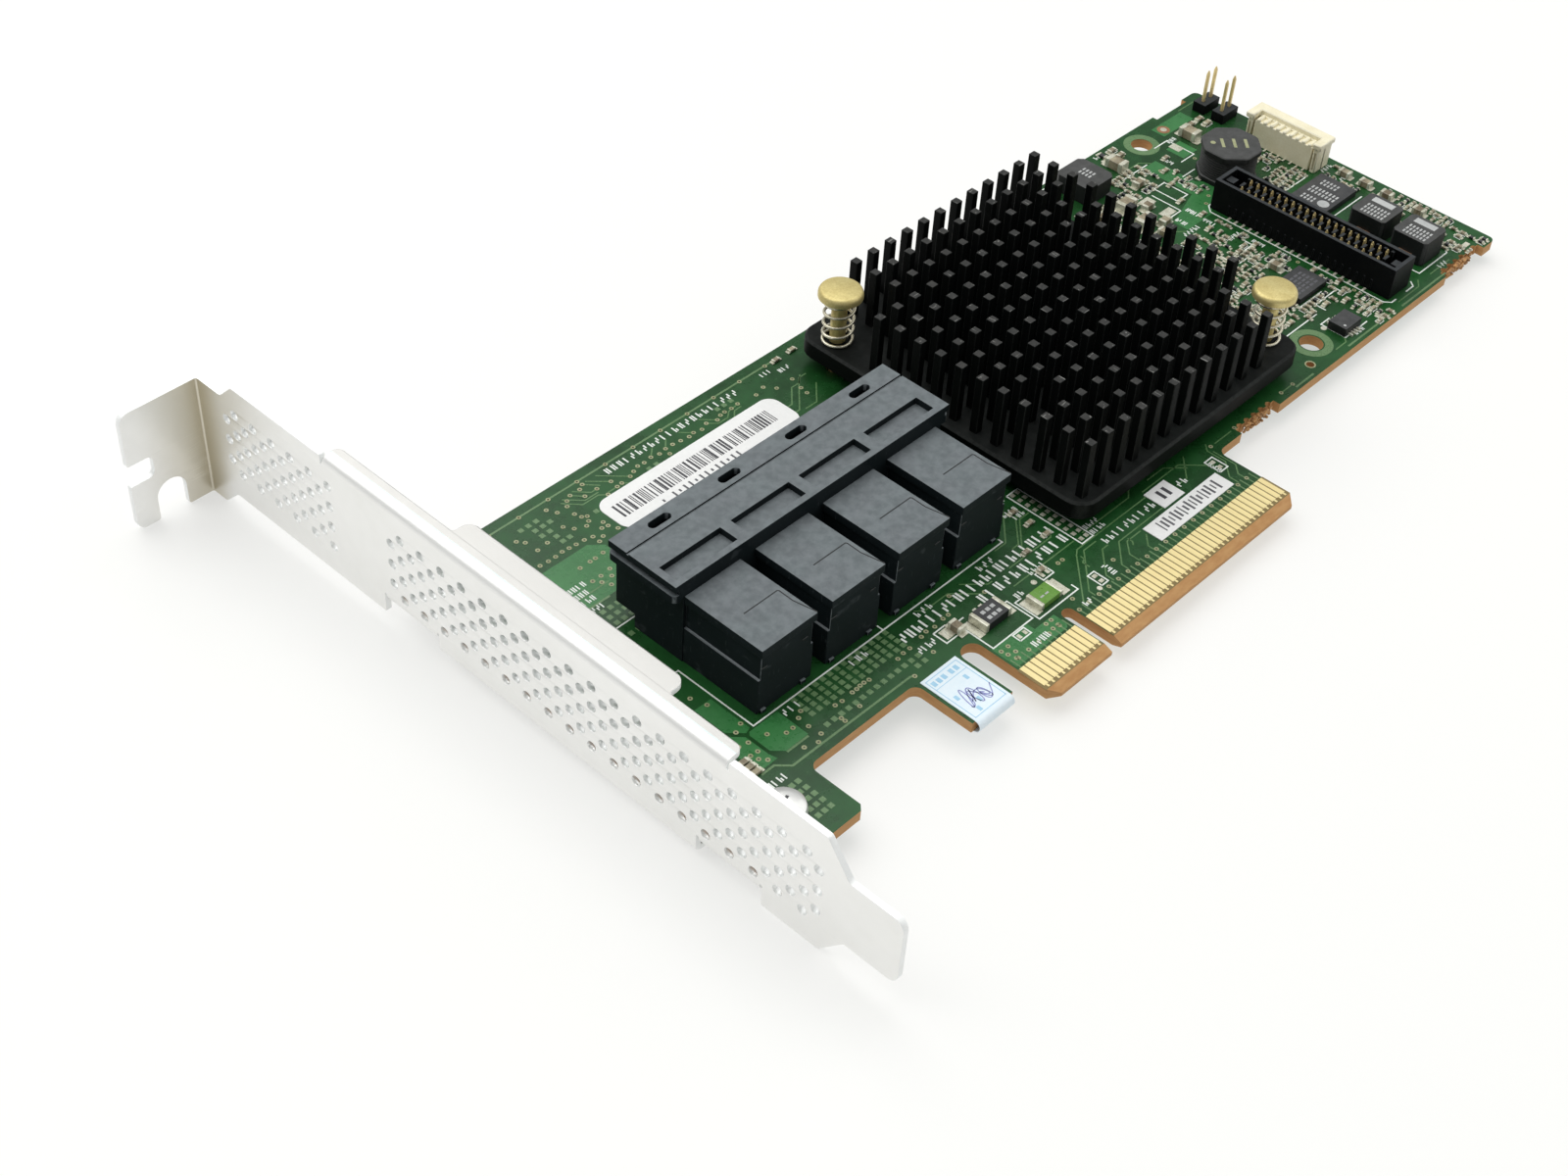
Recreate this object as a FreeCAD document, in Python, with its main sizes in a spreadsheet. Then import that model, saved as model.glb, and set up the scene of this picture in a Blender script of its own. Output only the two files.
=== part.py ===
import FreeCAD, Part
import math
import os
import Sketcher

# Storage controller card for a server slot, in millimetres.
# X runs from the bracket to the far end of the board, with zero at the key notch.
# Y runs from the edge fingers to the opposite long edge, with zero at the fingers' tips.
# Z runs out of the component side, with zero at the board's component face.

SIZES = {
    # Printed circuit board
    "board_thickness": 1.57,
    "board_bracket_end": 56.4,
    "board_far_end": 111.3,
    "board_top_edge": 68.85,
    "board_lower_edge": 12.9,
    "recess_start": 99.8,
    "recess_width": 7.8,
    "recess_depth": 0.85,
    "finger_left": 12.15,
    "finger_right": 39.15,
    "key_width": 1.9,
    "key_height": 8.5,
    "relief_width": 3.25,
    "relief_height": 13.0,
    "tab_width": 7.45,
    "tab_bottom": 4.0,
    "foot_width": 14.9,
    "foot_bottom": 4.2,
    "far_corner_radius": 1.0,
    "inner_corner_radius": 1.3,
    "finger_corner_chamfer": 1.3,
    "foot_corner_chamfer": 0.7,
    "finger_bevel_depth": 0.5,
    "finger_bevel_length": 1.3,
    "break_one_start": 44.7,
    "break_one_width": 9.1,
    "break_two_start": 97.3,
    "break_two_width": 10.7,
    "break_depth": 1.1,
    "bite_diameter": 1.1,
    "bite_pitch": 1.7,
    "daughter_hole_diameter": 3.5,
    "daughter_hole_one_x": 91.94,
    "daughter_hole_one_y": 65.2,
    "daughter_hole_two_x": 68.68,
    "daughter_hole_two_y": 17.7,
    "small_hole_diameter": 1.2,
    "small_hole_x": 64.38,
    "small_hole_y": 14.99,
    # Edge fingers
    "pad_pitch": 1.0,
    "pad_width": 0.7,
    "pad_bottom": 1.98,
    "pad_top": 5.8,
    "pad_thickness": 0.04,
    "pad_first_x": 1.5,
    # Slot bracket
    "sheet": 0.86,
    "bracket_gap": 0.05,
    "flange_face_y": 104.75,
    "flange_reach": 11.69,
    "flange_low_z": -7.2,
    "flange_high_z": 11.7,
    "flange_corner_radius": 1.5,
    "screw_notch_x": 63.35,
    "screw_notch_width": 4.42,
    "screw_notch_depth": 5.6,
    "side_notch_depth": 3.7,
    "side_notch_low_z": 0.2,
    "side_notch_high_z": 3.5,
    "bracket_high_z": 14.4,
    "bracket_low_z": -4.32,
    "shoulder_high_y": 99.9,
    "shoulder_low_y": 101.9,
    "foot_shoulder_y": -3.4,
    "foot_knee_run": 0.68,
    "foot_knee_drop": 0.57,
    "tongue_low_z": -0.3,
    "tongue_width": 10.19,
    "tongue_shoulder_y": -6.8,
    "tongue_end_y": -14.4,
    "tongue_corner_radius": 1.5,
    "bend_radius": 0.7,
    "leaf_corner_radius": 1.0,
    "tab_corner_radius": 1.5,
    "top_flange_start_y": 11.3,
    "top_flange_length": 68.1,
    "top_flange_reach": 2.7,
    "wide_flange_start_y": 22.6,
    "wide_flange_length": 35.9,
    "wide_flange_reach": 5.4,
    "low_flange_start_y": 15.3,
    "low_flange_length": 43.8,
    "low_flange_reach": 2.8,
    "board_tab_low_y": 5.5,
    "board_tab_high_y": 59.4,
    "board_tab_width": 9.4,
    "board_tab_reach": 12.2,
    "tab_screw_x": 48.6,
    "tab_screw_low_y": 10.2,
    "tab_screw_high_y": 64.05,
    "screw_diameter": 2.9,
    "screw_hole_clearance": 0.15,
    "screw_head_diameter": 5.6,
    "screw_head_height": 1.8,
    "screw_overhang": 0.4,
    # Vent holes in the bracket
    "vent_diameter": 1.35,
    "vent_level_pitch": 1.65,
    "vent_low_z": 0.1,
    "vent_high_group_y": 99.05,
    "vent_high_group_step": 1.838,
    "vent_low_group_y": 67.1,
    "vent_low_group_step": 1.834,
    # Heatsink over the controller
    "sink_centre_x": 36.9,
    "sink_centre_y": 40.3,
    "sink_side": 50.0,
    "sink_corner_radius": 3.0,
    "sink_base_z": 1.7,
    "sink_base_thickness": 3.0,
    "sink_pin_pitch": 3.52,
    "sink_pin_side": 1.25,
    "sink_pin_height": 8.8,
    # Controller package
    "package_side": 33.0,
    "package_thickness": 1.0,
    "lid_side": 27.0,
    "lid_thickness": 0.45,
    # Spring-loaded push pins
    "push_pin_x_offset": 21.9,
    "push_pin_y_offset": 20.15,
    "push_pin_head_diameter": 6.25,
    "push_pin_head_z": 12.0,
    "push_pin_rim": 0.6,
    "push_pin_dome": 0.9,
    "push_pin_stem_diameter": 2.2,
    "push_pin_crown_diameter": 4.0,
    "push_pin_tip_diameter": 1.3,
    "push_pin_barb_diameter": 3.2,
    "push_pin_barb_length": 2.3,
    "push_pin_hole_clearance": 0.2,
    "spring_diameter": 4.15,
    "spring_wire": 0.45,
    "spring_turns": 5.5,
    "seat_clearance": 0.05,
    # Four-port cable connector
    "port_pitch": 11.85,
    "port_first_x": 35.43,
    "shroud_left": 41.5,
    "shroud_length": 48.7,
    "shroud_back_y": 34.8,
    "shroud_depth": 11.3,
    "shroud_top_z": 13.0,
    "shroud_cap": 1.0,
    "shroud_groove": 0.6,
    "shroud_groove_inset": 0.6,
    "shroud_flange": 1.1,
    "shroud_flange_proud": 0.2,
    "shroud_flange_corner": 0.77,
    "shroud_body_inset": 1.3,
    "shroud_lip_depth": 3.2,
    "shroud_lip_z": 2.2,
    "seam_y": 42.7,
    "seam_width": 0.35,
    "seam_depth": 0.25,
    "port_width": 8.9,
    "port_floor_z": 3.0,
    "port_roof_z": 10.3,
    "port_depth": 9.6,
    "latch_window_length": 3.7,
    "latch_window_width": 1.4,
    "latch_window_y": 44.4,
    "latch_window_offset": 0.7,
    "top_recess_length": 10.1,
    "top_recess_width": 2.9,
    "top_recess_y": 35.7,
    "top_recess_depth": 1.0,
    "cover_width": 9.35,
    "cover_back_y": 22.2,
    "cover_height": 10.75,
    "cover_cap": 1.3,
    "cover_ledge_z": 5.6,
    "cover_ledge_depth": 0.35,
    "insert_width": 7.4,
    "insert_height": 6.0,
    "insert_length": 4.2,
    "insert_slot_height": 1.3,
    "insert_slot_width": 6.6,
    "insert_slot_spacing": 2.8,
    "insert_slot_floor": 1.0,
    # Daughter-card connector
    "mezzanine_left": 85.7,
    "mezzanine_width": 5.4,
    "mezzanine_low_y": 15.7,
    "mezzanine_length": 31.9,
    "mezzanine_height": 5.14,
    "mezzanine_wall": 0.65,
    "mezzanine_floor": 1.2,
    "mezzanine_key_length": 1.4,
    "mezzanine_key_width": 1.5,
    "mezzanine_pin_pitch": 1.27,
    "mezzanine_row_spacing": 2.54,
    "mezzanine_pin_side": 0.42,
    "mezzanine_pin_top": 4.9,
    # Two-pin headers
    "header_pitch": 2.0,
    "header_one_x": 108.45,
    "header_one_y": 64.8,
    "header_two_x": 108.35,
    "header_two_y": 61.1,
    "header_base_height": 1.7,
    "header_base_length": 4.1,
    "header_base_width": 2.3,
    "header_pin_side": 0.5,
    "header_pin_top": 7.2,
    # Side-entry wire connector
    "wire_left": 105.6,
    "wire_depth": 3.7,
    "wire_low_y": 42.0,
    "wire_length": 13.0,
    "wire_height": 5.2,
    "wire_wall": 0.6,
    "wire_rim": 0.5,
    "wire_rim_height": 0.9,
    "wire_pin_pitch": 1.25,
    "wire_pin_side": 0.35,
    "wire_pin_height": 3.4,
    # Power parts
    "coil_x": 95.25,
    "coil_y": 51.45,
    "coil_diameter": 9.3,
    "coil_height": 5.5,
    "coil_flange": 1.0,
    "coil_waist": 8.7,
    "choke_x": 75.0,
    "choke_y": 63.8,
    "choke_length": 6.4,
    "choke_width": 6.8,
    "choke_height": 3.0,
    "choke_corner": 0.8,
    "inductor_x": 99.3,
    "inductor_one_y": 27.2,
    "inductor_two_y": 19.8,
    "inductor_side": 6.0,
    "inductor_height": 4.0,
    "inductor_corner": 0.5,
    "terminal_width": 2.2,
    "terminal_height": 1.5,
    "terminal_sheet": 0.25,
    # Integrated circuits
    "regulator_x": 100.85,
    "regulator_y": 37.25,
    "regulator_length": 8.9,
    "regulator_width": 6.5,
    "regulator_height": 1.0,
    "converter_x": 78.5,
    "converter_y": 26.5,
    "converter_length": 7.0,
    "converter_width": 5.0,
    "converter_height": 1.0,
    "driver_x": 75.35,
    "driver_y": 16.65,
    "driver_length": 4.1,
    "driver_width": 3.0,
    "driver_height": 1.4,
    "driver_lead_pitch": 0.65,
    "driver_lead_width": 0.3,
    "driver_lead_reach": 0.7,
    "memory_first_x": 20.0,
    "memory_pitch": 12.0,
    "memory_y": 47.0,
    "memory_length": 9.0,
    "memory_width": 13.0,
    "memory_height": 1.1,
    # Parts near the edge fingers
    "fuse_x": -0.05,
    "fuse_y": 11.5,
    "fuse_length": 4.3,
    "fuse_width": 2.6,
    "fuse_height": 0.9,
    "shunt_x": -7.75,
    "shunt_y": 13.9,
    "shunt_length": 4.9,
    "shunt_width": 2.9,
    "shunt_height": 1.3,
    "end_cap_length": 0.6,
    # Chip capacitors and resistors
    "large_capacitor_length": 3.2,
    "large_capacitor_width": 1.9,
    "large_capacitor_height": 1.6,
    "medium_capacitor_length": 2.0,
    "medium_capacitor_width": 1.25,
    "medium_capacitor_height": 1.1,
    "small_chip_length": 1.2,
    "small_chip_width": 0.7,
    "small_chip_height": 0.45,
    # Paper on the board
    "paper": 0.1,
    "barcode_left": -28.8,
    "barcode_low_y": 55.6,
    "barcode_length": 32.6,
    "barcode_width": 6.7,
    "barcode_corner": 1.9,
    "part_label_left": 19.2,
    "part_label_low_y": 7.5,
    "part_label_length": 16.0,
    "part_label_width": 3.1,
    "small_label_left": 24.6,
    "small_label_low_y": 11.0,
    "small_label_length": 4.4,
    "small_label_width": 3.5,
    "sticker_top_y": 12.6,
    "sticker_margin": 0.5,
    "sticker_under_length": 4.0,
    # How far a cutter runs past the face that it cuts
    "cutter_margin": 1.0,
    # Whole numbers
    "fingers_before_key": 11,
    "fingers_after_key": 38,
    "sink_pins_per_side": 14,
    "port_count": 4,
    "mezzanine_pins_per_row": 20,
    "wire_pin_count": 8,
    "driver_leads_per_side": 4,
    "memory_count": 4,
    "vent_columns_high": 6,
    "vent_columns_low": 20,
    "vent_levels_short": 3,
    "vent_levels_tall": 4,
}

LARGE_CAPACITORS = ((99.4, 61.4, True), (83.7, 64.0, True), (75.8, 56.2, False), (74.4, 51.5, False))
MEDIUM_CAPACITORS = (
    (74.5, 47.9, True), (78.2, 53.9, False), (77.0, 49.7, False), (-12.3, 15.4, True),
    (82.2, 58.6, False), (70.6, 56.6, True), (68.2, 45.3, False), (79.9, 31.6, True),
    (94.3, 43.6, True), (103.4, 57.7, False), (108.6, 38.2, True), (108.6, 34.4, True),
    (108.4, 30.4, True), (108.3, 24.6, True), (93.9, 31.6, True), (66.4, 50.6, True),
)
SMALL_CHIPS = (
    (64.6, 62.9), (66.9, 62.9), (64.6, 60.9), (66.9, 60.9), (64.9, 57.6), (69.2, 59.9),
    (64.7, 41.6), (67.2, 41.6), (70.3, 42.4), (72.8, 42.4), (64.9, 36.9), (67.4, 36.9),
    (70.1, 36.2), (72.9, 36.2), (76.4, 37.7), (79.3, 37.7), (82.6, 37.0), (64.9, 32.8),
    (67.6, 32.8), (70.3, 31.3), (73.1, 32.3), (66.1, 28.2), (69.0, 26.6), (71.9, 28.7),
    (71.9, 26.1), (66.9, 23.3), (70.2, 22.4), (84.1, 23.2), (83.6, 27.3), (74.6, 21.6),
    (77.9, 21.4), (80.9, 19.9), (105.7, 29.4), (105.7, 26.2), (105.7, 22.1), (105.8, 18.9),
    (94.4, 38.9), (94.4, 36.2), (91.5, 60.3), (88.6, 58.2), (86.1, 55.3), (83.6, 51.6),
    (83.3, 47.2), (80.9, 44.3), (-53.2, 55.2), (-53.2, 51.9), (-53.2, 48.6), (9.3, 24.2),
    (9.3, 21.4), (9.3, 18.6), (4.7, 18.2), (13.2, 67.0), (9.9, 66.9), (3.6, 14.9),
)
SOLDER_SIDE_CHIPS = (
    (22.0, 30.0), (28.0, 30.0), (34.0, 30.0), (40.0, 30.0), (46.0, 30.0), (52.0, 30.0),
    (25.0, 26.0), (37.0, 26.0), (49.0, 26.0), (70.0, 42.0), (74.0, 42.0), (78.0, 42.0),
)


class Size:
    """A length that knows its own value and the sheet expression it comes from."""

    def __init__(self, text, value):
        self.text = text
        self.value = value

    def joined(self, other, sign, value):
        return Size(f"({self.text} {sign} {as_size(other).text})", value)

    def __add__(self, other):
        return self.joined(other, "+", self.value + as_size(other).value)

    def __sub__(self, other):
        return self.joined(other, "-", self.value - as_size(other).value)

    def __mul__(self, other):
        return self.joined(other, "*", self.value * as_size(other).value)

    def __truediv__(self, other):
        return self.joined(other, "/", self.value / as_size(other).value)

    def __radd__(self, other):
        return as_size(other) + self

    def __rsub__(self, other):
        return as_size(other) - self

    def __rmul__(self, other):
        return as_size(other) * self

    def __neg__(self):
        return Size(f"(0 - {self.text})", -self.value)


def as_size(value):
    """Give a plain number the same form as a size from the sheet."""
    if isinstance(value, Size):
        return value
    return Size(repr(float(value)), float(value))


class Sizes:
    """The driving sizes by name, each held in one cell of the sheet."""

    def __init__(self, sheet, values):
        for row, (alias, value) in enumerate(values.items(), start=1):
            sheet.set(f"A{row}", alias)
            sheet.set(f"B{row}", str(value))
            sheet.setAlias(f"B{row}", alias)
            setattr(self, alias, Size(f"{sheet.Name}.{alias}", value))


DOCUMENT = FreeCAD.newDocument("controller_card")
SHEET = DOCUMENT.addObject("Spreadsheet::Sheet", "Sizes")
S = Sizes(SHEET, SIZES)
DOCUMENT.recompute()
NODES = []
SPRING_STEPS_PER_TURN = 9
SPRING_WIRE_SIDES = 4
VENT_SIDES = 6
BITE_SIDES = 6
COIL_SIDES = 24

# Places that several pieces share
BOARD_LEFT = -S.board_bracket_end
BOARD_BACK = -S.board_thickness
PLATE_INNER_X = BOARD_LEFT - S.bracket_gap
PLATE_OUTER_X = PLATE_INNER_X - S.sheet
SINK_TOP = S.sink_base_z + S.sink_base_thickness
SHROUD_FRONT_Y = S.shroud_back_y + S.shroud_depth
FLANGE_TIP_X = PLATE_OUTER_X - S.flange_reach
PUSH_PINS = (
    (S.sink_centre_x - S.push_pin_x_offset, S.sink_centre_y + S.push_pin_y_offset),
    (S.sink_centre_x + S.push_pin_x_offset, S.sink_centre_y - S.push_pin_y_offset),
)
TAB_SCREWS = ((-S.tab_screw_x, S.tab_screw_low_y), (-S.tab_screw_x, S.tab_screw_high_y))
TAB_HOLE_DIAMETER = S.screw_diameter + 2 * S.screw_hole_clearance
PIN_HOLE_DIAMETER = S.push_pin_stem_diameter + 2 * S.push_pin_hole_clearance


def bind(item, path, size):
    """Tie one property of an object to the sheet."""
    item.setExpression(path, as_size(size).text)


def place(item, corner):
    """Put an object at a point given by three sizes."""
    for axis, size in zip("xyz", corner):
        bind(item, f"Placement.Base.{axis}", size)


def node(item, label):
    """Name an object as one finished piece of the card."""
    item.Label = label
    NODES.append(item)
    return item


def box(name, corner, dims):
    """A block from its lowest corner and its three dimensions."""
    item = DOCUMENT.addObject("Part::Box", name)
    for path, size in zip(("Length", "Width", "Height"), dims):
        bind(item, path, size)
    place(item, corner)
    return item


def block(name, centre, dims, low_z=0.0):
    """A block standing on low_z and centred on a point of the board."""
    corner = (centre[0] - dims[0] / 2, centre[1] - dims[1] / 2, low_z)
    return box(name, corner, dims)


def group(name, items):
    """Several separate solids in one object."""
    item = DOCUMENT.addObject("Part::Compound", name)
    item.Links = items
    return item


def cut(name, base, tool):
    """One solid with another taken away."""
    item = DOCUMENT.addObject("Part::Cut", name)
    item.Base = base
    item.Tool = tool
    return item


def new_body(label):
    """An empty body whose features may leave separate solids."""
    body = DOCUMENT.addObject("PartDesign::Body", label)
    body.AllowCompound = True
    return node(body, label)


def new_sketch(body, role, offset=0.0):
    """A sketch on one of the body's own origin planes, moved along its normal."""
    sketch = body.newObject("Sketcher::SketchObject", "Sketch")
    plane = next(item for item in body.Origin.OriginFeatures if item.Role == role)
    sketch.AttachmentSupport = (plane, [""])
    sketch.MapMode = "FlatFace"
    bind(sketch, "AttachmentOffset.Base.z", offset)
    return sketch


def hold_point(sketch, number, corner):
    """Fix the start of one line at two sizes measured from the origin."""
    for kind, size in zip(("DistanceX", "DistanceY"), corner):
        size = as_size(size)
        index = sketch.addConstraint(Sketcher.Constraint(kind, -1, 1, number, 1, size.value))
        sketch.setExpression(f"Constraints[{index}]", size.text)


def loop(sketch, corners):
    """A closed outline of straight lines through the given corners."""
    first = sketch.GeometryCount
    points = [FreeCAD.Vector(as_size(x).value, as_size(y).value, 0) for x, y in corners]
    for start, end in zip(points, points[1:] + points[:1]):
        sketch.addGeometry(Part.LineSegment(start, end), False)
    for number, corner in enumerate(corners):
        before = first + (number - 1) % len(corners)
        sketch.addConstraint(Sketcher.Constraint("Coincident", before, 2, first + number, 1))
        hold_point(sketch, first + number, corner)


def rectangle(sketch, corner, width, height):
    """A closed outline with square corners."""
    x, y = corner
    loop(sketch, [(x, y), (x + width, y), (x + width, y + height), (x, y + height)])


def ring(sketch, centre, diameter):
    """A circle held by its centre and its diameter."""
    x, y = (as_size(size) for size in centre)
    middle = FreeCAD.Vector(x.value, y.value, 0)
    circle = Part.Circle(middle, FreeCAD.Vector(0, 0, 1), diameter.value / 2)
    number = sketch.addGeometry(circle, False)
    index = sketch.addConstraint(Sketcher.Constraint("Diameter", number, diameter.value))
    sketch.setExpression(f"Constraints[{index}]", diameter.text)
    for kind, size in (("DistanceX", x), ("DistanceY", y)):
        index = sketch.addConstraint(Sketcher.Constraint(kind, -1, 1, number, 3, size.value))
        sketch.setExpression(f"Constraints[{index}]", size.text)


def polygon(sketch, centre, diameter, sides):
    """A round hole drawn with a few straight sides."""
    turn = 2 * math.pi / sides
    corners = []
    for number in range(sides):
        angle = turn * (number + 0.5)
        x = centre[0] + diameter / 2 * math.cos(angle)
        y = centre[1] + diameter / 2 * math.sin(angle)
        corners.append((x, y))
    loop(sketch, corners)


def pad(body, sketch, length, backwards=False):
    """Raise a sketch into material, along its normal or against it."""
    feature = body.newObject("PartDesign::Pad", "Pad")
    feature.Profile = sketch
    feature.Refine = False
    feature.Reversed = backwards
    bind(feature, "Length", length)
    return feature


def pocket(body, sketch, depth, backwards=False):
    """Sink a sketch into the body, against its normal or along it."""
    feature = body.newObject("PartDesign::Pocket", "Pocket")
    feature.Profile = sketch
    feature.Refine = False
    feature.Reversed = backwards
    bind(feature, "Length", depth)
    return feature


def pocket_through(body, sketch):
    """Cut a sketch right through the body, both ways."""
    feature = body.newObject("PartDesign::Pocket", "Pocket")
    feature.Profile = sketch
    feature.Refine = False
    feature.Type = 1
    feature.Midplane = True
    return feature


def row(body, feature, sketch, count, step, axis="H_Axis", second=None):
    """Repeat a feature in one row, or in a grid when second gives another count and step."""
    pattern = body.newObject("PartDesign::LinearPattern", "Row")
    pattern.Originals = [feature]
    pattern.Refine = False
    pattern.Direction = (sketch, [axis])
    pattern.Reversed = as_size(step).value < 0
    bind(pattern, "Occurrences", count)
    bind(pattern, "Length", distance(step) * (as_size(count) - 1))
    if second is not None:
        other_count, other_step, other_axis = second
        pattern.Direction2 = (sketch, [other_axis])
        bind(pattern, "Occurrences2", other_count)
        bind(pattern, "Length2", other_step * (as_size(other_count) - 1))
    body.Tip = pattern
    return pattern


def distance(step):
    """The size of a step, whichever way it points."""
    step = as_size(step)
    return -step if step.value < 0 else step


def straight_edges(shape, direction, points):
    """Names of the straight edges along a direction that pass through given points."""
    names = []
    for number, edge in enumerate(shape.Edges, start=1):
        if len(edge.Vertexes) != 2:
            continue
        run = edge.Vertexes[1].Point - edge.Vertexes[0].Point
        if run.Length < 1e-6 or run.cross(direction).Length > 1e-6 * run.Length:
            continue
        for point in points:
            offset = edge.Vertexes[0].Point - point
            if offset.cross(direction).Length < 1e-4:
                names.append(f"Edge{number}")
                break
    return names


def soften(body, kind, base, direction, points, size):
    """Round or chamfer the straight edges that pass through the given points."""
    DOCUMENT.recompute()
    feature = body.newObject(kind, "Edges")
    feature.Base = (base, straight_edges(base.Shape, direction, points))
    bind(feature, "Radius" if kind.endswith("Fillet") else "Size", size)
    return feature


def upright(x, y):
    """A point on an edge that runs along Z."""
    return FreeCAD.Vector(as_size(x).value, as_size(y).value, 0)


def along_x(y, z):
    """A point on an edge that runs along X."""
    return FreeCAD.Vector(0, as_size(y).value, as_size(z).value)


def along_y(x, z):
    """A point on an edge that runs along Y."""
    return FreeCAD.Vector(as_size(x).value, 0, as_size(z).value)


def turned(name, centre, profile):
    """A piece turned about an upright axis, from its half outline of radius and height pairs."""
    body = DOCUMENT.addObject("PartDesign::Body", name)
    sketch = new_sketch(body, "XZ_Plane")
    loop(sketch, profile)
    revolution = body.newObject("PartDesign::Revolution", "Turned")
    revolution.Profile = sketch
    revolution.ReferenceAxis = (sketch, ["V_Axis"])
    revolution.Angle = 360
    place(body, (*centre, 0.0))
    return body


UP = FreeCAD.Vector(0, 0, 1)
ACROSS = FreeCAD.Vector(1, 0, 0)
LENGTHWISE = FreeCAD.Vector(0, 1, 0)
FILLET = "PartDesign::Fillet"
CHAMFER = "PartDesign::Chamfer"


# Printed circuit board

def board_outline():
    """Corners of the board, from the bracket end's top corner and round by the fingers."""
    foot_edge = BOARD_LEFT + S.foot_width
    relief_right = -S.finger_left
    relief_left = relief_right - S.relief_width
    tab_edge = relief_left - S.tab_width
    recess_end = S.recess_start + S.recess_width
    recess_y = S.board_top_edge - S.recess_depth
    return [
        (BOARD_LEFT, S.board_top_edge),
        (BOARD_LEFT, S.foot_bottom),
        (foot_edge, S.foot_bottom),
        (foot_edge, S.board_lower_edge),
        (tab_edge, S.board_lower_edge),
        (tab_edge, S.tab_bottom),
        (relief_left, S.tab_bottom),
        (relief_left, S.relief_height),
        (relief_right, S.relief_height),
        (relief_right, 0.0),
        (-S.key_width / 2, 0.0),
        (-S.key_width / 2, S.key_height),
        (S.key_width / 2, S.key_height),
        (S.key_width / 2, 0.0),
        (S.finger_right, 0.0),
        (S.finger_right, S.board_lower_edge),
        (S.board_far_end, S.board_lower_edge),
        (S.board_far_end, S.board_top_edge),
        (recess_end, S.board_top_edge),
        (recess_end, recess_y),
        (S.recess_start, recess_y),
        (S.recess_start, S.board_top_edge),
    ]


def round_board_corners(body, base, corners):
    """Round and chamfer the board's corners where the cutter and the mould leave them so."""
    groups = (
        (FILLET, (7, 8), S.relief_width / 2 - 0.02),
        (FILLET, (11, 12), S.key_width / 2 - 0.02),
        (FILLET, (3, 4, 15), S.inner_corner_radius),
        (FILLET, (16, 17), S.far_corner_radius),
        (CHAMFER, (9, 14), S.finger_corner_chamfer),
        (CHAMFER, (2,), S.foot_corner_chamfer),
    )
    for kind, numbers, size in groups:
        points = [upright(*corners[number]) for number in numbers]
        base = soften(body, kind, base, UP, points, size)
    return base


def break_off_edge(body, start, width):
    """A shallow recess where the board was snapped from its panel, with its row of bites."""
    sketch = new_sketch(body, "XY_Plane")
    low = S.board_lower_edge - S.cutter_margin
    rectangle(sketch, (start, low), width, S.break_depth + S.cutter_margin)
    pocket_through(body, sketch)
    bites = new_sketch(body, "XY_Plane")
    edge_y = S.board_lower_edge + S.break_depth
    count = Size(f"floor({width.text} / {S.bite_pitch.text})", width.value // S.bite_pitch.value)
    inset = (width - S.bite_pitch * (count - 1)) / 2
    polygon(bites, (start + inset, edge_y), S.bite_diameter, BITE_SIDES)
    row(body, pocket_through(body, bites), bites, count, S.bite_pitch)


def make_board():
    """The board with its edge fingers, notches, feet, recesses and holes."""
    body = new_body("pcb")
    corners = board_outline()
    sketch = new_sketch(body, "XY_Plane")
    loop(sketch, corners)
    slab = pad(body, sketch, S.board_thickness, backwards=True)
    round_board_corners(body, slab, corners)
    bevel = new_sketch(body, "YZ_Plane")
    outside_y = -S.cutter_margin
    for face, inward in ((as_size(0.0), -S.finger_bevel_depth), (BOARD_BACK, S.finger_bevel_depth)):
        loop(bevel, [
            (outside_y, face - inward),
            (S.finger_bevel_length, face),
            (0.0, face + inward),
            (outside_y, face + inward),
        ])
    pocket_through(body, bevel)
    break_off_edge(body, S.break_one_start, S.break_one_width)
    break_off_edge(body, S.break_two_start, S.break_two_width)
    holes = new_sketch(body, "XY_Plane")
    ring(holes, (S.daughter_hole_one_x, S.daughter_hole_one_y), S.daughter_hole_diameter)
    ring(holes, (S.daughter_hole_two_x, S.daughter_hole_two_y), S.daughter_hole_diameter)
    ring(holes, (S.small_hole_x, S.small_hole_y), S.small_hole_diameter)
    for centre in TAB_SCREWS:
        ring(holes, centre, TAB_HOLE_DIAMETER)
    for centre in PUSH_PINS:
        ring(holes, centre, PIN_HOLE_DIAMETER)
    pocket_through(body, holes)


def make_fingers():
    """The gold edge contacts, on both faces and on both sides of the key notch."""
    body = new_body("gold_edge_contacts")
    for height, backwards in ((0.0, False), (BOARD_BACK, True)):
        for side, count in ((-1, S.fingers_before_key), (1, S.fingers_after_key)):
            sketch = new_sketch(body, "XY_Plane", height)
            corner = (side * S.pad_first_x - S.pad_width / 2, S.pad_bottom)
            rectangle(sketch, corner, S.pad_width, S.pad_top - S.pad_bottom)
            first = pad(body, sketch, S.pad_thickness, backwards)
            row(body, first, sketch, count, side * S.pad_pitch)


# Slot bracket

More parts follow.
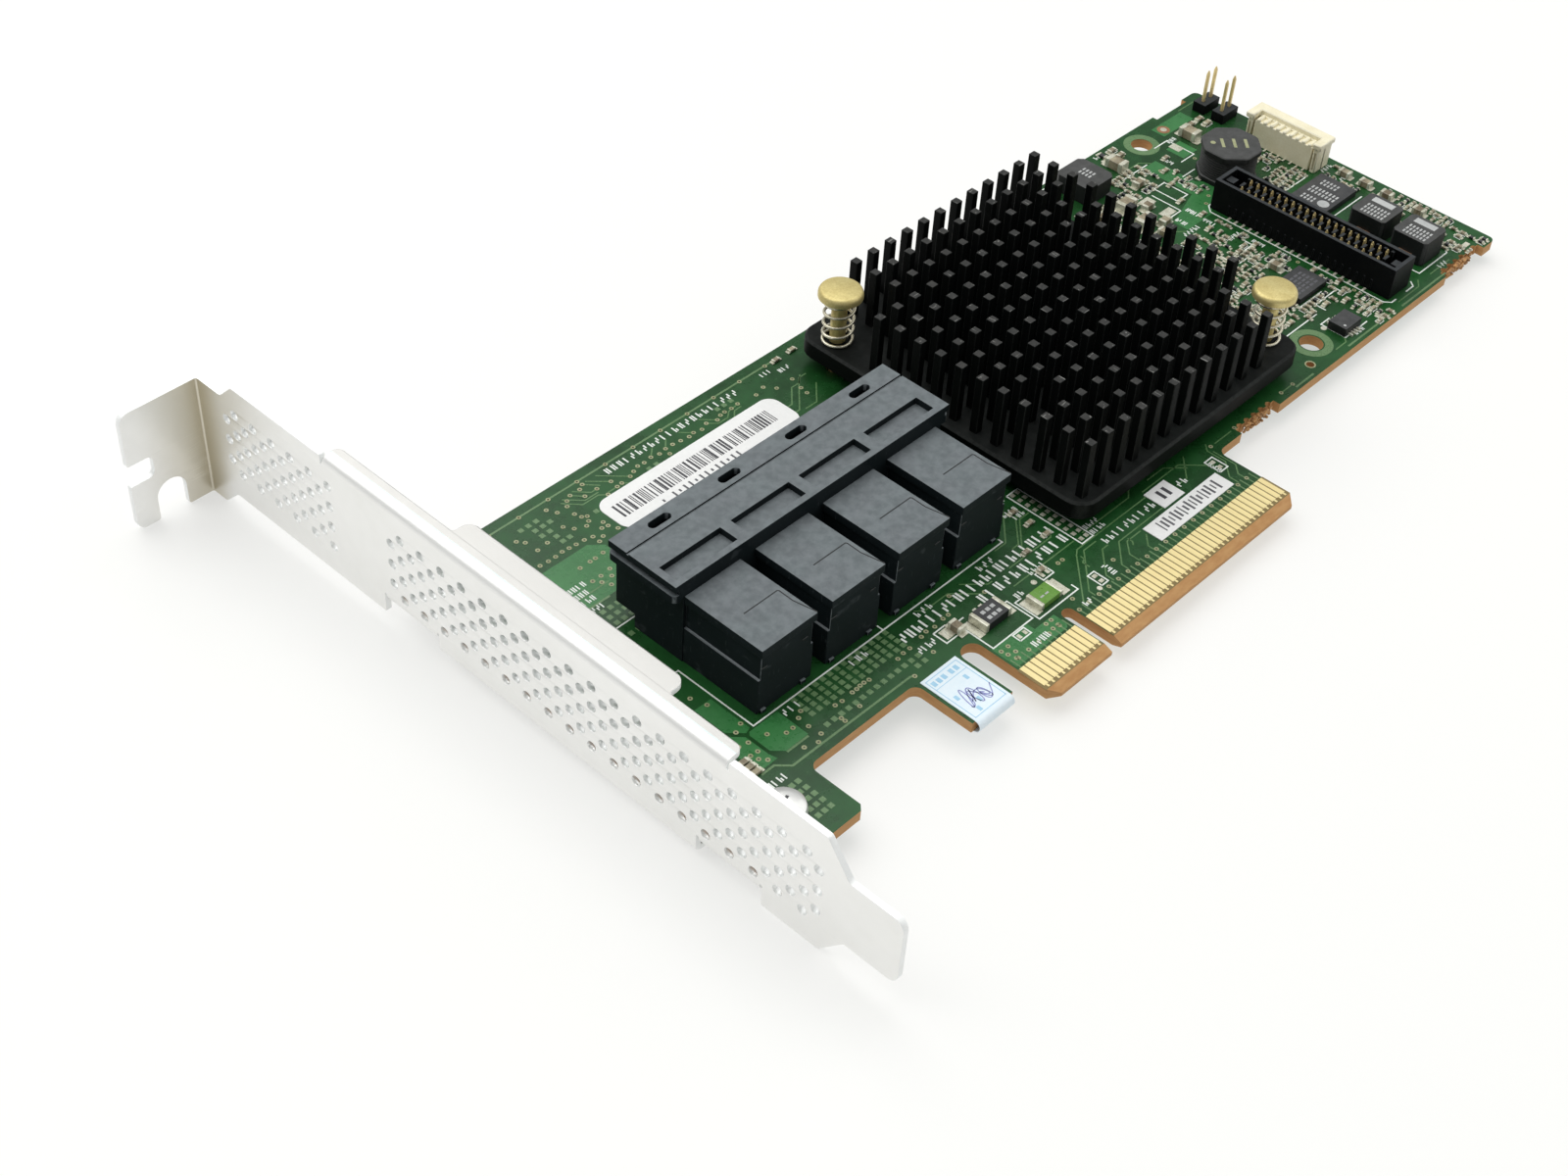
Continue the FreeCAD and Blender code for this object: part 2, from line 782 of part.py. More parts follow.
def bracket_outline():
    """Outline of the bracket's long plate, as (Y, Z) corners from the flange down."""
    tongue_high_z = S.tongue_low_z + S.tongue_width
    flange_top_y = S.flange_face_y + S.sheet
    step = S.bracket_high_z - S.flange_high_z
    low_step = S.bracket_low_z - S.flange_low_z
    tabs = []
    for start in (S.board_tab_low_y, S.board_tab_high_y):
        edge = BOARD_BACK - S.sheet
        end = start + S.board_tab_width
        tabs += [(start, S.bracket_low_z), (start, edge), (end, edge), (end, S.bracket_low_z)]
    return [
        (flange_top_y, S.flange_low_z),
        (flange_top_y, S.flange_high_z),
        (S.shoulder_high_y, S.flange_high_z),
        (S.shoulder_high_y - step, S.bracket_high_z),
        (S.foot_shoulder_y, S.bracket_high_z),
        (S.foot_shoulder_y - S.foot_knee_run, S.bracket_high_z - S.foot_knee_drop),
        (S.tongue_shoulder_y, tongue_high_z),
        (S.tongue_end_y, tongue_high_z),
        (S.tongue_end_y, S.tongue_low_z),
        (S.tongue_shoulder_y, S.tongue_low_z),
        (S.foot_shoulder_y, S.bracket_low_z),
    ] + tabs + [
        (S.shoulder_low_y - low_step, S.bracket_low_z),
        (S.shoulder_low_y, S.flange_low_z),
    ]


def add_flange(body):
    """The screw flange at the top of the bracket, with its notches."""
    sketch = new_sketch(body, "XZ_Plane", -(S.flange_face_y + S.sheet))
    width = S.flange_high_z - S.flange_low_z
    rectangle(sketch, (FLANGE_TIP_X, S.flange_low_z), PLATE_INNER_X - FLANGE_TIP_X, width)
    leaf = pad(body, sketch, S.sheet)
    corners = [FreeCAD.Vector(FLANGE_TIP_X.value, 0, z.value) for z in (S.flange_low_z, S.flange_high_z)]
    leaf = soften(body, FILLET, leaf, LENGTHWISE, corners, S.flange_corner_radius)
    notch = new_sketch(body, "XZ_Plane", -S.flange_face_y)
    radius = S.screw_notch_width / 2
    margin = S.cutter_margin
    top_z = S.flange_low_z + S.screw_notch_depth - radius
    low_z = S.flange_low_z - margin
    rectangle(notch, (-S.screw_notch_x - radius, low_z), S.screw_notch_width, top_z - low_z)
    side_height = S.side_notch_high_z - S.side_notch_low_z
    side_corner = (FLANGE_TIP_X - margin, S.side_notch_low_z)
    rectangle(notch, side_corner, S.side_notch_depth + margin, side_height)
    pocket(body, notch, S.sheet + margin)
    end = new_sketch(body, "XZ_Plane", -S.flange_face_y)
    ring(end, (-S.screw_notch_x, top_z), S.screw_notch_width)
    return pocket(body, end, S.sheet + margin)


def add_side_leaf(body, low_z, start, length, reach, radius):
    """A narrow leaf bent in from the plate's long edge, with rounded outer corners."""
    sketch = new_sketch(body, "XY_Plane", low_z)
    tip = PLATE_OUTER_X + reach
    rectangle(sketch, (PLATE_OUTER_X, start), reach, length)
    leaf = pad(body, sketch, S.sheet)
    points = [upright(tip, start), upright(tip, start + length)]
    return soften(body, FILLET, leaf, UP, points, radius)


def vent_columns(body, first_y, step, columns, first_level, levels):
    """Every other column of vent holes in one group, from its first level upwards."""
    sketch = new_sketch(body, "YZ_Plane", PLATE_INNER_X)
    level_z = S.vent_low_z + S.vent_level_pitch * first_level
    polygon(sketch, (first_y, level_z), S.vent_diameter, VENT_SIDES)
    feature = pocket(body, sketch, S.sheet + S.cutter_margin)
    upward = (levels, 2 * S.vent_level_pitch, "V_Axis")
    row(body, feature, sketch, columns, -2 * step, second=upward)


def make_bracket():
    """The folded sheet bracket with its flange, leaves, board tabs, vents and tongue."""
    body = new_body("slot_bracket")
    sketch = new_sketch(body, "YZ_Plane", PLATE_INNER_X)
    corners = bracket_outline()
    loop(sketch, corners)
    plate = pad(body, sketch, S.sheet, backwards=True)
    tips = [along_x(*corners[number]) for number in (7, 8)]
    soften(body, FILLET, plate, ACROSS, tips, S.tongue_corner_radius)
    add_flange(body)
    top_leaf_z = S.bracket_high_z - S.sheet
    tab_z = BOARD_BACK - S.sheet
    small, large = S.leaf_corner_radius, S.tab_corner_radius
    for low_z, start, length, reach, radius in (
        (top_leaf_z, S.top_flange_start_y, S.top_flange_length, S.top_flange_reach, small),
        (top_leaf_z, S.wide_flange_start_y, S.wide_flange_length, S.wide_flange_reach, large),
        (S.bracket_low_z, S.low_flange_start_y, S.low_flange_length, S.low_flange_reach, small),
        (tab_z, S.board_tab_low_y, S.board_tab_width, S.board_tab_reach, large),
        (tab_z, S.board_tab_high_y, S.board_tab_width, S.board_tab_reach, large),
    ):
        last = add_side_leaf(body, low_z, start, length, reach, radius)
    bends = [along_y(PLATE_OUTER_X, S.bracket_high_z), along_y(PLATE_OUTER_X, S.bracket_low_z)]
    last = soften(body, FILLET, last, LENGTHWISE, bends, S.bend_radius)
    bend = [FreeCAD.Vector(PLATE_INNER_X.value, (S.flange_face_y + S.sheet).value, 0)]
    last = soften(body, FILLET, last, UP, bend, S.bend_radius)
    threads = new_sketch(body, "XY_Plane", BOARD_BACK)
    for centre in TAB_SCREWS:
        ring(threads, centre, TAB_HOLE_DIAMETER)
    pocket(body, threads, S.sheet + S.cutter_margin)
    for first_y, step, short_columns, tall_columns in (
        (S.vent_high_group_y, S.vent_high_group_step, S.vent_columns_high, S.vent_columns_high),
        (S.vent_low_group_y, S.vent_low_group_step, S.vent_columns_low, S.vent_columns_low - 1),
    ):
        vent_columns(body, first_y, step, short_columns, 1, S.vent_levels_short)
        vent_columns(body, first_y - step, step, tall_columns, 0, S.vent_levels_tall)


def make_bracket_screws():
    """Two pan-head screws that hold the board to the bracket's tabs."""
    shank = S.screw_diameter / 2
    head = S.screw_head_diameter / 2
    rim = S.screw_head_height / 2
    tip_z = BOARD_BACK - S.sheet - S.screw_overhang
    profile = [
        (0.0, tip_z),
        (shank, tip_z),
        (shank, 0.0),
        (head, 0.0),
        (head, rim),
        (head - rim, S.screw_head_height),
        (0.0, S.screw_head_height),
    ]
    screws = [turned("Screw", centre, profile) for centre in TAB_SCREWS]
    node(group("bracket_screws", screws), "bracket_screws")


# Cooling of the controller

def make_heatsink():
    """The square pin heatsink: a base, and fins that are sawn across into pins."""
    body = new_body("heatsink")
    half = S.sink_side / 2
    left = S.sink_centre_x - half
    low = S.sink_centre_y - half
    base_sketch = new_sketch(body, "XY_Plane", S.sink_base_z)
    rectangle(base_sketch, (left, low), S.sink_side, S.sink_side)
    base = pad(body, base_sketch, S.sink_base_thickness)
    ends = [upright(x, y) for x in (left, left + S.sink_side) for y in (low, low + S.sink_side)]
    soften(body, FILLET, base, UP, ends, S.sink_corner_radius)
    span = S.sink_pin_pitch * (S.sink_pins_per_side - 1) + S.sink_pin_side
    field_x = S.sink_centre_x - span / 2
    field_y = S.sink_centre_y - span / 2
    field = new_sketch(body, "XY_Plane", SINK_TOP)
    rectangle(field, (field_x, field_y), span, span)
    pad(body, field, S.sink_pin_height)
    gap = S.sink_pin_pitch - S.sink_pin_side
    top = SINK_TOP + S.sink_pin_height
    margin = S.cutter_margin
    for axis in ("H_Axis", "V_Axis"):
        saw = new_sketch(body, "XY_Plane", top)
        if axis == "H_Axis":
            rectangle(saw, (field_x + S.sink_pin_side, field_y - margin), gap, span + 2 * margin)
        else:
            rectangle(saw, (field_x - margin, field_y + S.sink_pin_side), span + 2 * margin, gap)
        first = pocket(body, saw, S.sink_pin_height)
        row(body, first, saw, S.sink_pins_per_side - 1, S.sink_pin_pitch, axis)
    bare = new_sketch(body, "XY_Plane", top)
    pitch = S.sink_pin_pitch
    one, two, three = (count * pitch - gap / 2 for count in (1, 2, 3))
    far = field_x + span - two
    rectangle(bare, (field_x - margin, field_y + span - three), two + margin, three + margin)
    rectangle(bare, (far, field_y - margin), two + margin, three + margin)
    rectangle(bare, (field_x + one, field_y + three), pitch, pitch)
    rectangle(bare, (far, field_y + span - three - pitch), pitch, pitch)
    last = pocket(body, bare, S.sink_pin_height)
    last.Refine = True
    holes = new_sketch(body, "XY_Plane")
    for centre in PUSH_PINS:
        ring(holes, centre, PIN_HOLE_DIAMETER)
    pocket_through(body, holes)


def make_controller():
    """The controller's package and lid, and the pad between lid and heatsink."""
    body = new_body("controller_chip")
    for side, low_z, height in (
        (S.package_side, 0.0, S.package_thickness),
        (S.lid_side, S.package_thickness, S.lid_thickness),
    ):
        sketch = new_sketch(body, "XY_Plane", low_z)
        rectangle(sketch, (S.sink_centre_x - side / 2, S.sink_centre_y - side / 2), side, side)
        pad(body, sketch, height)
    lid_top = S.package_thickness + S.lid_thickness
    dims = (S.lid_side, S.lid_side, S.sink_base_z - lid_top)
    node(block("thermal_pad", (S.sink_centre_x, S.sink_centre_y), dims, lid_top), "thermal_pad")


def make_push_pins():
    """The brass pins: a domed head, a stem, and a barb that catches under the board."""
    head = S.push_pin_head_diameter / 2
    stem = S.push_pin_stem_diameter / 2
    tip_z = BOARD_BACK - S.push_pin_barb_length
    rim_z = S.push_pin_head_z + S.push_pin_rim
    profile = [
        (0.0, tip_z),
        (S.push_pin_tip_diameter / 2, tip_z),
        (S.push_pin_barb_diameter / 2, BOARD_BACK - S.seat_clearance),
        (stem, BOARD_BACK - S.seat_clearance),
        (stem, S.push_pin_head_z),
        (head, S.push_pin_head_z),
        (head, rim_z),
        (S.push_pin_crown_diameter / 2, rim_z + S.push_pin_dome),
        (0.0, rim_z + S.push_pin_dome),
    ]
    pins = [turned("PushPin", centre, profile) for centre in PUSH_PINS]
    node(group("push_pins", pins), "push_pins")


def make_springs():
    """The two coil springs between the heatsink's base and the pin heads."""
    springs = []
    low_z = SINK_TOP + S.spring_wire / 2 + S.seat_clearance
    height = S.push_pin_head_z - S.spring_wire / 2 - S.seat_clearance - low_z
    steps = int(SPRING_STEPS_PER_TURN * S.spring_turns.value)
    for number, (x, y) in enumerate(PUSH_PINS, start=1):
        points = []
        for step in range(steps + 1):
            angle = 2 * math.pi * step / SPRING_STEPS_PER_TURN
            radius = S.spring_diameter.value / 2
            rise = height.value * step / steps
            points.append(FreeCAD.Vector(radius * math.cos(angle), radius * math.sin(angle), rise))
        path = DOCUMENT.addObject("Part::Feature", f"SpringPath{number}")
        path.Shape = Part.makePolygon(points)
        place(path, (x, y, low_z))
        wire = DOCUMENT.addObject("Part::RegularPolygon", f"SpringWire{number}")
        wire.Polygon = SPRING_WIRE_SIDES
        bind(wire, "Circumradius", S.spring_wire / 2)
        wire.Placement.Rotation = FreeCAD.Rotation(FreeCAD.Vector(1, 0, 0), 90)
        place(wire, (x + S.spring_diameter / 2, y, low_z))
        coil = DOCUMENT.addObject("Part::Sweep", f"Spring{number}")
        coil.Sections = [wire]
        coil.Spine = (path, [])
        coil.Solid = True
        coil.Transition = "Right corner"
        springs.append(coil)
    node(group("push_pin_springs", springs), "push_pin_springs")


# Four-port cable connector

def shroud_profile():
    """Half-stepped section of the shroud, as (X, Z) corners seen along the ports."""
    cap_z = S.shroud_top_z - S.shroud_cap
    flange_top = cap_z - S.shroud_groove
    flange_low = flange_top - S.shroud_flange
    left = [
        (S.shroud_body_inset, 0.0),
        (S.shroud_body_inset, flange_low),
        (-S.shroud_flange_proud, flange_low),
        (-S.shroud_flange_proud, flange_top),
        (S.shroud_groove_inset, flange_top),
        (S.shroud_groove_inset, cap_z),
        (0.0, cap_z),
        (0.0, S.shroud_top_z),
    ]
    right = [(S.shroud_length - inset, z) for inset, z in reversed(left)]
    return [(inset - S.shroud_left, z) for inset, z in left + right]


def make_shroud():
    """The one-piece shroud with its four ports, latch windows and top recesses."""
    body = new_body("port_shroud")
    profile = new_sketch(body, "XZ_Plane", -SHROUD_FRONT_Y)
    loop(profile, shroud_profile())
    bar = pad(body, profile, S.shroud_depth)
    corners = []
    flange_left = -S.shroud_left - S.shroud_flange_proud
    flange_right = S.shroud_length - S.shroud_left + S.shroud_flange_proud
    for x in (flange_left, flange_right):
        corners += [upright(x, S.shroud_back_y), upright(x, SHROUD_FRONT_Y)]
    soften(body, FILLET, bar, UP, corners, S.shroud_flange_corner)
    margin = S.cutter_margin
    whole_length = S.shroud_length + 2 * margin
    lip = new_sketch(body, "XY_Plane")
    lip_corner = (-S.shroud_left - margin, SHROUD_FRONT_Y - S.shroud_lip_depth)
    rectangle(lip, lip_corner, whole_length, S.shroud_lip_depth + margin)
    pocket(body, lip, S.shroud_lip_z, backwards=True)
    seam = new_sketch(body, "XY_Plane", S.shroud_top_z)
    rectangle(seam, (-S.shroud_left - margin, S.seam_y), whole_length, S.seam_width)
    pocket(body, seam, S.seam_depth)
    mouth = new_sketch(body, "XZ_Plane", -SHROUD_FRONT_Y)
    rectangle(
        mouth,
        (-S.port_first_x - S.port_width / 2, S.port_floor_z),
        S.port_width,
        S.port_roof_z - S.port_floor_z,
    )
    row(body, pocket(body, mouth, S.port_depth, backwards=True), mouth, S.port_count, S.port_pitch)
    window = new_sketch(body, "XY_Plane", S.shroud_top_z)
    window_x = S.latch_window_offset - S.port_first_x - S.latch_window_length / 2
    window_corner = (window_x, S.latch_window_y - S.latch_window_width / 2)
    rectangle(window, window_corner, S.latch_window_length, S.latch_window_width)
    row(body, pocket(body, window, S.shroud_top_z + margin), window, S.port_count, S.port_pitch)
    recess = new_sketch(body, "XY_Plane", S.shroud_top_z)
    recess_corner = (-S.port_first_x - S.top_recess_length / 2, S.top_recess_y)
    rectangle(recess, recess_corner, S.top_recess_length, S.top_recess_width)
    row(body, pocket(body, recess, S.top_recess_depth), recess, S.port_count, S.port_pitch)


def make_wafer_covers():
    """The four blocks behind the ports, each with a cap plate and a ledge along its side."""
    body = new_body("wafer_covers")
    left = -S.port_first_x - S.cover_width / 2
    depth = S.shroud_back_y - S.cover_back_y
    low = new_sketch(body, "XY_Plane")
    ledge = S.cover_ledge_depth
    rectangle(low, (left, S.cover_back_y + ledge), S.cover_width, depth - ledge)
    row(body, pad(body, low, S.cover_ledge_z), low, S.port_count, S.port_pitch)
    middle = new_sketch(body, "XY_Plane", S.cover_ledge_z)
    rectangle(middle, (left + ledge, S.cover_back_y + ledge), S.cover_width - 2 * ledge, depth - ledge)
    neck = S.cover_height - S.cover_cap - S.cover_ledge_z
    row(body, pad(body, middle, neck), middle, S.port_count, S.port_pitch)
    cap = new_sketch(body, "XY_Plane", S.cover_height - S.cover_cap)
    rectangle(cap, (left, S.cover_back_y), S.cover_width, depth)
    row(body, pad(body, cap, S.cover_cap), cap, S.port_count, S.port_pitch)


def make_port_inserts():
    """The slotted insulators inside the ports, which hold the contacts."""
    body = new_body("port_inserts")
    left = -S.port_first_x - S.insert_width / 2
    middle_z = (S.port_floor_z + S.port_roof_z) / 2
    back_y = SHROUD_FRONT_Y - S.port_depth
    front_y = back_y + S.insert_length
    sketch = new_sketch(body, "XZ_Plane", -front_y)
    rectangle(sketch, (left, middle_z - S.insert_height / 2), S.insert_width, S.insert_height)
    row(body, pad(body, sketch, S.insert_length), sketch, S.port_count, S.port_pitch)
    slots = new_sketch(body, "XZ_Plane", -front_y)
    for side in (-0.5, 0.5):
        slot_z = middle_z + side * S.insert_slot_spacing - S.insert_slot_height / 2
        slot_x = -S.port_first_x - S.insert_slot_width / 2
        rectangle(slots, (slot_x, slot_z), S.insert_slot_width, S.insert_slot_height)
    cutter = pocket(body, slots, S.insert_length - S.insert_slot_floor, backwards=True)
    row(body, cutter, slots, S.port_count, S.port_pitch)


# Other connectors

def make_mezzanine():
    """The open box connector for a daughter card, with two rows of pins."""
    left, low = S.mezzanine_left, S.mezzanine_low_y
    wall = S.mezzanine_wall
    outer_dims = (S.mezzanine_width, S.mezzanine_length, S.mezzanine_height)
    outer = box("MezzanineOuter", (left, low, 0.0), outer_dims)
    inner_dims = (S.mezzanine_width - 2 * wall, S.mezzanine_length - 2 * wall, S.mezzanine_height)
    inner = box("MezzanineInner", (left + wall, low + wall, S.mezzanine_floor), inner_dims)
    shell = cut("MezzanineShell", outer, inner)
    keys = []
    key_x = left + (S.mezzanine_width - S.mezzanine_key_width) / 2
    key_height = S.mezzanine_height - S.mezzanine_floor - wall
    high_key_y = low + S.mezzanine_length - wall - S.mezzanine_key_length
    for name, key_y in (("low", low + wall), ("high", high_key_y)):
        dims = (S.mezzanine_key_width, S.mezzanine_key_length, key_height)
        keys.append(box(f"Key_{name}", (key_x, key_y, S.mezzanine_floor), dims))
    housing = DOCUMENT.addObject("Part::MultiFuse", "mezzanine_housing")
    housing.Shapes = [shell] + keys
    node(housing, "mezzanine_housing")
    pins = new_body("mezzanine_pins")
    sketch = new_sketch(pins, "XY_Plane", S.mezzanine_floor)
    half = S.mezzanine_pin_side / 2
    row_length = S.mezzanine_pin_pitch * (S.mezzanine_pins_per_row - 1)
    first_y = low + (S.mezzanine_length - row_length) / 2
    first_x = left + (S.mezzanine_width - S.mezzanine_row_spacing) / 2
    rectangle(sketch, (first_x - half, first_y - half), S.mezzanine_pin_side, S.mezzanine_pin_side)
    pin = pad(pins, sketch, S.mezzanine_pin_top - S.mezzanine_floor)
    columns = (S.mezzanine_pins_per_row, S.mezzanine_pin_pitch, "V_Axis")
    row(pins, pin, sketch, 2, S.mezzanine_row_spacing, second=columns)


def make_headers():
    """Two two-pin headers: black bases and square gold pins."""
    bases = []
    pins = []
    centres = ((S.header_one_x, S.header_one_y), (S.header_two_x, S.header_two_y))
    for number, (x, y) in enumerate(centres, start=1):
        dims = (S.header_base_length, S.header_base_width, S.header_base_height)
        bases.append(block(f"HeaderBase{number}", (x, y), dims))
        for side in (-0.5, 0.5):
            pin_x = x + side * S.header_pitch
            height = S.header_pin_top - S.header_base_height
            dims = (S.header_pin_side, S.header_pin_side, height)
            pins.append(block(f"HeaderPin{number}", (pin_x, y), dims, S.header_base_height))
    node(group("header_bases", bases), "header_bases")
    node(group("header_pins", pins), "header_pins")


def make_wire_connector():
    """The ivory upright wire connector with its rim, its hollow and its row of pins."""
    body = new_body("wire_connector")
    foot = new_sketch(body, "XY_Plane")
    rectangle(foot, (S.wire_left, S.wire_low_y), S.wire_depth, S.wire_length)
    pad(body, foot, S.wire_height)
    rim = new_sketch(body, "XY_Plane", S.wire_height - S.wire_rim_height)
    rim_corner = (S.wire_left - S.wire_rim, S.wire_low_y - S.wire_rim)
    rectangle(rim, rim_corner, S.wire_depth + S.wire_rim, S.wire_length + 2 * S.wire_rim)
    pad(body, rim, S.wire_rim_height)
    hollow = new_sketch(body, "XY_Plane", S.wire_height)
    wall = S.wire_wall
    hollow_corner = (S.wire_left + wall, S.wire_low_y + wall)
    rectangle(hollow, hollow_corner, S.wire_depth - 2 * wall, S.wire_length - 2 * wall)
    floor_z = S.wire_wall * 2
    pocket(body, hollow, S.wire_height - floor_z)
    pins = new_body("wire_connector_pins")
    sketch = new_sketch(pins, "XY_Plane", floor_z)
    side = S.wire_pin_side
    first_x = S.wire_left + S.wire_depth / 2
    first_y = S.wire_low_y + (S.wire_length - S.wire_pin_pitch * (S.wire_pin_count - 1)) / 2
    rectangle(sketch, (first_x - side / 2, first_y - side / 2), side, side)
    first = pad(pins, sketch, S.wire_pin_height - floor_z)
    row(pins, first, sketch, S.wire_pin_count, S.wire_pin_pitch, "V_Axis")


# Power parts

def make_coil():
    """The round wound inductor: a drum core with a wide rim above and below."""
    body = new_body("round_inductor")
    for low_z, height, diameter in (
        (0.0, S.coil_flange, S.coil_diameter),
        (S.coil_flange, S.coil_height - 2 * S.coil_flange, S.coil_waist),
        (S.coil_height - S.coil_flange, S.coil_flange, S.coil_diameter),
    ):
        sketch = new_sketch(body, "XY_Plane", low_z)
        polygon(sketch, (S.coil_x, S.coil_y), diameter, COIL_SIDES)
        pad(body, sketch, height)


def moulded_block(body, centre, dims, corner):
    """A moulded block with chamfered upright corners."""
    sketch = new_sketch(body, "XY_Plane")
    left = centre[0] - dims[0] / 2
    low = centre[1] - dims[1] / 2
    rectangle(sketch, (left, low), dims[0], dims[1])
    solid = pad(body, sketch, dims[2])
    ends = [upright(x, y) for x in (left, left + dims[0]) for y in (low, low + dims[1])]
    return soften(body, CHAMFER, solid, UP, ends, corner)


def make_inductors():
    """The square choke, the two shielded inductors, and the inductors' terminals."""
    choke = new_body("square_choke")
    dims = (S.choke_length, S.choke_width, S.choke_height)
    moulded_block(choke, (S.choke_x, S.choke_y), dims, S.choke_corner)
    shielded = new_body("power_inductors")
    terminals = []
    for name, y in (("One", S.inductor_one_y), ("Two", S.inductor_two_y)):
        dims = (S.inductor_side, S.inductor_side, S.inductor_height)
        moulded_block(shielded, (S.inductor_x, y), dims, S.inductor_corner)
        for side, sign in (("Left", -1), ("Right", 1)):
            x = S.inductor_x + sign * (S.inductor_side + S.terminal_sheet) / 2
            dims = (S.terminal_sheet, S.terminal_width, S.terminal_height)
            terminals.append(block(f"Terminal{name}{side}", (x, y), dims))
    node(group("inductor_terminals", terminals), "inductor_terminals")


# Integrated circuits and chip parts

def make_circuits():
    """The flat packages on the component side, and the leads of the small one."""
    regulator_dims = (S.regulator_length, S.regulator_width, S.regulator_height)
    converter_dims = (S.converter_length, S.converter_width, S.converter_height)
    driver_dims = (S.driver_length, S.driver_width, S.driver_height)
    for label, centre, dims in (
        ("regulator_chip", (S.regulator_x, S.regulator_y), regulator_dims),
        ("converter_chip", (S.converter_x, S.converter_y), converter_dims),
        ("driver_chip", (S.driver_x, S.driver_y), driver_dims),
    ):
        node(block(label, centre, dims), label)
    leads = []
    for number in range(SIZES["driver_leads_per_side"]):
        for side in (-1, 1):
            x = S.driver_x + S.driver_lead_pitch * (number - (S.driver_leads_per_side - 1) / 2)
            y = S.driver_y + side * (S.driver_width + S.driver_lead_reach) / 2
            dims = (S.driver_lead_width, S.driver_lead_reach, S.driver_lead_width)
            leads.append(block("DriverLead", (x, y), dims))
    node(group("driver_chip_leads", leads), "driver_chip_leads")


def make_memory():
    """The cache memory packages on the solder side of the board."""
    body = new_body("memory_chips")
    sketch = new_sketch(body, "XY_Plane", BOARD_BACK)
    corner = (S.memory_first_x - S.memory_length / 2, S.memory_y - S.memory_width / 2)
    rectangle(sketch, corner, S.memory_length, S.memory_width)
    first = pad(body, sketch, S.memory_height, backwards=True)
    row(body, first, sketch, S.memory_count, S.memory_pitch)


def capped_chip(name, centre, dims, low_z=0.0):
    """A chip part as three solids: its body, and a metal cap on each end along X."""
    x, y = centre
    length, width, height = dims
    core_length = length - 2 * S.end_cap_length
    core = block(f"{name}Core", centre, (core_length, width, height), low_z)
    caps = []
    for sign in (-1, 1):
        cap_x = x + sign * (length - S.end_cap_length) / 2
        caps.append(block(f"{name}Cap", (cap_x, y), (S.end_cap_length, width, height), low_z))
    return core, caps


def make_edge_parts():
    """The green fuse and the metal-ended shunt beside the edge fingers."""
    caps = []
    for label, centre, dims in (
        ("green_fuse", (S.fuse_x, S.fuse_y), (S.fuse_length, S.fuse_width, S.fuse_height)),
        ("shunt_block", (S.shunt_x, S.shunt_y), (S.shunt_length, S.shunt_width, S.shunt_height)),
    ):
        core, ends = capped_chip(label, centre, dims)
        node(core, label)
        caps += ends
    node(group("edge_part_caps", caps), "edge_part_caps")


def turned_dims(dims, turned):
    """Swap length and width for a part that lies along Y."""
    return (dims[1], dims[0], dims[2]) if turned else dims


def make_capacitors():
    """The ceramic capacitors of the two larger cases."""
    items = []
    large = (S.large_capacitor_length, S.large_capacitor_width, S.large_capacitor_height)
    medium = (S.medium_capacitor_length, S.medium_capacitor_width, S.medium_capacitor_height)
    for places, dims in ((LARGE_CAPACITORS, large), (MEDIUM_CAPACITORS, medium)):
        for x, y, turned in places:
            items.append(block("Capacitor", (as_size(x), as_size(y)), turned_dims(dims, turned)))
    node(group("ceramic_capacitors", items), "ceramic_capacitors")


def make_small_chips():
    """The small resistors and capacitors on both faces of the board."""
    dims = (S.small_chip_length, S.small_chip_width, S.small_chip_height)
    upper = [block("Chip", (as_size(x), as_size(y)), dims) for x, y in SMALL_CHIPS]
    node(group("small_chip_parts", upper), "small_chip_parts")
    low_z = BOARD_BACK - S.small_chip_height
    lower = [block("BackChip", (as_size(x), as_size(y)), dims, low_z) for x, y in SOLDER_SIDE_CHIPS]
    node(group("solder_side_chip_parts", lower), "solder_side_chip_parts")


# Labels

def make_labels():
    """The paper labels on the board and the sticker folded round the tab."""
    barcode = new_body("barcode_label")
    sketch = new_sketch(barcode, "XY_Plane")
    left, low = S.barcode_left, S.barcode_low_y
    rectangle(sketch, (left, low), S.barcode_length, S.barcode_width)
    sheet = pad(barcode, sketch, S.paper)
    ends = [upright(x, y) for x in (left, left + S.barcode_length) for y in (low, low + S.barcode_width)]
    soften(barcode, FILLET, sheet, UP, ends, S.barcode_corner)
    long_dims = (S.part_label_length, S.part_label_width, S.paper)
    short_dims = (S.small_label_length, S.small_label_width, S.paper)
    node(box("long_label", (S.part_label_left, S.part_label_low_y, 0.0), long_dims), "long_label")
    node(box("short_label", (S.small_label_left, S.small_label_low_y, 0.0), short_dims), "short_label")
    sticker = new_body("tab_sticker")
    section = new_sketch(sticker, "YZ_Plane", -S.finger_left - S.relief_width - S.sticker_margin)
    edge = S.tab_bottom - S.paper
    under = S.tab_bottom + S.sticker_under_length
    loop(section, [
        (S.sticker_top_y, 0.0),
        (S.tab_bottom, 0.0),
        (S.tab_bottom, BOARD_BACK),
        (under, BOARD_BACK),
        (under, BOARD_BACK - S.paper),
        (edge, BOARD_BACK - S.paper),
        (edge, S.paper),
        (S.sticker_top_y, S.paper),
    ])
    pad(sticker, section, S.tab_width - 2 * S.sticker_margin, backwards=True)


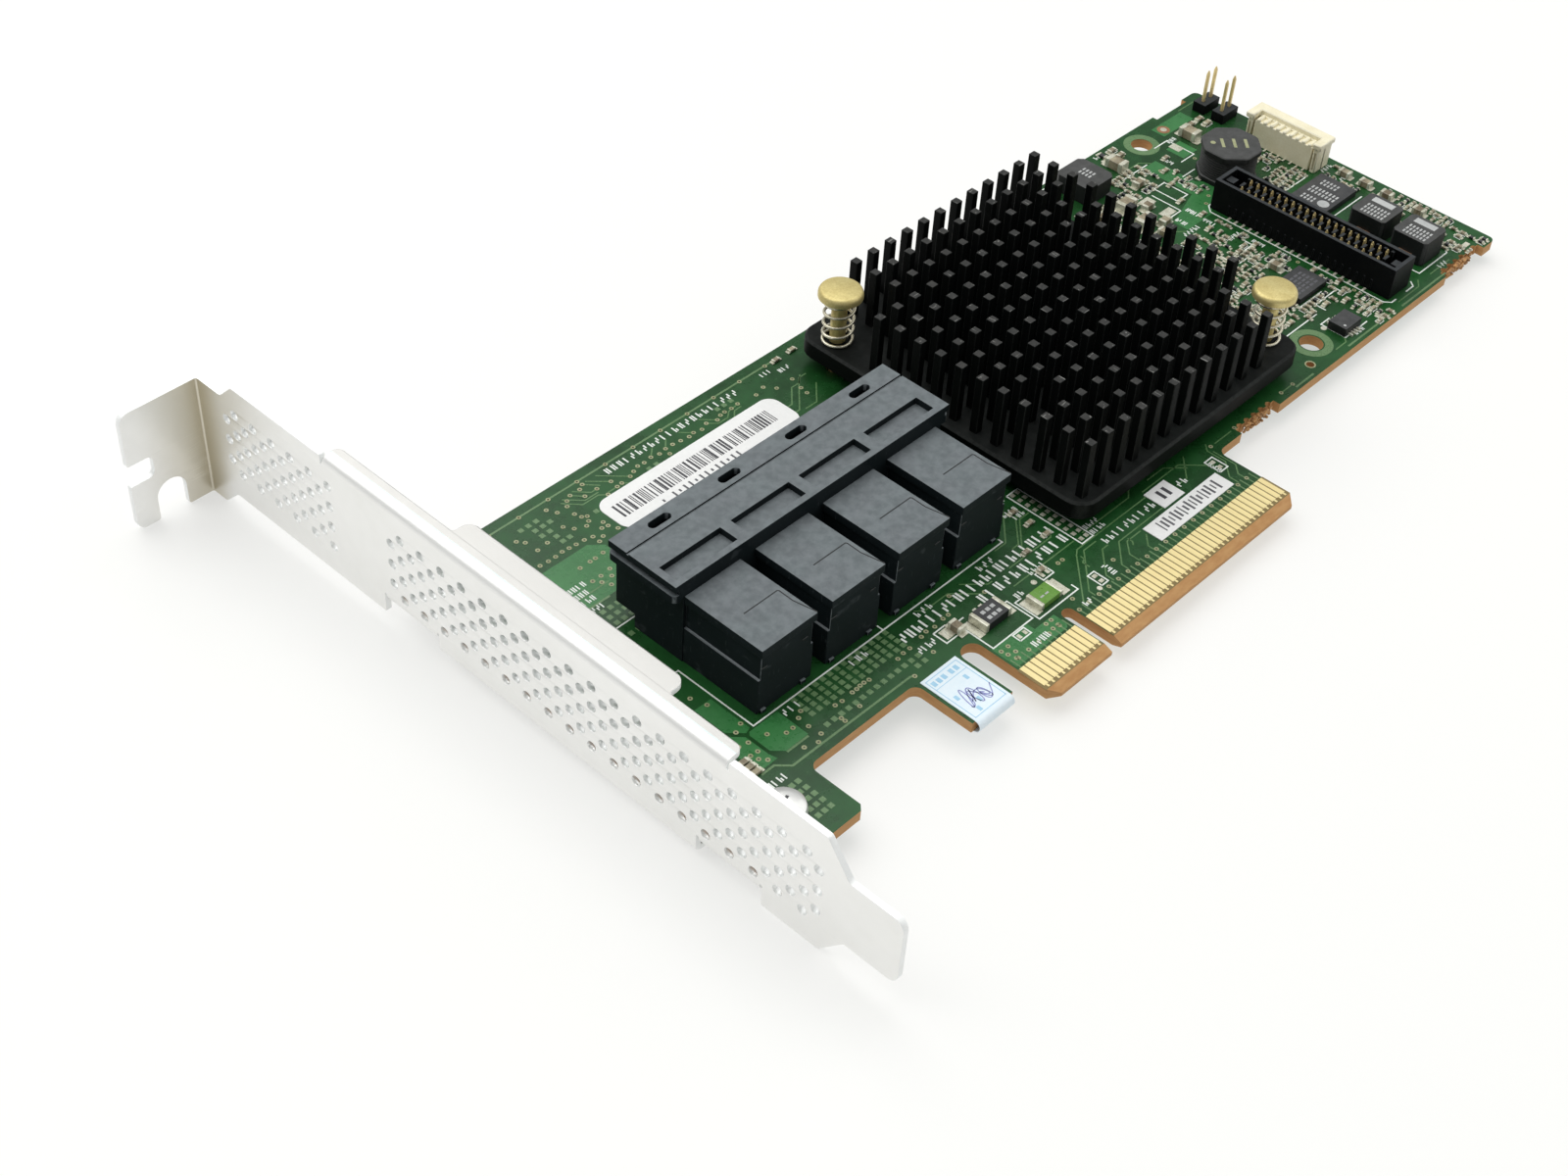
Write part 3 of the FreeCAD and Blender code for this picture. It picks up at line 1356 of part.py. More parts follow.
def make_card():
    """Build every piece of the card."""
    make_board()
    make_fingers()
    make_bracket()
    make_bracket_screws()
    make_heatsink()
    make_controller()
    make_push_pins()
    make_springs()
    make_shroud()
    make_wafer_covers()
    make_port_inserts()
    make_mezzanine()
    make_headers()
    make_wire_connector()
    make_coil()
    make_inductors()
    make_circuits()
    make_memory()
    make_edge_parts()
    make_capacitors()
    make_small_chips()
    make_labels()


def check_document():
    """Stop if any object failed to build or any piece is not a sound solid."""
    DOCUMENT.recompute()
    for item in DOCUMENT.Objects:
        if "Invalid" in item.State or "Error" in item.State:
            raise RuntimeError(f"{item.Name} did not build: {item.State}")
    for item in NODES:
        shape = item.Shape
        if shape.isNull() or not shape.isValid() or not shape.Solids:
            raise RuntimeError(f"{item.Label} is not a sound solid")


def export_nodes():
    """Write each finished piece to its own file."""
    os.makedirs("parts", exist_ok=True)
    for item in NODES:
        shape = item.Shape
        shape.exportStep(os.path.join("parts", f"{item.Label}.step"))
        print(f"{item.Label}: {len(shape.Solids)} solids, {shape.Volume:.1f} cubic mm")


make_card()
check_document()
export_nodes()
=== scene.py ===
"""Looks of a storage controller card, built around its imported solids.

X runs along the board from the bracket to the far end, Y from the edge fingers to the
opposite long edge, and Z out of the component side. Sizes are in millimetres.
"""

import logging
import math
import random
from collections.abc import Iterable, Sequence
from dataclasses import dataclass, field
from enum import Enum
from typing import Any, ClassVar

import bmesh
import bpy
from mathutils import Matrix, Vector


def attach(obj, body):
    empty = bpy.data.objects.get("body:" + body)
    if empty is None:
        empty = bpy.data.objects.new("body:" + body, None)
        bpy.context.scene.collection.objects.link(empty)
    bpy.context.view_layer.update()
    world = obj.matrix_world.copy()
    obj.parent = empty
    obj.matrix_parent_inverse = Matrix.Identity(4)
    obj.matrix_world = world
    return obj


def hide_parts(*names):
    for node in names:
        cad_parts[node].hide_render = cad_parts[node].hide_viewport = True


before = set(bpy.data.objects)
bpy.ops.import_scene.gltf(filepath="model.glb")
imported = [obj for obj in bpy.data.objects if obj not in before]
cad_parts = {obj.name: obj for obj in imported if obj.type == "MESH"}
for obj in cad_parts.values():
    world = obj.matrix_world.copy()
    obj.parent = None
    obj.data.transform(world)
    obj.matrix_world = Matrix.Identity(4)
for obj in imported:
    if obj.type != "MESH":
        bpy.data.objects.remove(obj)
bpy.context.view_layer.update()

LOG = logging.getLogger("card")
MM = 0.001
BODY = "root"
BOARD_BACK = -1.57
NO_LENGTH = 1e-6
MITRE_LIMIT = 0.4

Flat = tuple[float, float]
Spot = tuple[float, float, float]
Colour = tuple[float, float, float]
Socket = Any


# Shader making


class Wiring:
    """Places nodes in one tree and joins them."""

    def __init__(self, tree: bpy.types.NodeTree) -> None:
        """Work in the given tree."""
        self.tree = tree

    def put(self, kind: str, settings: dict[str, Any] | None = None, **inputs: Any) -> bpy.types.Node:
        """Place a node.

        Args:
            kind: Blender's name of the node type.
            settings: Properties of the node.
            inputs: Values or sockets for its inputs, with spaces as underscores.

        Returns:
            The new node.
        """
        made = self.tree.nodes.new(kind)
        for key, value in (settings or {}).items():
            setattr(made, key, value)
        for key, value in inputs.items():
            self.feed(made.inputs[key.replace("_", " ")], value)
        return made

    def feed(self, socket: Socket, value: Any) -> None:
        """Join a socket to another one, or set its value.

        Args:
            socket: Input that is fed.
            value: Another socket, a number, a vector or a colour.
        """
        if isinstance(value, bpy.types.NodeSocket):
            self.tree.links.new(value, socket)
        elif isinstance(value, tuple) and len(value) == 3 and len(socket.default_value) == 4:
            socket.default_value = (*value, 1.0)
        else:
            socket.default_value = value

    def calc(self, operation: str, *values: Any) -> Socket:
        """Place one arithmetic step.

        Args:
            operation: Blender's name of the step.
            values: Its numbers or sockets.

        Returns:
            The step's result.
        """
        made = self.put("ShaderNodeMath", {"operation": operation})
        for socket, value in zip(made.inputs, values):
            self.feed(socket, value)
        return made.outputs[0]

    def times(self, *values: Any) -> Socket:
        """Multiply two or more values.

        Args:
            values: Numbers or sockets.

        Returns:
            Their product.
        """
        product = values[0]
        for value in values[1:]:
            product = self.calc("MULTIPLY", product, value)
        return product

    def blend(self, factor: Any, first: Any, second: Any) -> Socket:
        """Mix two colours.

        Args:
            factor: Share of the second colour.
            first: First colour.
            second: Second colour.

        Returns:
            The mixed colour.
        """
        made = self.put("ShaderNodeMix", {"data_type": "RGBA"})
        for number, value in ((0, factor), (6, first), (7, second)):
            self.feed(made.inputs[number], value)
        return made.outputs[2]

    def spread(self, value: Any, low: Any, high: Any, to_low: float = 0.0, to_high: float = 1.0) -> Socket:
        """Stretch a range of values onto another, smoothly and without overshoot.

        Args:
            value: Value that is stretched.
            low: Start of its range.
            high: End of its range.
            to_low: Result at the start.
            to_high: Result at the end.

        Returns:
            The stretched value.
        """
        made = self.put("ShaderNodeMapRange", {"interpolation_type": "SMOOTHSTEP"}, Value=value,
                        From_Min=low, From_Max=high, To_Min=to_low, To_Max=to_high)
        return made.outputs[0]

    def place(self) -> Socket:
        """Position on the card in millimetres."""
        where = self.tree.nodes.new("ShaderNodeTexCoord").outputs["Object"]
        return self.put("ShaderNodeVectorMath", {"operation": "SCALE"}, Vector=where, Scale=1 / MM).outputs[0]

    def split(self, vector: Socket) -> Any:
        """Sockets of a vector's three parts, named X, Y and Z."""
        return self.put("ShaderNodeSeparateXYZ", None, Vector=vector).outputs

    def facing(self) -> Any:
        """Parts of the direction that the surface faces."""
        return self.split(self.tree.nodes.new("ShaderNodeNewGeometry").outputs["Normal"])

    def noise(self, scale: Any, detail: float = 3.0, stretch: Spot | None = None,
              rough: float = 0.55) -> Socket:
        """Place soft noise over the card.

        Args:
            scale: Periods per millimetre.
            detail: Layers of finer noise.
            stretch: Factors along X, Y and Z.
            rough: Strength of the finer layers.

        Returns:
            The noise, from nothing to one.
        """
        where = self.place()
        if stretch:
            made = self.put("ShaderNodeVectorMath", {"operation": "MULTIPLY"}, Vector=where)
            made.inputs[1].default_value = stretch
            where = made.outputs[0]
        made = self.put("ShaderNodeTexNoise", None, Vector=where, Scale=scale, Detail=detail, Roughness=rough)
        return made.outputs["Fac"]


@dataclass(frozen=True)
class Effect:
    """A shared surface effect, kept as one node group."""

    title: str
    inputs: ClassVar[dict[str, float]] = {"Amount": 0.5}
    output: ClassVar[str] = "Mask"

    def group(self) -> bpy.types.NodeTree:
        """Give the effect's node group, built on its first use.

        Returns:
            The group, with its named inputs and its one output.
        """
        made = bpy.data.node_groups.get(self.title)
        if made is None:
            made = bpy.data.node_groups.new(self.title, "ShaderNodeTree")
            for title, value in self.inputs.items():
                socket = made.interface.new_socket(name=title, in_out="INPUT", socket_type="NodeSocketFloat")
                socket.default_value = value
            made.interface.new_socket(name=self.output, in_out="OUTPUT", socket_type="NodeSocketFloat")
            wiring = Wiring(made)
            given = made.nodes.new("NodeGroupInput").outputs
            result = made.nodes.new("NodeGroupOutput").inputs[self.output]
            wiring.feed(result, self.fill(wiring, given))
        return made

    def fill(self, wiring: Wiring, given: Any) -> Socket:
        """Build the group's nodes and give its output."""
        raise NotImplementedError

    def use(self, wiring: Wiring, **inputs: Any) -> Socket:
        """Place the effect in a material.

        Args:
            wiring: The material's wiring.
            inputs: Values for its inputs, with spaces as underscores.

        Returns:
            What the group puts out.
        """
        made = wiring.put("ShaderNodeGroup", {"node_tree": self.group()}, **inputs)
        return made.outputs[self.output]


class Mottle(Effect):
    """Cloudy variation in two sizes, such as flow marks and handling marks."""

    inputs = {"Scale": 0.3, "Fine Share": 0.4, "Contrast": 0.25}
    finer = 9.0

    def fill(self, wiring: Wiring, given: Any) -> Socket:
        """Mix broad and fine noise into one mask.

        Args:
            wiring: The group's wiring.
            given: Sockets of the group's inputs.

        Returns:
            The mask.
        """
        broad = wiring.noise(given["Scale"], 3.0)
        fine = wiring.noise(wiring.times(given["Scale"], self.finer), 4.0)
        broad_share = wiring.calc("SUBTRACT", 1.0, given["Fine Share"])
        mixed = wiring.calc("ADD", wiring.times(broad, broad_share), wiring.times(fine, given["Fine Share"]))
        low = wiring.calc("SUBTRACT", 0.5, given["Contrast"])
        high = wiring.calc("ADD", 0.5, given["Contrast"])
        return wiring.spread(mixed, low, high)


class Grain(Effect):
    """Fine relief of a moulded, blasted or printed surface."""

    inputs = {"Scale": 6.0}
    output = "Height"

    def fill(self, wiring: Wiring, given: Any) -> Socket:
        """Height that varies evenly in all directions."""
        return wiring.noise(given["Scale"], 2.0, rough=0.7)


class Scratches(Effect):
    """Short fine lines in three directions, from handling."""

    inputs = {"Scale": 1.0, "Amount": 0.3}
    stretches = ((8.0, 0.5, 0.8), (0.5, 7.0, 0.8), (3.0, 3.4, 5.0))
    line = (0.66, 0.74)

    def fill(self, wiring: Wiring, given: Any) -> Socket:
        """Cut thin bands out of stretched noise.

        Args:
            wiring: The group's wiring.
            given: Sockets of the group's inputs.

        Returns:
            The mask.
        """
        bands = [wiring.spread(wiring.noise(given["Scale"], 2.0, stretch), *self.line)
                 for stretch in self.stretches]
        lines = wiring.calc("MAXIMUM", wiring.calc("MAXIMUM", bands[0], bands[1]), bands[2])
        return wiring.times(lines, given["Amount"])


class EdgeWearAndPaintedGlint(Effect):
    """Rubbed edges with a painted glint, where an eased edge turns from one face to the next."""

    slant = (0.8, 0.97)
    breaks = (0.25, 0.6, 0.3, 1.0)

    def fill(self, wiring: Wiring, given: Any) -> Socket:
        """Take the slanting faces of the eased edges and break them up.

        Args:
            wiring: The group's wiring.
            given: Sockets of the group's inputs.

        Returns:
            The mask.
        """
        facing = wiring.facing()
        flat = [wiring.calc("ABSOLUTE", facing[axis]) for axis in "XYZ"]
        square = wiring.calc("MAXIMUM", wiring.calc("MAXIMUM", flat[0], flat[1]), flat[2])
        edge = wiring.spread(square, *self.slant, 1.0, 0.0)
        broken = wiring.spread(wiring.noise(1.5, 3.0), *self.breaks)
        return wiring.times(edge, broken, given["Amount"])


class TopDustAndPaintedSheen(Effect):
    """Faces that look up, lightened partly by dust and rubbing and partly by a painted sheen."""

    upward = (0.25, 0.95)
    breaks = (0.25, 0.75, 0.7, 1.0)

    def fill(self, wiring: Wiring, given: Any) -> Socket:
        """Take the faces that look up and break them up a little.

        Args:
            wiring: The group's wiring.
            given: Sockets of the group's inputs.

        Returns:
            The mask.
        """
        facing = wiring.spread(wiring.facing()["Z"], *self.upward)
        broken = wiring.spread(wiring.noise(0.9, 4.0), *self.breaks)
        return wiring.times(facing, broken, given["Amount"])


MOTTLE = Mottle("Mottle")
GRAIN = Grain("Grain")
SCRATCHES = Scratches("Scratches")
EDGE_WEAR_AND_PAINTED_GLINT = EdgeWearAndPaintedGlint("Edge wear")
TOP_DUST_AND_PAINTED_SHEEN = TopDustAndPaintedSheen("Top marks")


@dataclass(frozen=True)
class Finish:
    """A finish that builds one material and keeps it for later use."""

    title: str

    def material(self) -> bpy.types.Material:
        """Give the material, built on its first use.

        Returns:
            The material.
        """
        made = bpy.data.materials.get(self.title)
        if made is None:
            made = bpy.data.materials.new(self.title)
            made.use_nodes = True
            self.wire(Wiring(made.node_tree), made.node_tree.nodes["Principled BSDF"])
        return made

    def wire(self, wiring: Wiring, shader: bpy.types.Node) -> None:
        """Join the finish's effects to the shader."""
        raise NotImplementedError

    @staticmethod
    def relief(wiring: Wiring, shader: bpy.types.Node, height: Socket, depth: float) -> None:
        """Let a height tilt the surface.

        Args:
            wiring: The material's wiring.
            shader: Its shader.
            height: Height that varies over the surface.
            depth: Depth of the relief in millimetres.
        """
        bump = wiring.put("ShaderNodeBump", None, Height=height, Strength=1.0, Distance=depth * MM)
        wiring.feed(shader.inputs["Normal"], bump.outputs["Normal"])


@dataclass(frozen=True)
class Plastic(Finish):
    """Moulded plastic or resin with cloudy colour, fine grain, rubbed edges with painted glints, and up-facing
    faces lightened by dust and a painted sheen.
    """

    dark: Colour = (0.02, 0.02, 0.02)
    light: Colour = (0.04, 0.04, 0.04)
    rub_and_painted_glint: Colour = (0.2, 0.2, 0.2)
    gloss: tuple[float, float] = (0.35, 0.55)
    mottle: tuple[float, float, float] = (0.3, 0.4, 0.25)
    grain: tuple[float, float] = (6.0, 0.01)
    wear: float = 0.4
    scratch: float = 0.2
    specular: float = 0.5
    dust_and_painted_sheen: Colour = (0.1, 0.1, 0.1)
    dust_and_painted_sheen_share: float = 0.0
    sheen: float = 0.0

    def wire(self, wiring: Wiring, shader: bpy.types.Node) -> None:
        """Join mottle, scratches, edge wear with painted glints, top dust with a painted sheen, and grain to
        the shader.

        Args:
            wiring: The material's wiring.
            shader: Its shader.
        """
        scale, fine, contrast = self.mottle
        cloud = MOTTLE.use(wiring, Scale=scale, Fine_Share=fine, Contrast=contrast)
        lines = SCRATCHES.use(wiring, Scale=0.6, Amount=self.scratch)
        # Eased edges: rubbed wear, and painted glints in the lighter rub colour.
        edges = EDGE_WEAR_AND_PAINTED_GLINT.use(wiring, Amount=self.wear)
        # Faces that look up: dust, and a painted sheen that stands in for the light from above.
        top = TOP_DUST_AND_PAINTED_SHEEN.use(wiring, Amount=self.dust_and_painted_sheen_share)
        clean = wiring.blend(cloud, self.dark, self.light)
        base = wiring.blend(top, clean, wiring.blend(cloud, self.rub_and_painted_glint, self.dust_and_painted_sheen))
        marked = wiring.blend(wiring.calc("MAXIMUM", lines, edges), base, self.rub_and_painted_glint)
        wiring.feed(shader.inputs["Base Color"], marked)
        wiring.feed(shader.inputs["Roughness"], wiring.spread(cloud, 0.0, 1.0, *self.gloss))
        shader.inputs["Specular IOR Level"].default_value = self.specular
        if self.sheen:
            shader.inputs["Coat Roughness"].default_value = 0.5
            wiring.feed(shader.inputs["Coat Weight"], wiring.times(top, self.sheen))
        scale, depth = self.grain
        self.relief(wiring, shader, GRAIN.use(wiring, Scale=scale), depth)


@dataclass(frozen=True)
class Metal(Finish):
    """Bare or plated metal with brushing, smudges and small scratches."""

    colour: Colour = (0.8, 0.8, 0.78)
    shade: Colour = (0.6, 0.6, 0.58)
    gloss: tuple[float, float] = (0.2, 0.4)
    mottle: tuple[float, float, float] = (0.15, 0.3, 0.3)
    brush: Spot = (1.0, 1.0, 1.0)
    brush_scale: float = 4.0
    depth: float = 0.003
    scratch: float = 0.15
    metallic: float = 1.0

    def wire(self, wiring: Wiring, shader: bpy.types.Node) -> None:
        """Join smudges, brushing and scratches to the shader.

        Args:
            wiring: The material's wiring.
            shader: Its shader.
        """
        scale, fine, contrast = self.mottle
        cloud = MOTTLE.use(wiring, Scale=scale, Fine_Share=fine, Contrast=contrast)
        lines = SCRATCHES.use(wiring, Scale=0.5, Amount=self.scratch)
        tone = wiring.blend(cloud, self.shade, self.colour)
        wiring.feed(shader.inputs["Base Color"], wiring.blend(lines, tone, self.shade))
        wiring.feed(shader.inputs["Roughness"], wiring.spread(cloud, 0.0, 1.0, self.gloss[1], self.gloss[0]))
        shader.inputs["Metallic"].default_value = self.metallic
        grain = wiring.noise(self.brush_scale, 3.0, self.brush, 0.65)
        self.relief(wiring, shader, grain, self.depth)


@dataclass(frozen=True)
class BentSheet(Metal):
    """Satin sheet with painted shade on its up-facing faces and a painted highlight along its long bend, which
    is also polished.
    """

    # Darker painted shade for the faces that look up.
    painted_top_shade: Colour = (0.54, 0.533, 0.515)
    # Colour of the painted highlight along the long bend.
    line: Colour = (0.47, 0.60, 0.59)
    warm: Colour = (0.60, 0.56, 0.46)
    line_x: Spot = (-55.95, -55.8, -55.65)
    line_z: float = 13.8
    flange: Flat = (99.5, 104.8)
    flange_x: Flat = (-68.5, -57.0)
    level: Flat = (0.85, 1.0)
    bend_start: Flat = (0.1, 0.4)
    bend_end: Flat = (0.9, 0.99)
    bend_dulling: float = 0.75
    line_polish: float = 0.12

    def wire(self, wiring: Wiring, shader: bpy.types.Node) -> None:
        """Paint the up-facing faces darker as painted shade and the long bend's line as a painted highlight,
        polish that line, make the bends less metallic and tint the screw end warmer and darker.

        Args:
            wiring: The material's wiring.
            shader: Its shader.
        """
        super().wire(wiring, shader)
        spot = wiring.split(wiring.place())
        rising = wiring.facing()["Z"]
        start, peak, end = self.line_x
        high = wiring.calc("GREATER_THAN", spot["Z"], self.line_z)
        painted_highlight_band = wiring.times(wiring.spread(spot["X"], start, peak),
                            wiring.spread(spot["X"], peak, end, 1.0, 0.0), high)
        bend = wiring.times(wiring.spread(rising, *self.bend_start),
                            wiring.spread(rising, *self.bend_end, 1.0, 0.0))
        screw_end = wiring.times(wiring.spread(spot["Y"], *self.flange),
                                 wiring.spread(spot["X"], *self.flange_x))
        tone = shader.inputs["Base Color"].links[0].from_socket
        # Painted shade: the faces that look up are darker.
        tone = wiring.blend(wiring.spread(rising, *self.level), tone, self.painted_top_shade)
        tone = wiring.blend(screw_end, tone, self.warm)
        # Painted highlight: the bright line along the long bend.
        wiring.feed(shader.inputs["Base Color"], wiring.blend(painted_highlight_band, tone, self.line))
        dulled = wiring.times(bend, self.bend_dulling)
        wiring.feed(shader.inputs["Metallic"], wiring.calc("SUBTRACT", 1.0, dulled))
        worn = shader.inputs["Roughness"].links[0].from_socket
        polished = wiring.calc("SUBTRACT", worn, wiring.times(painted_highlight_band, self.line_polish))
        wiring.feed(shader.inputs["Roughness"], polished)


@dataclass(frozen=True)
class Paper(Finish):
    """Label paper: white with faint fibres and a soft sheen."""

    colour: Colour = (0.86, 0.86, 0.85)
    shade: Colour = (0.78, 0.78, 0.77)
    gloss: float = 0.45
    fibre: float = 0.004

    def wire(self, wiring: Wiring, shader: bpy.types.Node) -> None:
        """Join fibres and faint waves to the shader.

        Args:
            wiring: The material's wiring.
            shader: Its shader.
        """
        cloud = MOTTLE.use(wiring, Scale=0.2, Fine_Share=0.5, Contrast=0.35)
        wiring.feed(shader.inputs["Base Color"], wiring.blend(cloud, self.shade, self.colour))
        wiring.feed(shader.inputs["Roughness"], wiring.spread(cloud, 0.0, 1.0, self.gloss, self.gloss + 0.1))
        self.relief(wiring, shader, GRAIN.use(wiring, Scale=4.0), self.fibre)


@dataclass(frozen=True)
class Laminate(Finish):
    """Circuit board: glossy green mask over copper and brown glass laminate at its edges."""

    mask_dark: Colour = (0.008, 0.042, 0.010)
    mask_light: Colour = (0.012, 0.088, 0.018)
    laminate: Colour = (0.50, 0.28, 0.11)
    laminate_dark: Colour = (0.42, 0.21, 0.075)
    bevel_end: float = 1.35
    fingers_x: float = -12.5
    gloss: Flat = (0.24, 0.32)
    bare_dulling: float = 0.45
    weave: float = 0.006

    def wire(self, wiring: Wiring, shader: bpy.types.Node) -> None:
        """Paint the faces green and the cut edges as layered laminate.

        Args:
            wiring: The material's wiring.
            shader: Its shader.
        """
        spot = wiring.split(wiring.place())
        side = wiring.calc("LESS_THAN", wiring.calc("ABSOLUTE", wiring.facing()["Z"]), 0.5)
        bevel = wiring.times(wiring.calc("LESS_THAN", spot["Y"], self.bevel_end),
                             wiring.calc("GREATER_THAN", spot["X"], self.fingers_x))
        bare = wiring.calc("MAXIMUM", side, bevel)
        cloud = MOTTLE.use(wiring, Scale=0.06, Fine_Share=0.35, Contrast=0.2)
        green = wiring.blend(cloud, self.mask_dark, self.mask_light)
        layers = wiring.spread(wiring.noise(2.0, 2.0, (0.3, 0.3, 2.0)), 0.2, 0.8)
        brown = wiring.blend(layers, self.laminate_dark, self.laminate)
        wiring.feed(shader.inputs["Base Color"], wiring.blend(bare, green, brown))
        dulled = wiring.times(bare, self.bare_dulling)
        rough = wiring.calc("ADD", wiring.spread(cloud, 0.0, 1.0, *self.gloss), dulled)
        wiring.feed(shader.inputs["Roughness"], rough)
        shader.inputs["Specular IOR Level"].default_value = 0.4
        self.relief(wiring, shader, GRAIN.use(wiring, Scale=3.0), self.weave)


@dataclass(frozen=True)
class Studio(Finish):
    """Pale ground of the studio, which views from below look through."""

    colour: Colour = (0.35, 0.35, 0.343)
    glow: float = 1.62

    def wire(self, wiring: Wiring, shader: bpy.types.Node) -> None:
        """Give the ground a faint texture and clear its underside.

        Args:
            wiring: The material's wiring.
            shader: Its shader.
        """
        cloud = MOTTLE.use(wiring, Scale=0.01, Fine_Share=0.2, Contrast=0.5)
        tone = wiring.blend(cloud, self.colour, tuple(value * 0.99 for value in self.colour))
        wiring.feed(shader.inputs["Base Color"], tone)
        shader.inputs["Roughness"].default_value = 0.6
        shader.inputs["Emission Color"].default_value = (*self.colour, 1.0)
        shader.inputs["Emission Strength"].default_value = self.glow
        behind = wiring.tree.nodes.new("ShaderNodeNewGeometry").outputs["Backfacing"]
        clear = wiring.tree.nodes.new("ShaderNodeBsdfTransparent")
        mix = wiring.tree.nodes.new("ShaderNodeMixShader")
        for socket, source in zip(mix.inputs, (behind, shader.outputs[0], clear.outputs[0])):
            wiring.feed(socket, source)
        wiring.feed(wiring.tree.nodes["Material Output"].inputs["Surface"], mix.outputs[0])


SATIN_NICKEL = BentSheet("Satin nickel", (0.892, 0.89, 0.875), (0.834, 0.832, 0.812), (0.27, 0.38),
                         (0.05, 0.3, 0.3), (3.0, 0.15, 1.5), 3.0, 0.002, 0.08)
# Cut edges of the sheet: bare metal, painted near white as a highlight.
CUT_EDGE_HIGHLIGHT = Metal("Cut sheet edge", (0.97, 0.98, 0.97), (0.90, 0.91, 0.90), (0.35, 0.5), metallic=0.1)
# Vent walls: a painted highlight, brighter than the plate.
VENT_WALL_HIGHLIGHT = Metal("Vent wall", (0.96, 0.97, 0.96), (0.84, 0.85, 0.84), (0.3, 0.45), metallic=0.5)
SCREW_STEEL = Metal("Bright steel", (0.93, 0.93, 0.91), (0.74, 0.74, 0.72), (0.2, 0.35), metallic=0.5)
SPRING_STEEL = Metal("Spring steel", (0.86, 0.82, 0.68), (0.50, 0.46, 0.34), (0.15, 0.3), metallic=0.8)
BRASS = Metal("Brass", (0.72, 0.62, 0.28), (0.50, 0.40, 0.15), (0.34, 0.5), (0.5, 0.5, 0.25),
              brush_scale=5.0, scratch=0.35, metallic=0.5)
GOLD = Metal("Contact gold", (0.93, 0.79, 0.40), (0.84, 0.68, 0.32), (0.3, 0.42), metallic=0.15)
PIN_GOLD = Metal("Pin gold", (0.90, 0.74, 0.36), (0.62, 0.46, 0.20), (0.22, 0.4), metallic=0.5)
TIN = Metal("Solder tin", (0.87, 0.86, 0.73), (0.40, 0.39, 0.29), (0.25, 0.45), (0.9, 0.45, 0.16),
            brush_scale=3.0, depth=0.008, scratch=0.1, metallic=0.4)
COPPER = Metal("Copper terminal", (0.66, 0.38, 0.23), (0.42, 0.21, 0.1), (0.25, 0.5), metallic=0.6)
PORT_PLASTIC = Plastic("Slate moulding", (0.0085, 0.0125, 0.0140), (0.0130, 0.0185, 0.0205),
                       (0.20, 0.22, 0.235), (0.42, 0.52), (0.25, 0.15, 0.3), (5.0, 0.002), wear=0.9,
                       scratch=0.12, specular=0.07, dust_and_painted_sheen=(0.192, 0.222, 0.232), dust_and_painted_sheen_share=0.8, sheen=0.5)
BLACK_PLASTIC = Plastic("Black moulding", (0.003, 0.0035, 0.004), (0.005, 0.0055, 0.006), (0.06, 0.065, 0.07),
                        (0.4, 0.5), (0.3, 0.15, 0.3), (6.0, 0.002), scratch=0.05, specular=0.06,
                        dust_and_painted_sheen=(0.058, 0.065, 0.072), dust_and_painted_sheen_share=0.65, sheen=0.4)
IVORY_PLASTIC = Plastic("Ivory moulding", (0.76, 0.69, 0.47), (0.88, 0.83, 0.63), (0.92, 0.89, 0.76),
                        (0.35, 0.5))
CHIP_BLACK = Plastic("Chip resin", (0.010, 0.011, 0.012), (0.016, 0.017, 0.018), (0.10, 0.10, 0.10),
                     (0.4, 0.55), (0.3, 0.2, 0.3), (6.0, 0.003), wear=0.3, scratch=0.1, specular=0.2,
                     dust_and_painted_sheen=(0.045, 0.047, 0.05), dust_and_painted_sheen_share=0.7, sheen=0.4)
FERRITE = Plastic("Ferrite", (0.008, 0.009, 0.009), (0.014, 0.015, 0.015), (0.10, 0.10, 0.10), (0.45, 0.6),
                  (0.3, 0.2, 0.3), (6.0, 0.004), wear=0.3, scratch=0.1, specular=0.2,
                  dust_and_painted_sheen=(0.062, 0.064, 0.060), dust_and_painted_sheen_share=0.75, sheen=0.4)
ANODISED = Plastic("Black anodising", (0.0030, 0.0036, 0.0034), (0.0048, 0.0056, 0.0053),
                   (0.034, 0.037, 0.035), (0.4, 0.5), (0.3, 0.2, 0.3), (8.0, 0.002), wear=0.6,
                   scratch=0.05, specular=0.04, dust_and_painted_sheen=(0.009, 0.011, 0.0105), dust_and_painted_sheen_share=0.5, sheen=0.2)
PIN_TOP = Plastic("Worn pin top", (0.013, 0.014, 0.0135), (0.034, 0.033, 0.031), (0.34, 0.34, 0.32),
                  (0.45, 0.6), (0.25, 0.6, 0.2), (5.0, 0.006), wear=0.9, scratch=0.6, specular=0.3)
GREEN_RESIN = Plastic("Green resin", (0.09, 0.23, 0.025), (0.15, 0.33, 0.05), (0.4, 0.5, 0.35), (0.25, 0.4))
CERAMIC = Plastic("Tan ceramic", (0.15, 0.115, 0.07), (0.36, 0.315, 0.21), (0.5, 0.48, 0.4), (0.35, 0.55),
                  (0.35, 0.3, 0.12))
PAD_GREY = Plastic("Grey pad", (0.2, 0.2, 0.21), (0.3, 0.3, 0.31), (0.4, 0.4, 0.4), (0.6, 0.8))
MASKED_COPPER = Plastic("Masked copper", (0.080, 0.175, 0.062), (0.115, 0.225, 0.088), (0.1, 0.25, 0.1),
                        (0.24, 0.34), (0.4, 0.4, 0.25), (3.0, 0.008), wear=0.0, scratch=0.0)
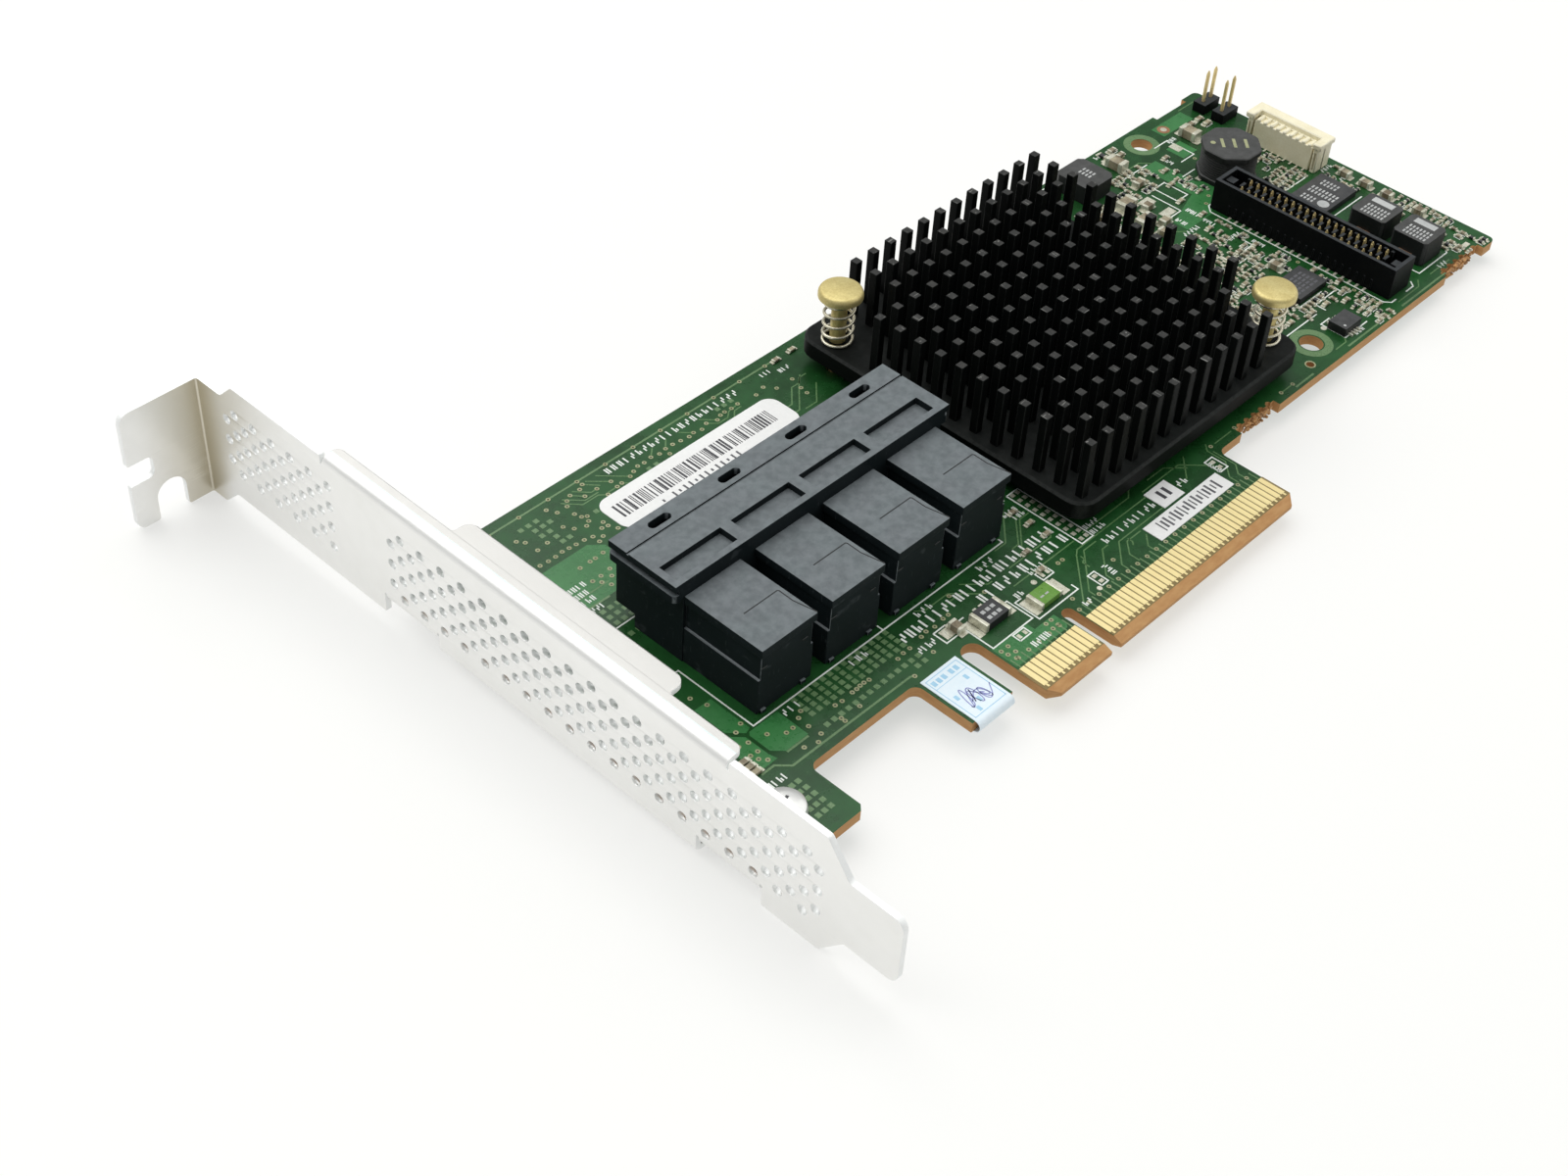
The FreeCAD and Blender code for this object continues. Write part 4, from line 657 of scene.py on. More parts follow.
LIGHT_POUR = Plastic("Pale masked copper", (0.024, 0.140, 0.036), (0.042, 0.195, 0.056), (0.1, 0.3, 0.12),
                     (0.24, 0.34), (0.15, 0.4, 0.25), (3.0, 0.008), wear=0.0, scratch=0.0)
PAD_COPPER = Plastic("Masked squares", (0.095, 0.185, 0.075), (0.135, 0.235, 0.105), (0.2, 0.3, 0.2),
                     (0.24, 0.34), (0.4, 0.4, 0.25), (3.0, 0.008), wear=0.0, scratch=0.0)
VIA_GOLD = Plastic("Via ring", (0.25, 0.27, 0.13), (0.40, 0.41, 0.24), (0.5, 0.45, 0.3), (0.25, 0.4))
# Dark disc in each via: painted shade of the hole.
VIA_BORE_SHADE = Plastic("Via bore", (0.02, 0.022, 0.012), (0.05, 0.05, 0.03), (0.1, 0.1, 0.05), (0.4, 0.6))
TEST_COPPER = Plastic("Test copper", (0.24, 0.10, 0.045), (0.34, 0.17, 0.08), (0.4, 0.25, 0.15), (0.3, 0.45))
# Darker ivory for grooves and slots: painted shade.
IVORY_PAINTED_SHADE = Plastic("Ivory slot", (0.32, 0.28, 0.17), (0.42, 0.37, 0.24), (0.3, 0.26, 0.16), (0.5, 0.7))
PALE_PRINT = Plastic("Pale print", (0.36, 0.37, 0.37), (0.50, 0.51, 0.50), (0.35, 0.35, 0.35), (0.45, 0.6))
BLUE_PRINT = Plastic("Pale blue print", (0.30, 0.56, 0.76), (0.42, 0.66, 0.82), (0.5, 0.7, 0.85), (0.4, 0.55))
GREY_INK = Plastic("Grey ink", (0.07, 0.07, 0.08), (0.12, 0.12, 0.13), (0.3, 0.3, 0.3), (0.45, 0.6))
VIOLET_INK = Plastic("Violet ink", (0.20, 0.22, 0.50), (0.30, 0.32, 0.60), (0.4, 0.4, 0.6), (0.4, 0.55))
BARE_LAMINATE = Plastic("Bare laminate", (0.16, 0.115, 0.035), (0.24, 0.17, 0.055), (0.3, 0.2, 0.08),
                        (0.45, 0.6))
# Dark lines that stand for grooves: painted shade.
SEAM_PAINTED_SHADE = Plastic("Seam shade", (0.003, 0.004, 0.0045), (0.006, 0.008, 0.009), (0.01, 0.012, 0.013), (0.5, 0.6))
BURR = Plastic("Broken laminate", (0.20, 0.085, 0.03), (0.58, 0.29, 0.09), (0.6, 0.4, 0.2), (0.55, 0.8),
               (1.6, 0.5, 0.12), (4.0, 0.03))
WHITE_INK = Plastic("White ink", (0.70, 0.74, 0.69), (0.86, 0.89, 0.85), (0.8, 0.8, 0.8), (0.4, 0.6))
DARK_INK = Plastic("Dark ink", (0.03, 0.03, 0.035), (0.06, 0.06, 0.07), (0.1, 0.1, 0.1), (0.4, 0.6))
LABEL_PAPER = Paper("Label paper")
STICKER_PAPER = Paper("Pale blue sticker", (0.80, 0.88, 0.93), (0.70, 0.82, 0.90))
GROUND = Studio("Studio ground")


# Mesh making


def block_faces() -> list[tuple[int, ...]]:
    """Faces of a block whose twelve edges are cut off.

    Returns:
        Vertex numbers of the six sides, the twelve cut edges and the eight corners.
    """
    signs = [(x, y, z) for x in (0, 1) for y in (0, 1) for z in (0, 1)]

    def vertex(corner: Sequence[int], side: int) -> int:
        """Number of a corner's vertex on one of its three sides."""
        return 3 * signs.index(tuple(corner)) + side

    faces = [tuple(3 * number + side for side in range(3)) for number in range(8)]
    for side in range(3):
        first, second = [axis for axis in range(3) if axis != side]
        for height in (0, 1):
            ring = []
            for one, two in ((0, 0), (1, 0), (1, 1), (0, 1)):
                corner = [0, 0, 0]
                corner[side], corner[first], corner[second] = height, one, two
                ring.append(vertex(corner, side))
            faces.append(tuple(ring))
        for one in (0, 1):
            for two in (0, 1):
                start = [0, 0, 0]
                start[first], start[second] = one, two
                end = list(start)
                end[side] = 1
                faces.append((vertex(start, first), vertex(end, first),
                              vertex(end, second), vertex(start, second)))
    return faces


BLOCK_FACES = block_faces()


def rounded(low: Flat, high: Flat, radius: float, steps: int = 5) -> list[Flat]:
    """Outline of a rectangle with round corners.

    Args:
        low: Lowest corner.
        high: Highest corner.
        radius: Corner radius.
        steps: Straight pieces in each corner.

    Returns:
        The outline's points, anticlockwise.
    """
    centres = (
        (high[0] - radius, high[1] - radius), (low[0] + radius, high[1] - radius),
        (low[0] + radius, low[1] + radius), (high[0] - radius, low[1] + radius),
    )
    outline = []
    for quarter, (x, y) in enumerate(centres):
        for step in range(steps + 1):
            angle = math.pi / 2 * (quarter + step / steps)
            outline.append((x + radius * math.cos(angle), y + radius * math.sin(angle)))
    return outline


def eased(corners: Sequence[Spot], steps: int = 5) -> list[Flat]:
    """Outline with each corner rounded by its own radius.

    Args:
        corners: Corner places, each with its radius.
        steps: Straight pieces in each rounded corner.

    Returns:
        The outline's points in the same order.
    """
    outline = []
    for number, (x, y, radius) in enumerate(corners):
        here = Vector((x, y))
        before = Vector(corners[number - 1][:2]) - here
        after = Vector(corners[(number + 1) % len(corners)][:2]) - here
        if radius <= 0 or min(before.length, after.length) < NO_LENGTH:
            outline.append((x, y))
            continue
        before.normalize()
        after.normalize()
        half = before.angle(after) / 2
        run = radius / math.tan(half)
        centre = here + (before + after).normalized() * (radius / math.sin(half))
        start = here + before * run - centre
        end = here + after * run - centre
        turn = math.atan2(start.x * end.y - start.y * end.x, start.dot(end))
        for step in range(steps + 1):
            spoke = Matrix.Rotation(turn * step / steps, 2) @ start
            outline.append(tuple(centre + spoke))
    return outline


def square_ring(centre: Flat, half: Flat, radius: float, z: float, steps: int = 1) -> list[Spot]:
    """Ring of points round a rectangle with round corners.

    Args:
        centre: Its middle in plan.
        half: Half its length and half its width.
        radius: Corner radius.
        z: Its height.
        steps: Straight pieces in each corner.

    Returns:
        The ring's points, anticlockwise.
    """
    low = (centre[0] - half[0], centre[1] - half[1])
    high = (centre[0] + half[0], centre[1] + half[1])
    return [(x, y, z) for x, y in rounded(low, high, radius, steps)]


class Shape:
    """A mesh that grows part by part and remembers the finish of each face."""

    def __init__(self) -> None:
        """Start with an empty mesh."""
        self.points: list[Spot] = []
        self.faces: list[tuple[int, ...]] = []
        self.skins: list[int] = []

    def add(self, points: Iterable[Spot], faces: Iterable[Sequence[int]], skin: int = 0) -> None:
        """Add points and the faces between them.

        Args:
            points: New points.
            faces: Faces, numbered from the first new point.
            skin: Number of the finish.
        """
        base = len(self.points)
        self.points.extend(tuple(point) for point in points)
        fresh = [tuple(base + index for index in face) for face in faces]
        self.faces.extend(fresh)
        self.skins.extend([skin] * len(fresh))

    def block(self, centre: Flat, size: Spot, low_z: float, edge: float = 0.05, skin: int = 0,
              turn: float = 0.0) -> None:
        """Add a block with its edges cut off.

        Args:
            centre: Middle of the block in plan.
            size: Length, width and height.
            low_z: Height of its underside.
            edge: Width of the cut edges.
            skin: Number of the finish.
            turn: Rotation in plan, in degrees.
        """
        half = [length / 2 for length in size]
        spin = Matrix.Rotation(math.radians(turn), 2)
        points = []
        for signs in ((x, y, z) for x in (-1, 1) for y in (-1, 1) for z in (-1, 1)):
            for side in range(3):
                place = [sign * (reach - (0 if axis == side else edge))
                         for axis, (sign, reach) in enumerate(zip(signs, half))]
                flat = spin @ Vector(place[:2])
                points.append((centre[0] + flat.x, centre[1] + flat.y, low_z + half[2] + place[2]))
        self.add(points, BLOCK_FACES, skin)

    def loft(self, rings: Sequence[Sequence[Spot]], skin: int = 0, closed: bool = False) -> None:
        """Add a skin through rings of equal length, with flat ends or joined into a loop.

        Args:
            rings: Rings of points.
            skin: Number of the finish.
            closed: True where the last ring joins the first.
        """
        count = len(rings[0])
        points = [point for ring in rings for point in ring]
        faces = []
        spans = len(rings) if closed else len(rings) - 1
        for row in range(spans):
            this, following = row * count, (row + 1) % len(rings) * count
            for number in range(count):
                after = (number + 1) % count
                faces.append((this + number, this + after, following + after, following + number))
        if not closed:
            faces.append(tuple(range(count)))
            faces.append(tuple((len(rings) - 1) * count + number for number in range(count)))
        self.add(points, faces, skin)

    def slab(self, outline: Sequence[Flat], low_z: float, high_z: float, skin: int = 0) -> None:
        """Add a flat plate with the given outline."""
        self.loft([[(x, y, z) for x, y in outline] for z in (low_z, high_z)], skin)

    def bar(self, centre: Flat, size: Flat, low_z: float, high_z: float, skin: int = 0,
            turn: float = 0.0) -> None:
        """Add a flat rectangle.

        Args:
            centre: Its middle in plan.
            size: Its length and width.
            low_z: Height of its underside.
            high_z: Height of its top.
            skin: Number of the finish.
            turn: Rotation in plan, in degrees.
        """
        spin = Matrix.Rotation(math.radians(turn), 2)
        signs = ((-1, -1), (1, -1), (1, 1), (-1, 1))
        corners = [spin @ Vector((x * size[0] / 2, y * size[1] / 2)) for x, y in signs]
        self.slab([(centre[0] + corner.x, centre[1] + corner.y) for corner in corners], low_z, high_z, skin)

    def lathe(self, centre: Flat, profile: Sequence[Flat], steps: int = 24, skin: int = 0,
              closed: bool = False) -> None:
        """Add a turned form.

        Args:
            centre: Axis in plan.
            profile: Radius and height of each ring.
            steps: Sides of each ring.
            skin: Number of the finish.
            closed: True for a profile that closes on itself.
        """
        rings = []
        for radius, height in profile:
            angles = [2 * math.pi * step / steps for step in range(steps)]
            rings.append([(centre[0] + radius * math.cos(angle), centre[1] + radius * math.sin(angle), height)
                          for angle in angles])
        self.loft(rings, skin, closed)

    def washer(self, centre: Flat, inner: float, outer: float, low_z: float, high_z: float,
               skin: int = 0, steps: int = 12) -> None:
        """Add a flat ring of two radii."""
        profile = [(inner, low_z), (outer, low_z), (outer, high_z), (inner, high_z)]
        self.lathe(centre, profile, steps, skin, closed=True)

    def disc(self, centre: Flat, radius: float, low_z: float, high_z: float, skin: int = 0,
             steps: int = 10) -> None:
        """Add a flat round plate."""
        self.lathe(centre, [(radius, low_z), (radius, high_z)], steps, skin)

    def tube(self, path: Sequence[Vector], radius: float, steps: int = 8, skin: int = 0) -> None:
        """Add a round wire along a path.

        Args:
            path: Points of its middle line.
            radius: Radius of the wire.
            steps: Sides of its section.
            skin: Number of the finish.
        """
        rings = []
        side = None
        for number, point in enumerate(path):
            ahead = path[min(number + 1, len(path) - 1)]
            behind = path[max(number - 1, 0)]
            along = (ahead - behind).normalized()
            if side is None:
                side = along.orthogonal()
            side = (side - along * side.dot(along)).normalized()
            other = along.cross(side)
            ring = []
            for step in range(steps):
                angle = 2 * math.pi * step / steps
                ring.append(tuple(point + (side * math.cos(angle) + other * math.sin(angle)) * radius))
            rings.append(ring)
        self.loft(rings, skin)

    def stroke(self, path: Sequence[Flat], width: float, low_z: float, high_z: float,
               skin: int = 0) -> None:
        """Add a flat line of one width with mitred corners.

        Args:
            path: Points of its middle line.
            width: Width of the line.
            low_z: Height of its underside.
            high_z: Height of its top.
            skin: Number of the finish.
        """
        spots = [Vector(point) for point in path]
        left, right = [], []
        for number, here in enumerate(spots):
            before = (here - spots[number - 1]).normalized() if number else None
            after = (spots[number + 1] - here).normalized() if number + 1 < len(spots) else None
            along = (before or after) + (after or before)
            along.normalize()
            across = Vector((-along.y, along.x))
            straight = after or before
            reach = width / 2 / max(MITRE_LIMIT, across.dot(Vector((-straight.y, straight.x))))
            left.append(tuple(here + across * reach))
            right.append(tuple(here - across * reach))
        self.slab(left + right[::-1], low_z, high_z, skin)

    def mesh(self, name: str) -> bpy.types.Mesh:
        """Turn the collected points and faces into a mesh in metres.

        Args:
            name: Name of the mesh.

        Returns:
            The mesh, with every face turned outwards.
        """
        made = bpy.data.meshes.new(name)
        made.from_pydata([(x * MM, y * MM, z * MM) for x, y, z in self.points], [], self.faces)
        made.polygons.foreach_set("material_index", self.skins)
        worked = bmesh.new()
        worked.from_mesh(made)
        bmesh.ops.recalc_face_normals(worked, faces=worked.faces)
        worked.to_mesh(made)
        worked.free()
        return made

    def piece(self, name: str, finishes: Sequence[Finish], slot: str, replaces: Sequence[str] = (),
              smooth: float = 40.0) -> None:
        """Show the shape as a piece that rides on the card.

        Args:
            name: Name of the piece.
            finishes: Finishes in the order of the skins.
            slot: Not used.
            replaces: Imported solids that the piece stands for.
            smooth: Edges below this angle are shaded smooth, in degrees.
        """
        mesh = self.mesh(name)
        for finish in finishes:
            mesh.materials.append(finish.material())
        mesh.shade_smooth()
        mesh.set_sharp_from_angle(angle=math.radians(smooth))
        piece = bpy.data.objects.new(name, mesh)
        bpy.context.scene.collection.objects.link(piece)
        even = piece.modifiers.new("even_shading", "WEIGHTED_NORMAL")
        even.keep_sharp = True
        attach(piece, BODY)
        if replaces:
            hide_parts(*replaces)
        LOG.info("%s: %d faces", name, len(mesh.polygons))


def middle(low: Sequence[float], high: Sequence[float]) -> Flat:
    """Middle of a box in plan."""
    return (low[0] + high[0]) / 2, (low[1] + high[1]) / 2


@dataclass(frozen=True)
class PackedSolid:
    """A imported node, read as a mesh or as the boxes of its separate solids."""

    node: str
    weld: float = 0.002
    flat_angle: float = 1.5
    sharp_angle: float = 30.0
    smooth_angle: float = 50.0

    def welded(self) -> bmesh.types.BMesh:
        """Copy the node's mesh with its seams joined and its flat faces merged.

        Returns:
            The copy, in metres.
        """
        worked = bmesh.new()
        worked.from_mesh(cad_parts[self.node].data)
        bmesh.ops.remove_doubles(worked, verts=worked.verts, dist=self.weld * MM)
        bmesh.ops.dissolve_limit(worked, angle_limit=math.radians(self.flat_angle), verts=worked.verts,
                                 edges=worked.edges)
        return worked

    def boxes(self) -> list[tuple[Spot, Spot]]:
        """Measure each separate solid of the node.

        Returns:
            Lowest and highest corner of each solid, in millimetres.
        """
        worked = self.welded()
        left = set(worked.verts)
        found = []
        while left:
            reached = {left.pop()}
            edge = list(reached)
            while edge:
                near = [link.other_vert(vertex) for vertex in edge for link in vertex.link_edges]
                edge = [vertex for vertex in set(near) if vertex in left]
                left.difference_update(edge)
                reached.update(edge)
            spread = [[vertex.co[axis] / MM for vertex in reached] for axis in range(3)]
            found.append((tuple(min(values) for values in spread), tuple(max(values) for values in spread)))
        worked.free()
        return sorted(found)

    def box(self) -> tuple[Spot, Spot]:
        """Lowest and highest corner of a node that is one solid."""
        return self.boxes()[0]

    def softened(self, name: str, finish: Finish, slot: str, width: float) -> None:
        """Show the node with its sharp edges rounded, as a piece that stands for it.

        Args:
            name: Name of the new piece.
            finish: Its finish.
            slot: Passed on to the piece, which does not use it.
            width: Width of the rounding.
        """
        worked = self.welded()
        limit = math.radians(self.sharp_angle)
        sharp = [edge for edge in worked.edges
                 if len(edge.link_faces) == 2 and edge.calc_face_angle(0) > limit]
        bmesh.ops.bevel(worked, geom=sharp, offset=width * MM, segments=2, profile=0.6, affect="EDGES",
                        clamp_overlap=True)
        bmesh.ops.remove_doubles(worked, verts=worked.verts, dist=self.weld / 2 * MM)
        worked.verts.index_update()
        shape = Shape()
        shape.add([tuple(vertex.co / MM) for vertex in worked.verts],
                  [[vertex.index for vertex in face.verts] for face in worked.faces])
        worked.free()
        shape.piece(name, [finish], slot, [self.node], self.smooth_angle)


# Print on the board, in millimetres

# Outlines of the pale copper areas
POURS: tuple[tuple[Flat, ...], ...] = (
    ((-44.8, 28.1), (-42.1, 28.1), (-42.1, 21.7), (-43.0, 21.4), (-44.8, 23.2)),
    ((-43.0, 20.9), (-42.6, 21.3), (-37.9, 21.3), (-37.9, 16.3), (-41.7, 16.3), (-43.0, 17.6)),
    ((-46.4, 20.2), (-45.0, 22.5), (-43.5, 21.0), (-43.5, 17.4), (-43.2, 16.2), (-46.4, 16.2)),
    ((-44.0, 57.5), (-34.4, 57.5), (-32.7, 56.0), (-32.7, 49.0), (-44.0, 49.0)),
    ((-11.8, 6.2), (-2.0, 6.2), (-1.5, 6.8), (-1.5, 8.8), (-5.2, 8.8), (-5.2, 10.3), (-11.8, 10.3)),
    ((86.6, 61.0), (89.9, 61.0), (89.9, 53.4), (93.2, 50.0), (88.4, 49.0), (84.6, 46.4), (78.4, 46.4),
     (78.4, 49.0), (86.6, 51.6)),
    ((93.8, 61.8), (97.4, 61.8), (97.4, 58.4), (93.8, 58.4)),
    ((96.6, 64.2), (104.4, 64.2), (104.4, 66.8), (96.6, 66.8)),
)
# First X and Y, columns, rows and the two pitches of each field of masked squares
SQUARE_GRIDS: tuple[tuple[float, float, int, int, float, float], ...] = (
    (-35.2, 18.2, 14, 4, 1.25, 0.98), (-35.2, 15.8, 14, 1, 1.25, 1.0), (-20.3, 14.7, 2, 1, 1.3, 1.0),
    (-46.15, 7.1, 3, 5, 1.05, 1.27), (-41.2, 44.9, 3, 3, 1.25, 1.25), (-41.2, 42.4, 2, 1, 1.25, 1.0),
    (-38.6, 65.15, 3, 1, 1.28, 1.0), (-37.3, 62.6, 2, 2, 1.28, 1.28), (-34.8, 63.9, 1, 1, 1.0, 1.0),
    (-36.05, 60.1, 1, 2, 1.0, 1.2), (-34.9, 60.1, 1, 1, 1.0, 1.0), (-18.5, 62.6, 2, 1, 1.3, 1.0),
    (-29.2, 61.3, 1, 1, 1.0, 1.0), (-3.4, 65.1, 3, 1, 1.3, 1.0),
)
# Places of the scattered vias
VIAS: tuple[Flat, ...] = (
    (-40.4, 64.0), (-39.7, 63.1), (-39.5, 61.0), (-37.7, 61.2), (-33.7, 65.8), (-33.0, 64.5), (-31.6, 62.8),
    (-34.3, 62.0), (-33.5, 60.8), (-32.0, 60.1), (-31.3, 61.8), (-31.2, 60.6), (-30.7, 61.4), (-31.3, 64.5),
    (-30.6, 65.3), (-30.0, 59.2), (-30.9, 58.5), (-30.0, 58.3), (-31.8, 57.3), (-32.8, 56.9), (-29.4, 57.1),
    (-32.8, 58.1), (-34.0, 58.4), (-35.3, 58.5), (-36.4, 58.6), (-37.5, 58.7), (-38.7, 58.6), (-39.9, 58.6),
    (-41.2, 58.7), (-42.3, 58.8), (-27.0, 66.3), (-28.3, 64.4), (-26.2, 64.4), (-27.9, 65.8), (-29.6, 65.8),
    (-21.4, 63.2), (-20.4, 63.6), (-19.3, 64.0), (-18.2, 63.9), (-16.8, 64.1), (-15.5, 63.8), (-14.2, 64.0),
    (-12.9, 64.0), (-11.6, 63.8), (-10.2, 63.6), (-9.2, 63.8), (-7.9, 63.5), (-6.6, 64.0), (-5.0, 63.5),
    (-4.0, 63.9), (-3.1, 64.0), (-1.9, 63.9), (-0.6, 64.0), (-14.5, 62.9), (2.6, 63.6), (4.5, 64.1),
    (5.7, 62.7), (0.3, 61.7), (-24.0, 62.9), (-23.1, 63.0), (-23.9, 64.2), (-25.9, 62.6), (-37.9, 55.0),
    (-36.2, 55.0), (-35.3, 55.0), (-33.9, 55.1), (-38.4, 52.2), (-37.0, 52.2), (-35.3, 52.4), (-37.7, 51.3),
    (-36.0, 51.3), (-37.1, 50.2), (8.0, 59.2), (8.2, 60.5), (-37.0, 17.1), (-32.3, 17.2), (-31.2, 17.1),
    (-29.3, 17.2), (-28.5, 17.2), (-27.8, 17.3), (-27.1, 17.3), (-26.3, 17.2), (-21.2, 17.1), (-20.0, 17.3),
    (-18.8, 17.3), (-36.9, 18.8), (-35.9, 19.4), (-39.8, 15.2), (-38.0, 14.6), (-36.8, 15.3), (-33.3, 14.7),
    (-33.3, 15.3), (-30.3, 15.1), (-21.9, 13.8), (-17.2, 14.9), (-16.3, 17.6), (-15.2, 17.8), (-13.8, 17.6),
    (-12.0, 17.8), (-11.0, 17.8), (-43.8, 29.8), (-43.1, 27.7), (-43.8, 22.3), (-42.4, 22.9), (-45.2, 20.5),
    (-43.9, 20.2), (-41.4, 19.6), (-45.2, 18.6), (-44.1, 18.5), (-44.9, 17.6), (-44.2, 16.8), (-39.6, 18.2),
    (-38.5, 18.2), (-46.2, 17.0), (-11.2, 9.2), (-9.9, 9.2), (-11.0, 8.3), (-9.9, 8.0), (-10.7, 7.2),
    (-3.5, 8.4), (-2.5, 8.4), (-3.5, 7.3), (-2.5, 7.3), (2.4, 8.9), (6.2, 14.2), (7.1, 14.2), (11.8, 9.7),
    (39.3, 14.2), (44.9, 14.3), (56.0, 14.2), (58.8, 14.2), (-4.6, 17.3), (-8.4, 19.9), (8.7, 62.6),
    (83.9, 16.6), (84.1, 20.5), (83.8, 30.2), (91.2, 60.2), (88.2, 58.8), (95.1, 57.2), (86.2, 48.6),
    (88.2, 49.6), (79.6, 62.9), (87.1, 65.3),
)
# Routes of the thin tracks
THIN_TRACKS: tuple[tuple[Flat, ...], ...] = (
    ((-31.5, 65.5), (-29.6, 63.4), (-26.9, 63.4), (-25.6, 62.3)),
    ((-30.9, 65.9), (-28.8, 63.8), (-26.5, 63.8)), ((-29.6, 65.8), (-28.3, 64.4)),
    ((-28.9, 66.2), (-27.2, 64.4), (-26.2, 64.4)), ((-27.0, 66.3), (-25.4, 64.6)),
    ((-26.3, 66.5), (-23.9, 64.2)), ((-25.6, 62.9), (-24.0, 62.9)),
    ((-21.4, 63.2), (-22.6, 64.4), (-24.6, 66.4)), ((-16.8, 64.1), (-15.4, 65.3)),
    ((-14.2, 64.0), (-12.9, 65.3), (-12.9, 66.2)), ((-9.2, 63.8), (-10.6, 65.2)),
    ((-5.0, 63.5), (-6.8, 65.3)), ((-6.6, 64.0), (-5.4, 62.9), (-3.6, 62.9), (-2.6, 63.7), (-0.6, 64.0)),
    ((-20.9, 62.1), (-3.2, 62.1), (-1.9, 63.3), (-0.6, 63.3)),
    ((-23.1, 63.0), (-21.9, 61.9), (-17.9, 61.9)),
    ((3.4, 58.9), (4.7, 58.9), (7.3, 61.4), (8.8, 61.4), (10.2, 62.6)),
    ((5.4, 57.0), (7.6, 57.0), (10.6, 59.9)), ((3.4, 57.4), (4.6, 57.4), (9.6, 62.2), (11.0, 62.2)),
    ((-42.3, 50.9), (-36.9, 50.9)), ((-12.6, 20.3), (-8.2, 20.3), (-5.0, 17.2)),
    ((-13.6, 21.2), (-12.9, 20.6)), ((-11.0, 17.8), (-9.9, 19.2), (-7.6, 19.2)),
    ((-5.9, 20.4), (-3.2, 17.9), (-2.4, 17.9)), ((-2.0, 21.0), (-0.6, 19.9)),
    ((2.1, 21.2), (4.3, 21.2), (9.2, 25.7)), ((4.0, 19.9), (5.3, 19.9), (9.0, 23.4), (10.8, 23.4)),
    ((4.9, 19.0), (9.1, 22.8), (11.0, 22.8)), ((-1.2, 15.4), (11.0, 15.4)),
    ((1.0, 17.9), (9.4, 17.9), (10.6, 19.1)), ((5.2, 22.9), (7.6, 25.1), (7.6, 26.9)),
    ((2.9, 7.5), (3.6, 8.2), (9.1, 13.5), (10.0, 14.1), (24.6, 14.1)),
    ((5.0, 7.3), (5.0, 8.3), (10.5, 13.4), (13.0, 13.4)),
    ((8.9, 7.3), (8.9, 8.6), (12.4, 11.9), (13.6, 11.9)),
    ((11.9, 7.3), (11.9, 8.4), (15.1, 11.3), (24.7, 11.3)),
    ((14.2, 7.3), (14.2, 8.9), (15.9, 10.6), (18.8, 10.6)), ((17.2, 7.3), (17.2, 8.2), (18.8, 9.7)),
    ((8.6, 11.0), (8.6, 12.1), (9.3, 12.4), (9.3, 13.0)), ((15.9, 9.6), (16.4, 10.1), (16.4, 10.9)),
    ((36.0, 7.3), (36.0, 8.8), (38.2, 11.0), (38.2, 14.0), (39.2, 15.0)),
    ((37.4, 7.3), (37.4, 8.4), (38.7, 9.7), (38.7, 13.4)), ((25.0, 15.0), (33.0, 15.0), (36.4, 11.6)),
    ((29.4, 12.6), (31.6, 12.6), (34.9, 15.6)), ((40.2, 14.2), (44.0, 14.2)), ((56.0, 14.2), (58.6, 14.2)),
    ((27.4, 16.0), (31.0, 16.0), (33.4, 13.8)), ((13.0, 15.6), (22.8, 15.6), (24.2, 16.6)),
    ((86.4, 14.4), (92.0, 14.4), (93.4, 15.4)), ((96.0, 14.9), (101.4, 14.9)),
    ((70.0, 14.4), (72.6, 14.4), (73.6, 15.4)), ((104.4, 67.2), (108.6, 67.2)),
    ((84.0, 62.4), (87.4, 62.4), (88.8, 61.0)), ((76.5, 47.4), (78.0, 46.2)),
)
# Routes of the wider tracks
EDGE_TRACKS: tuple[tuple[Flat, ...], ...] = (
    ((-43.8, 67.2), (9.8, 67.2)),
    ((-46.4, 15.7), (-44.3, 15.7), (-42.8, 14.2), (-22.4, 14.1), (-21.9, 13.8)),
    ((-41.7, 16.1), (-38.1, 16.1)), ((-43.8, 48.9), (-38.6, 48.9)), ((58.6, 13.5), (63.0, 13.5)),
    ((72.0, 13.6), (84.0, 13.6)), ((86.0, 13.5), (98.0, 13.5)),
)
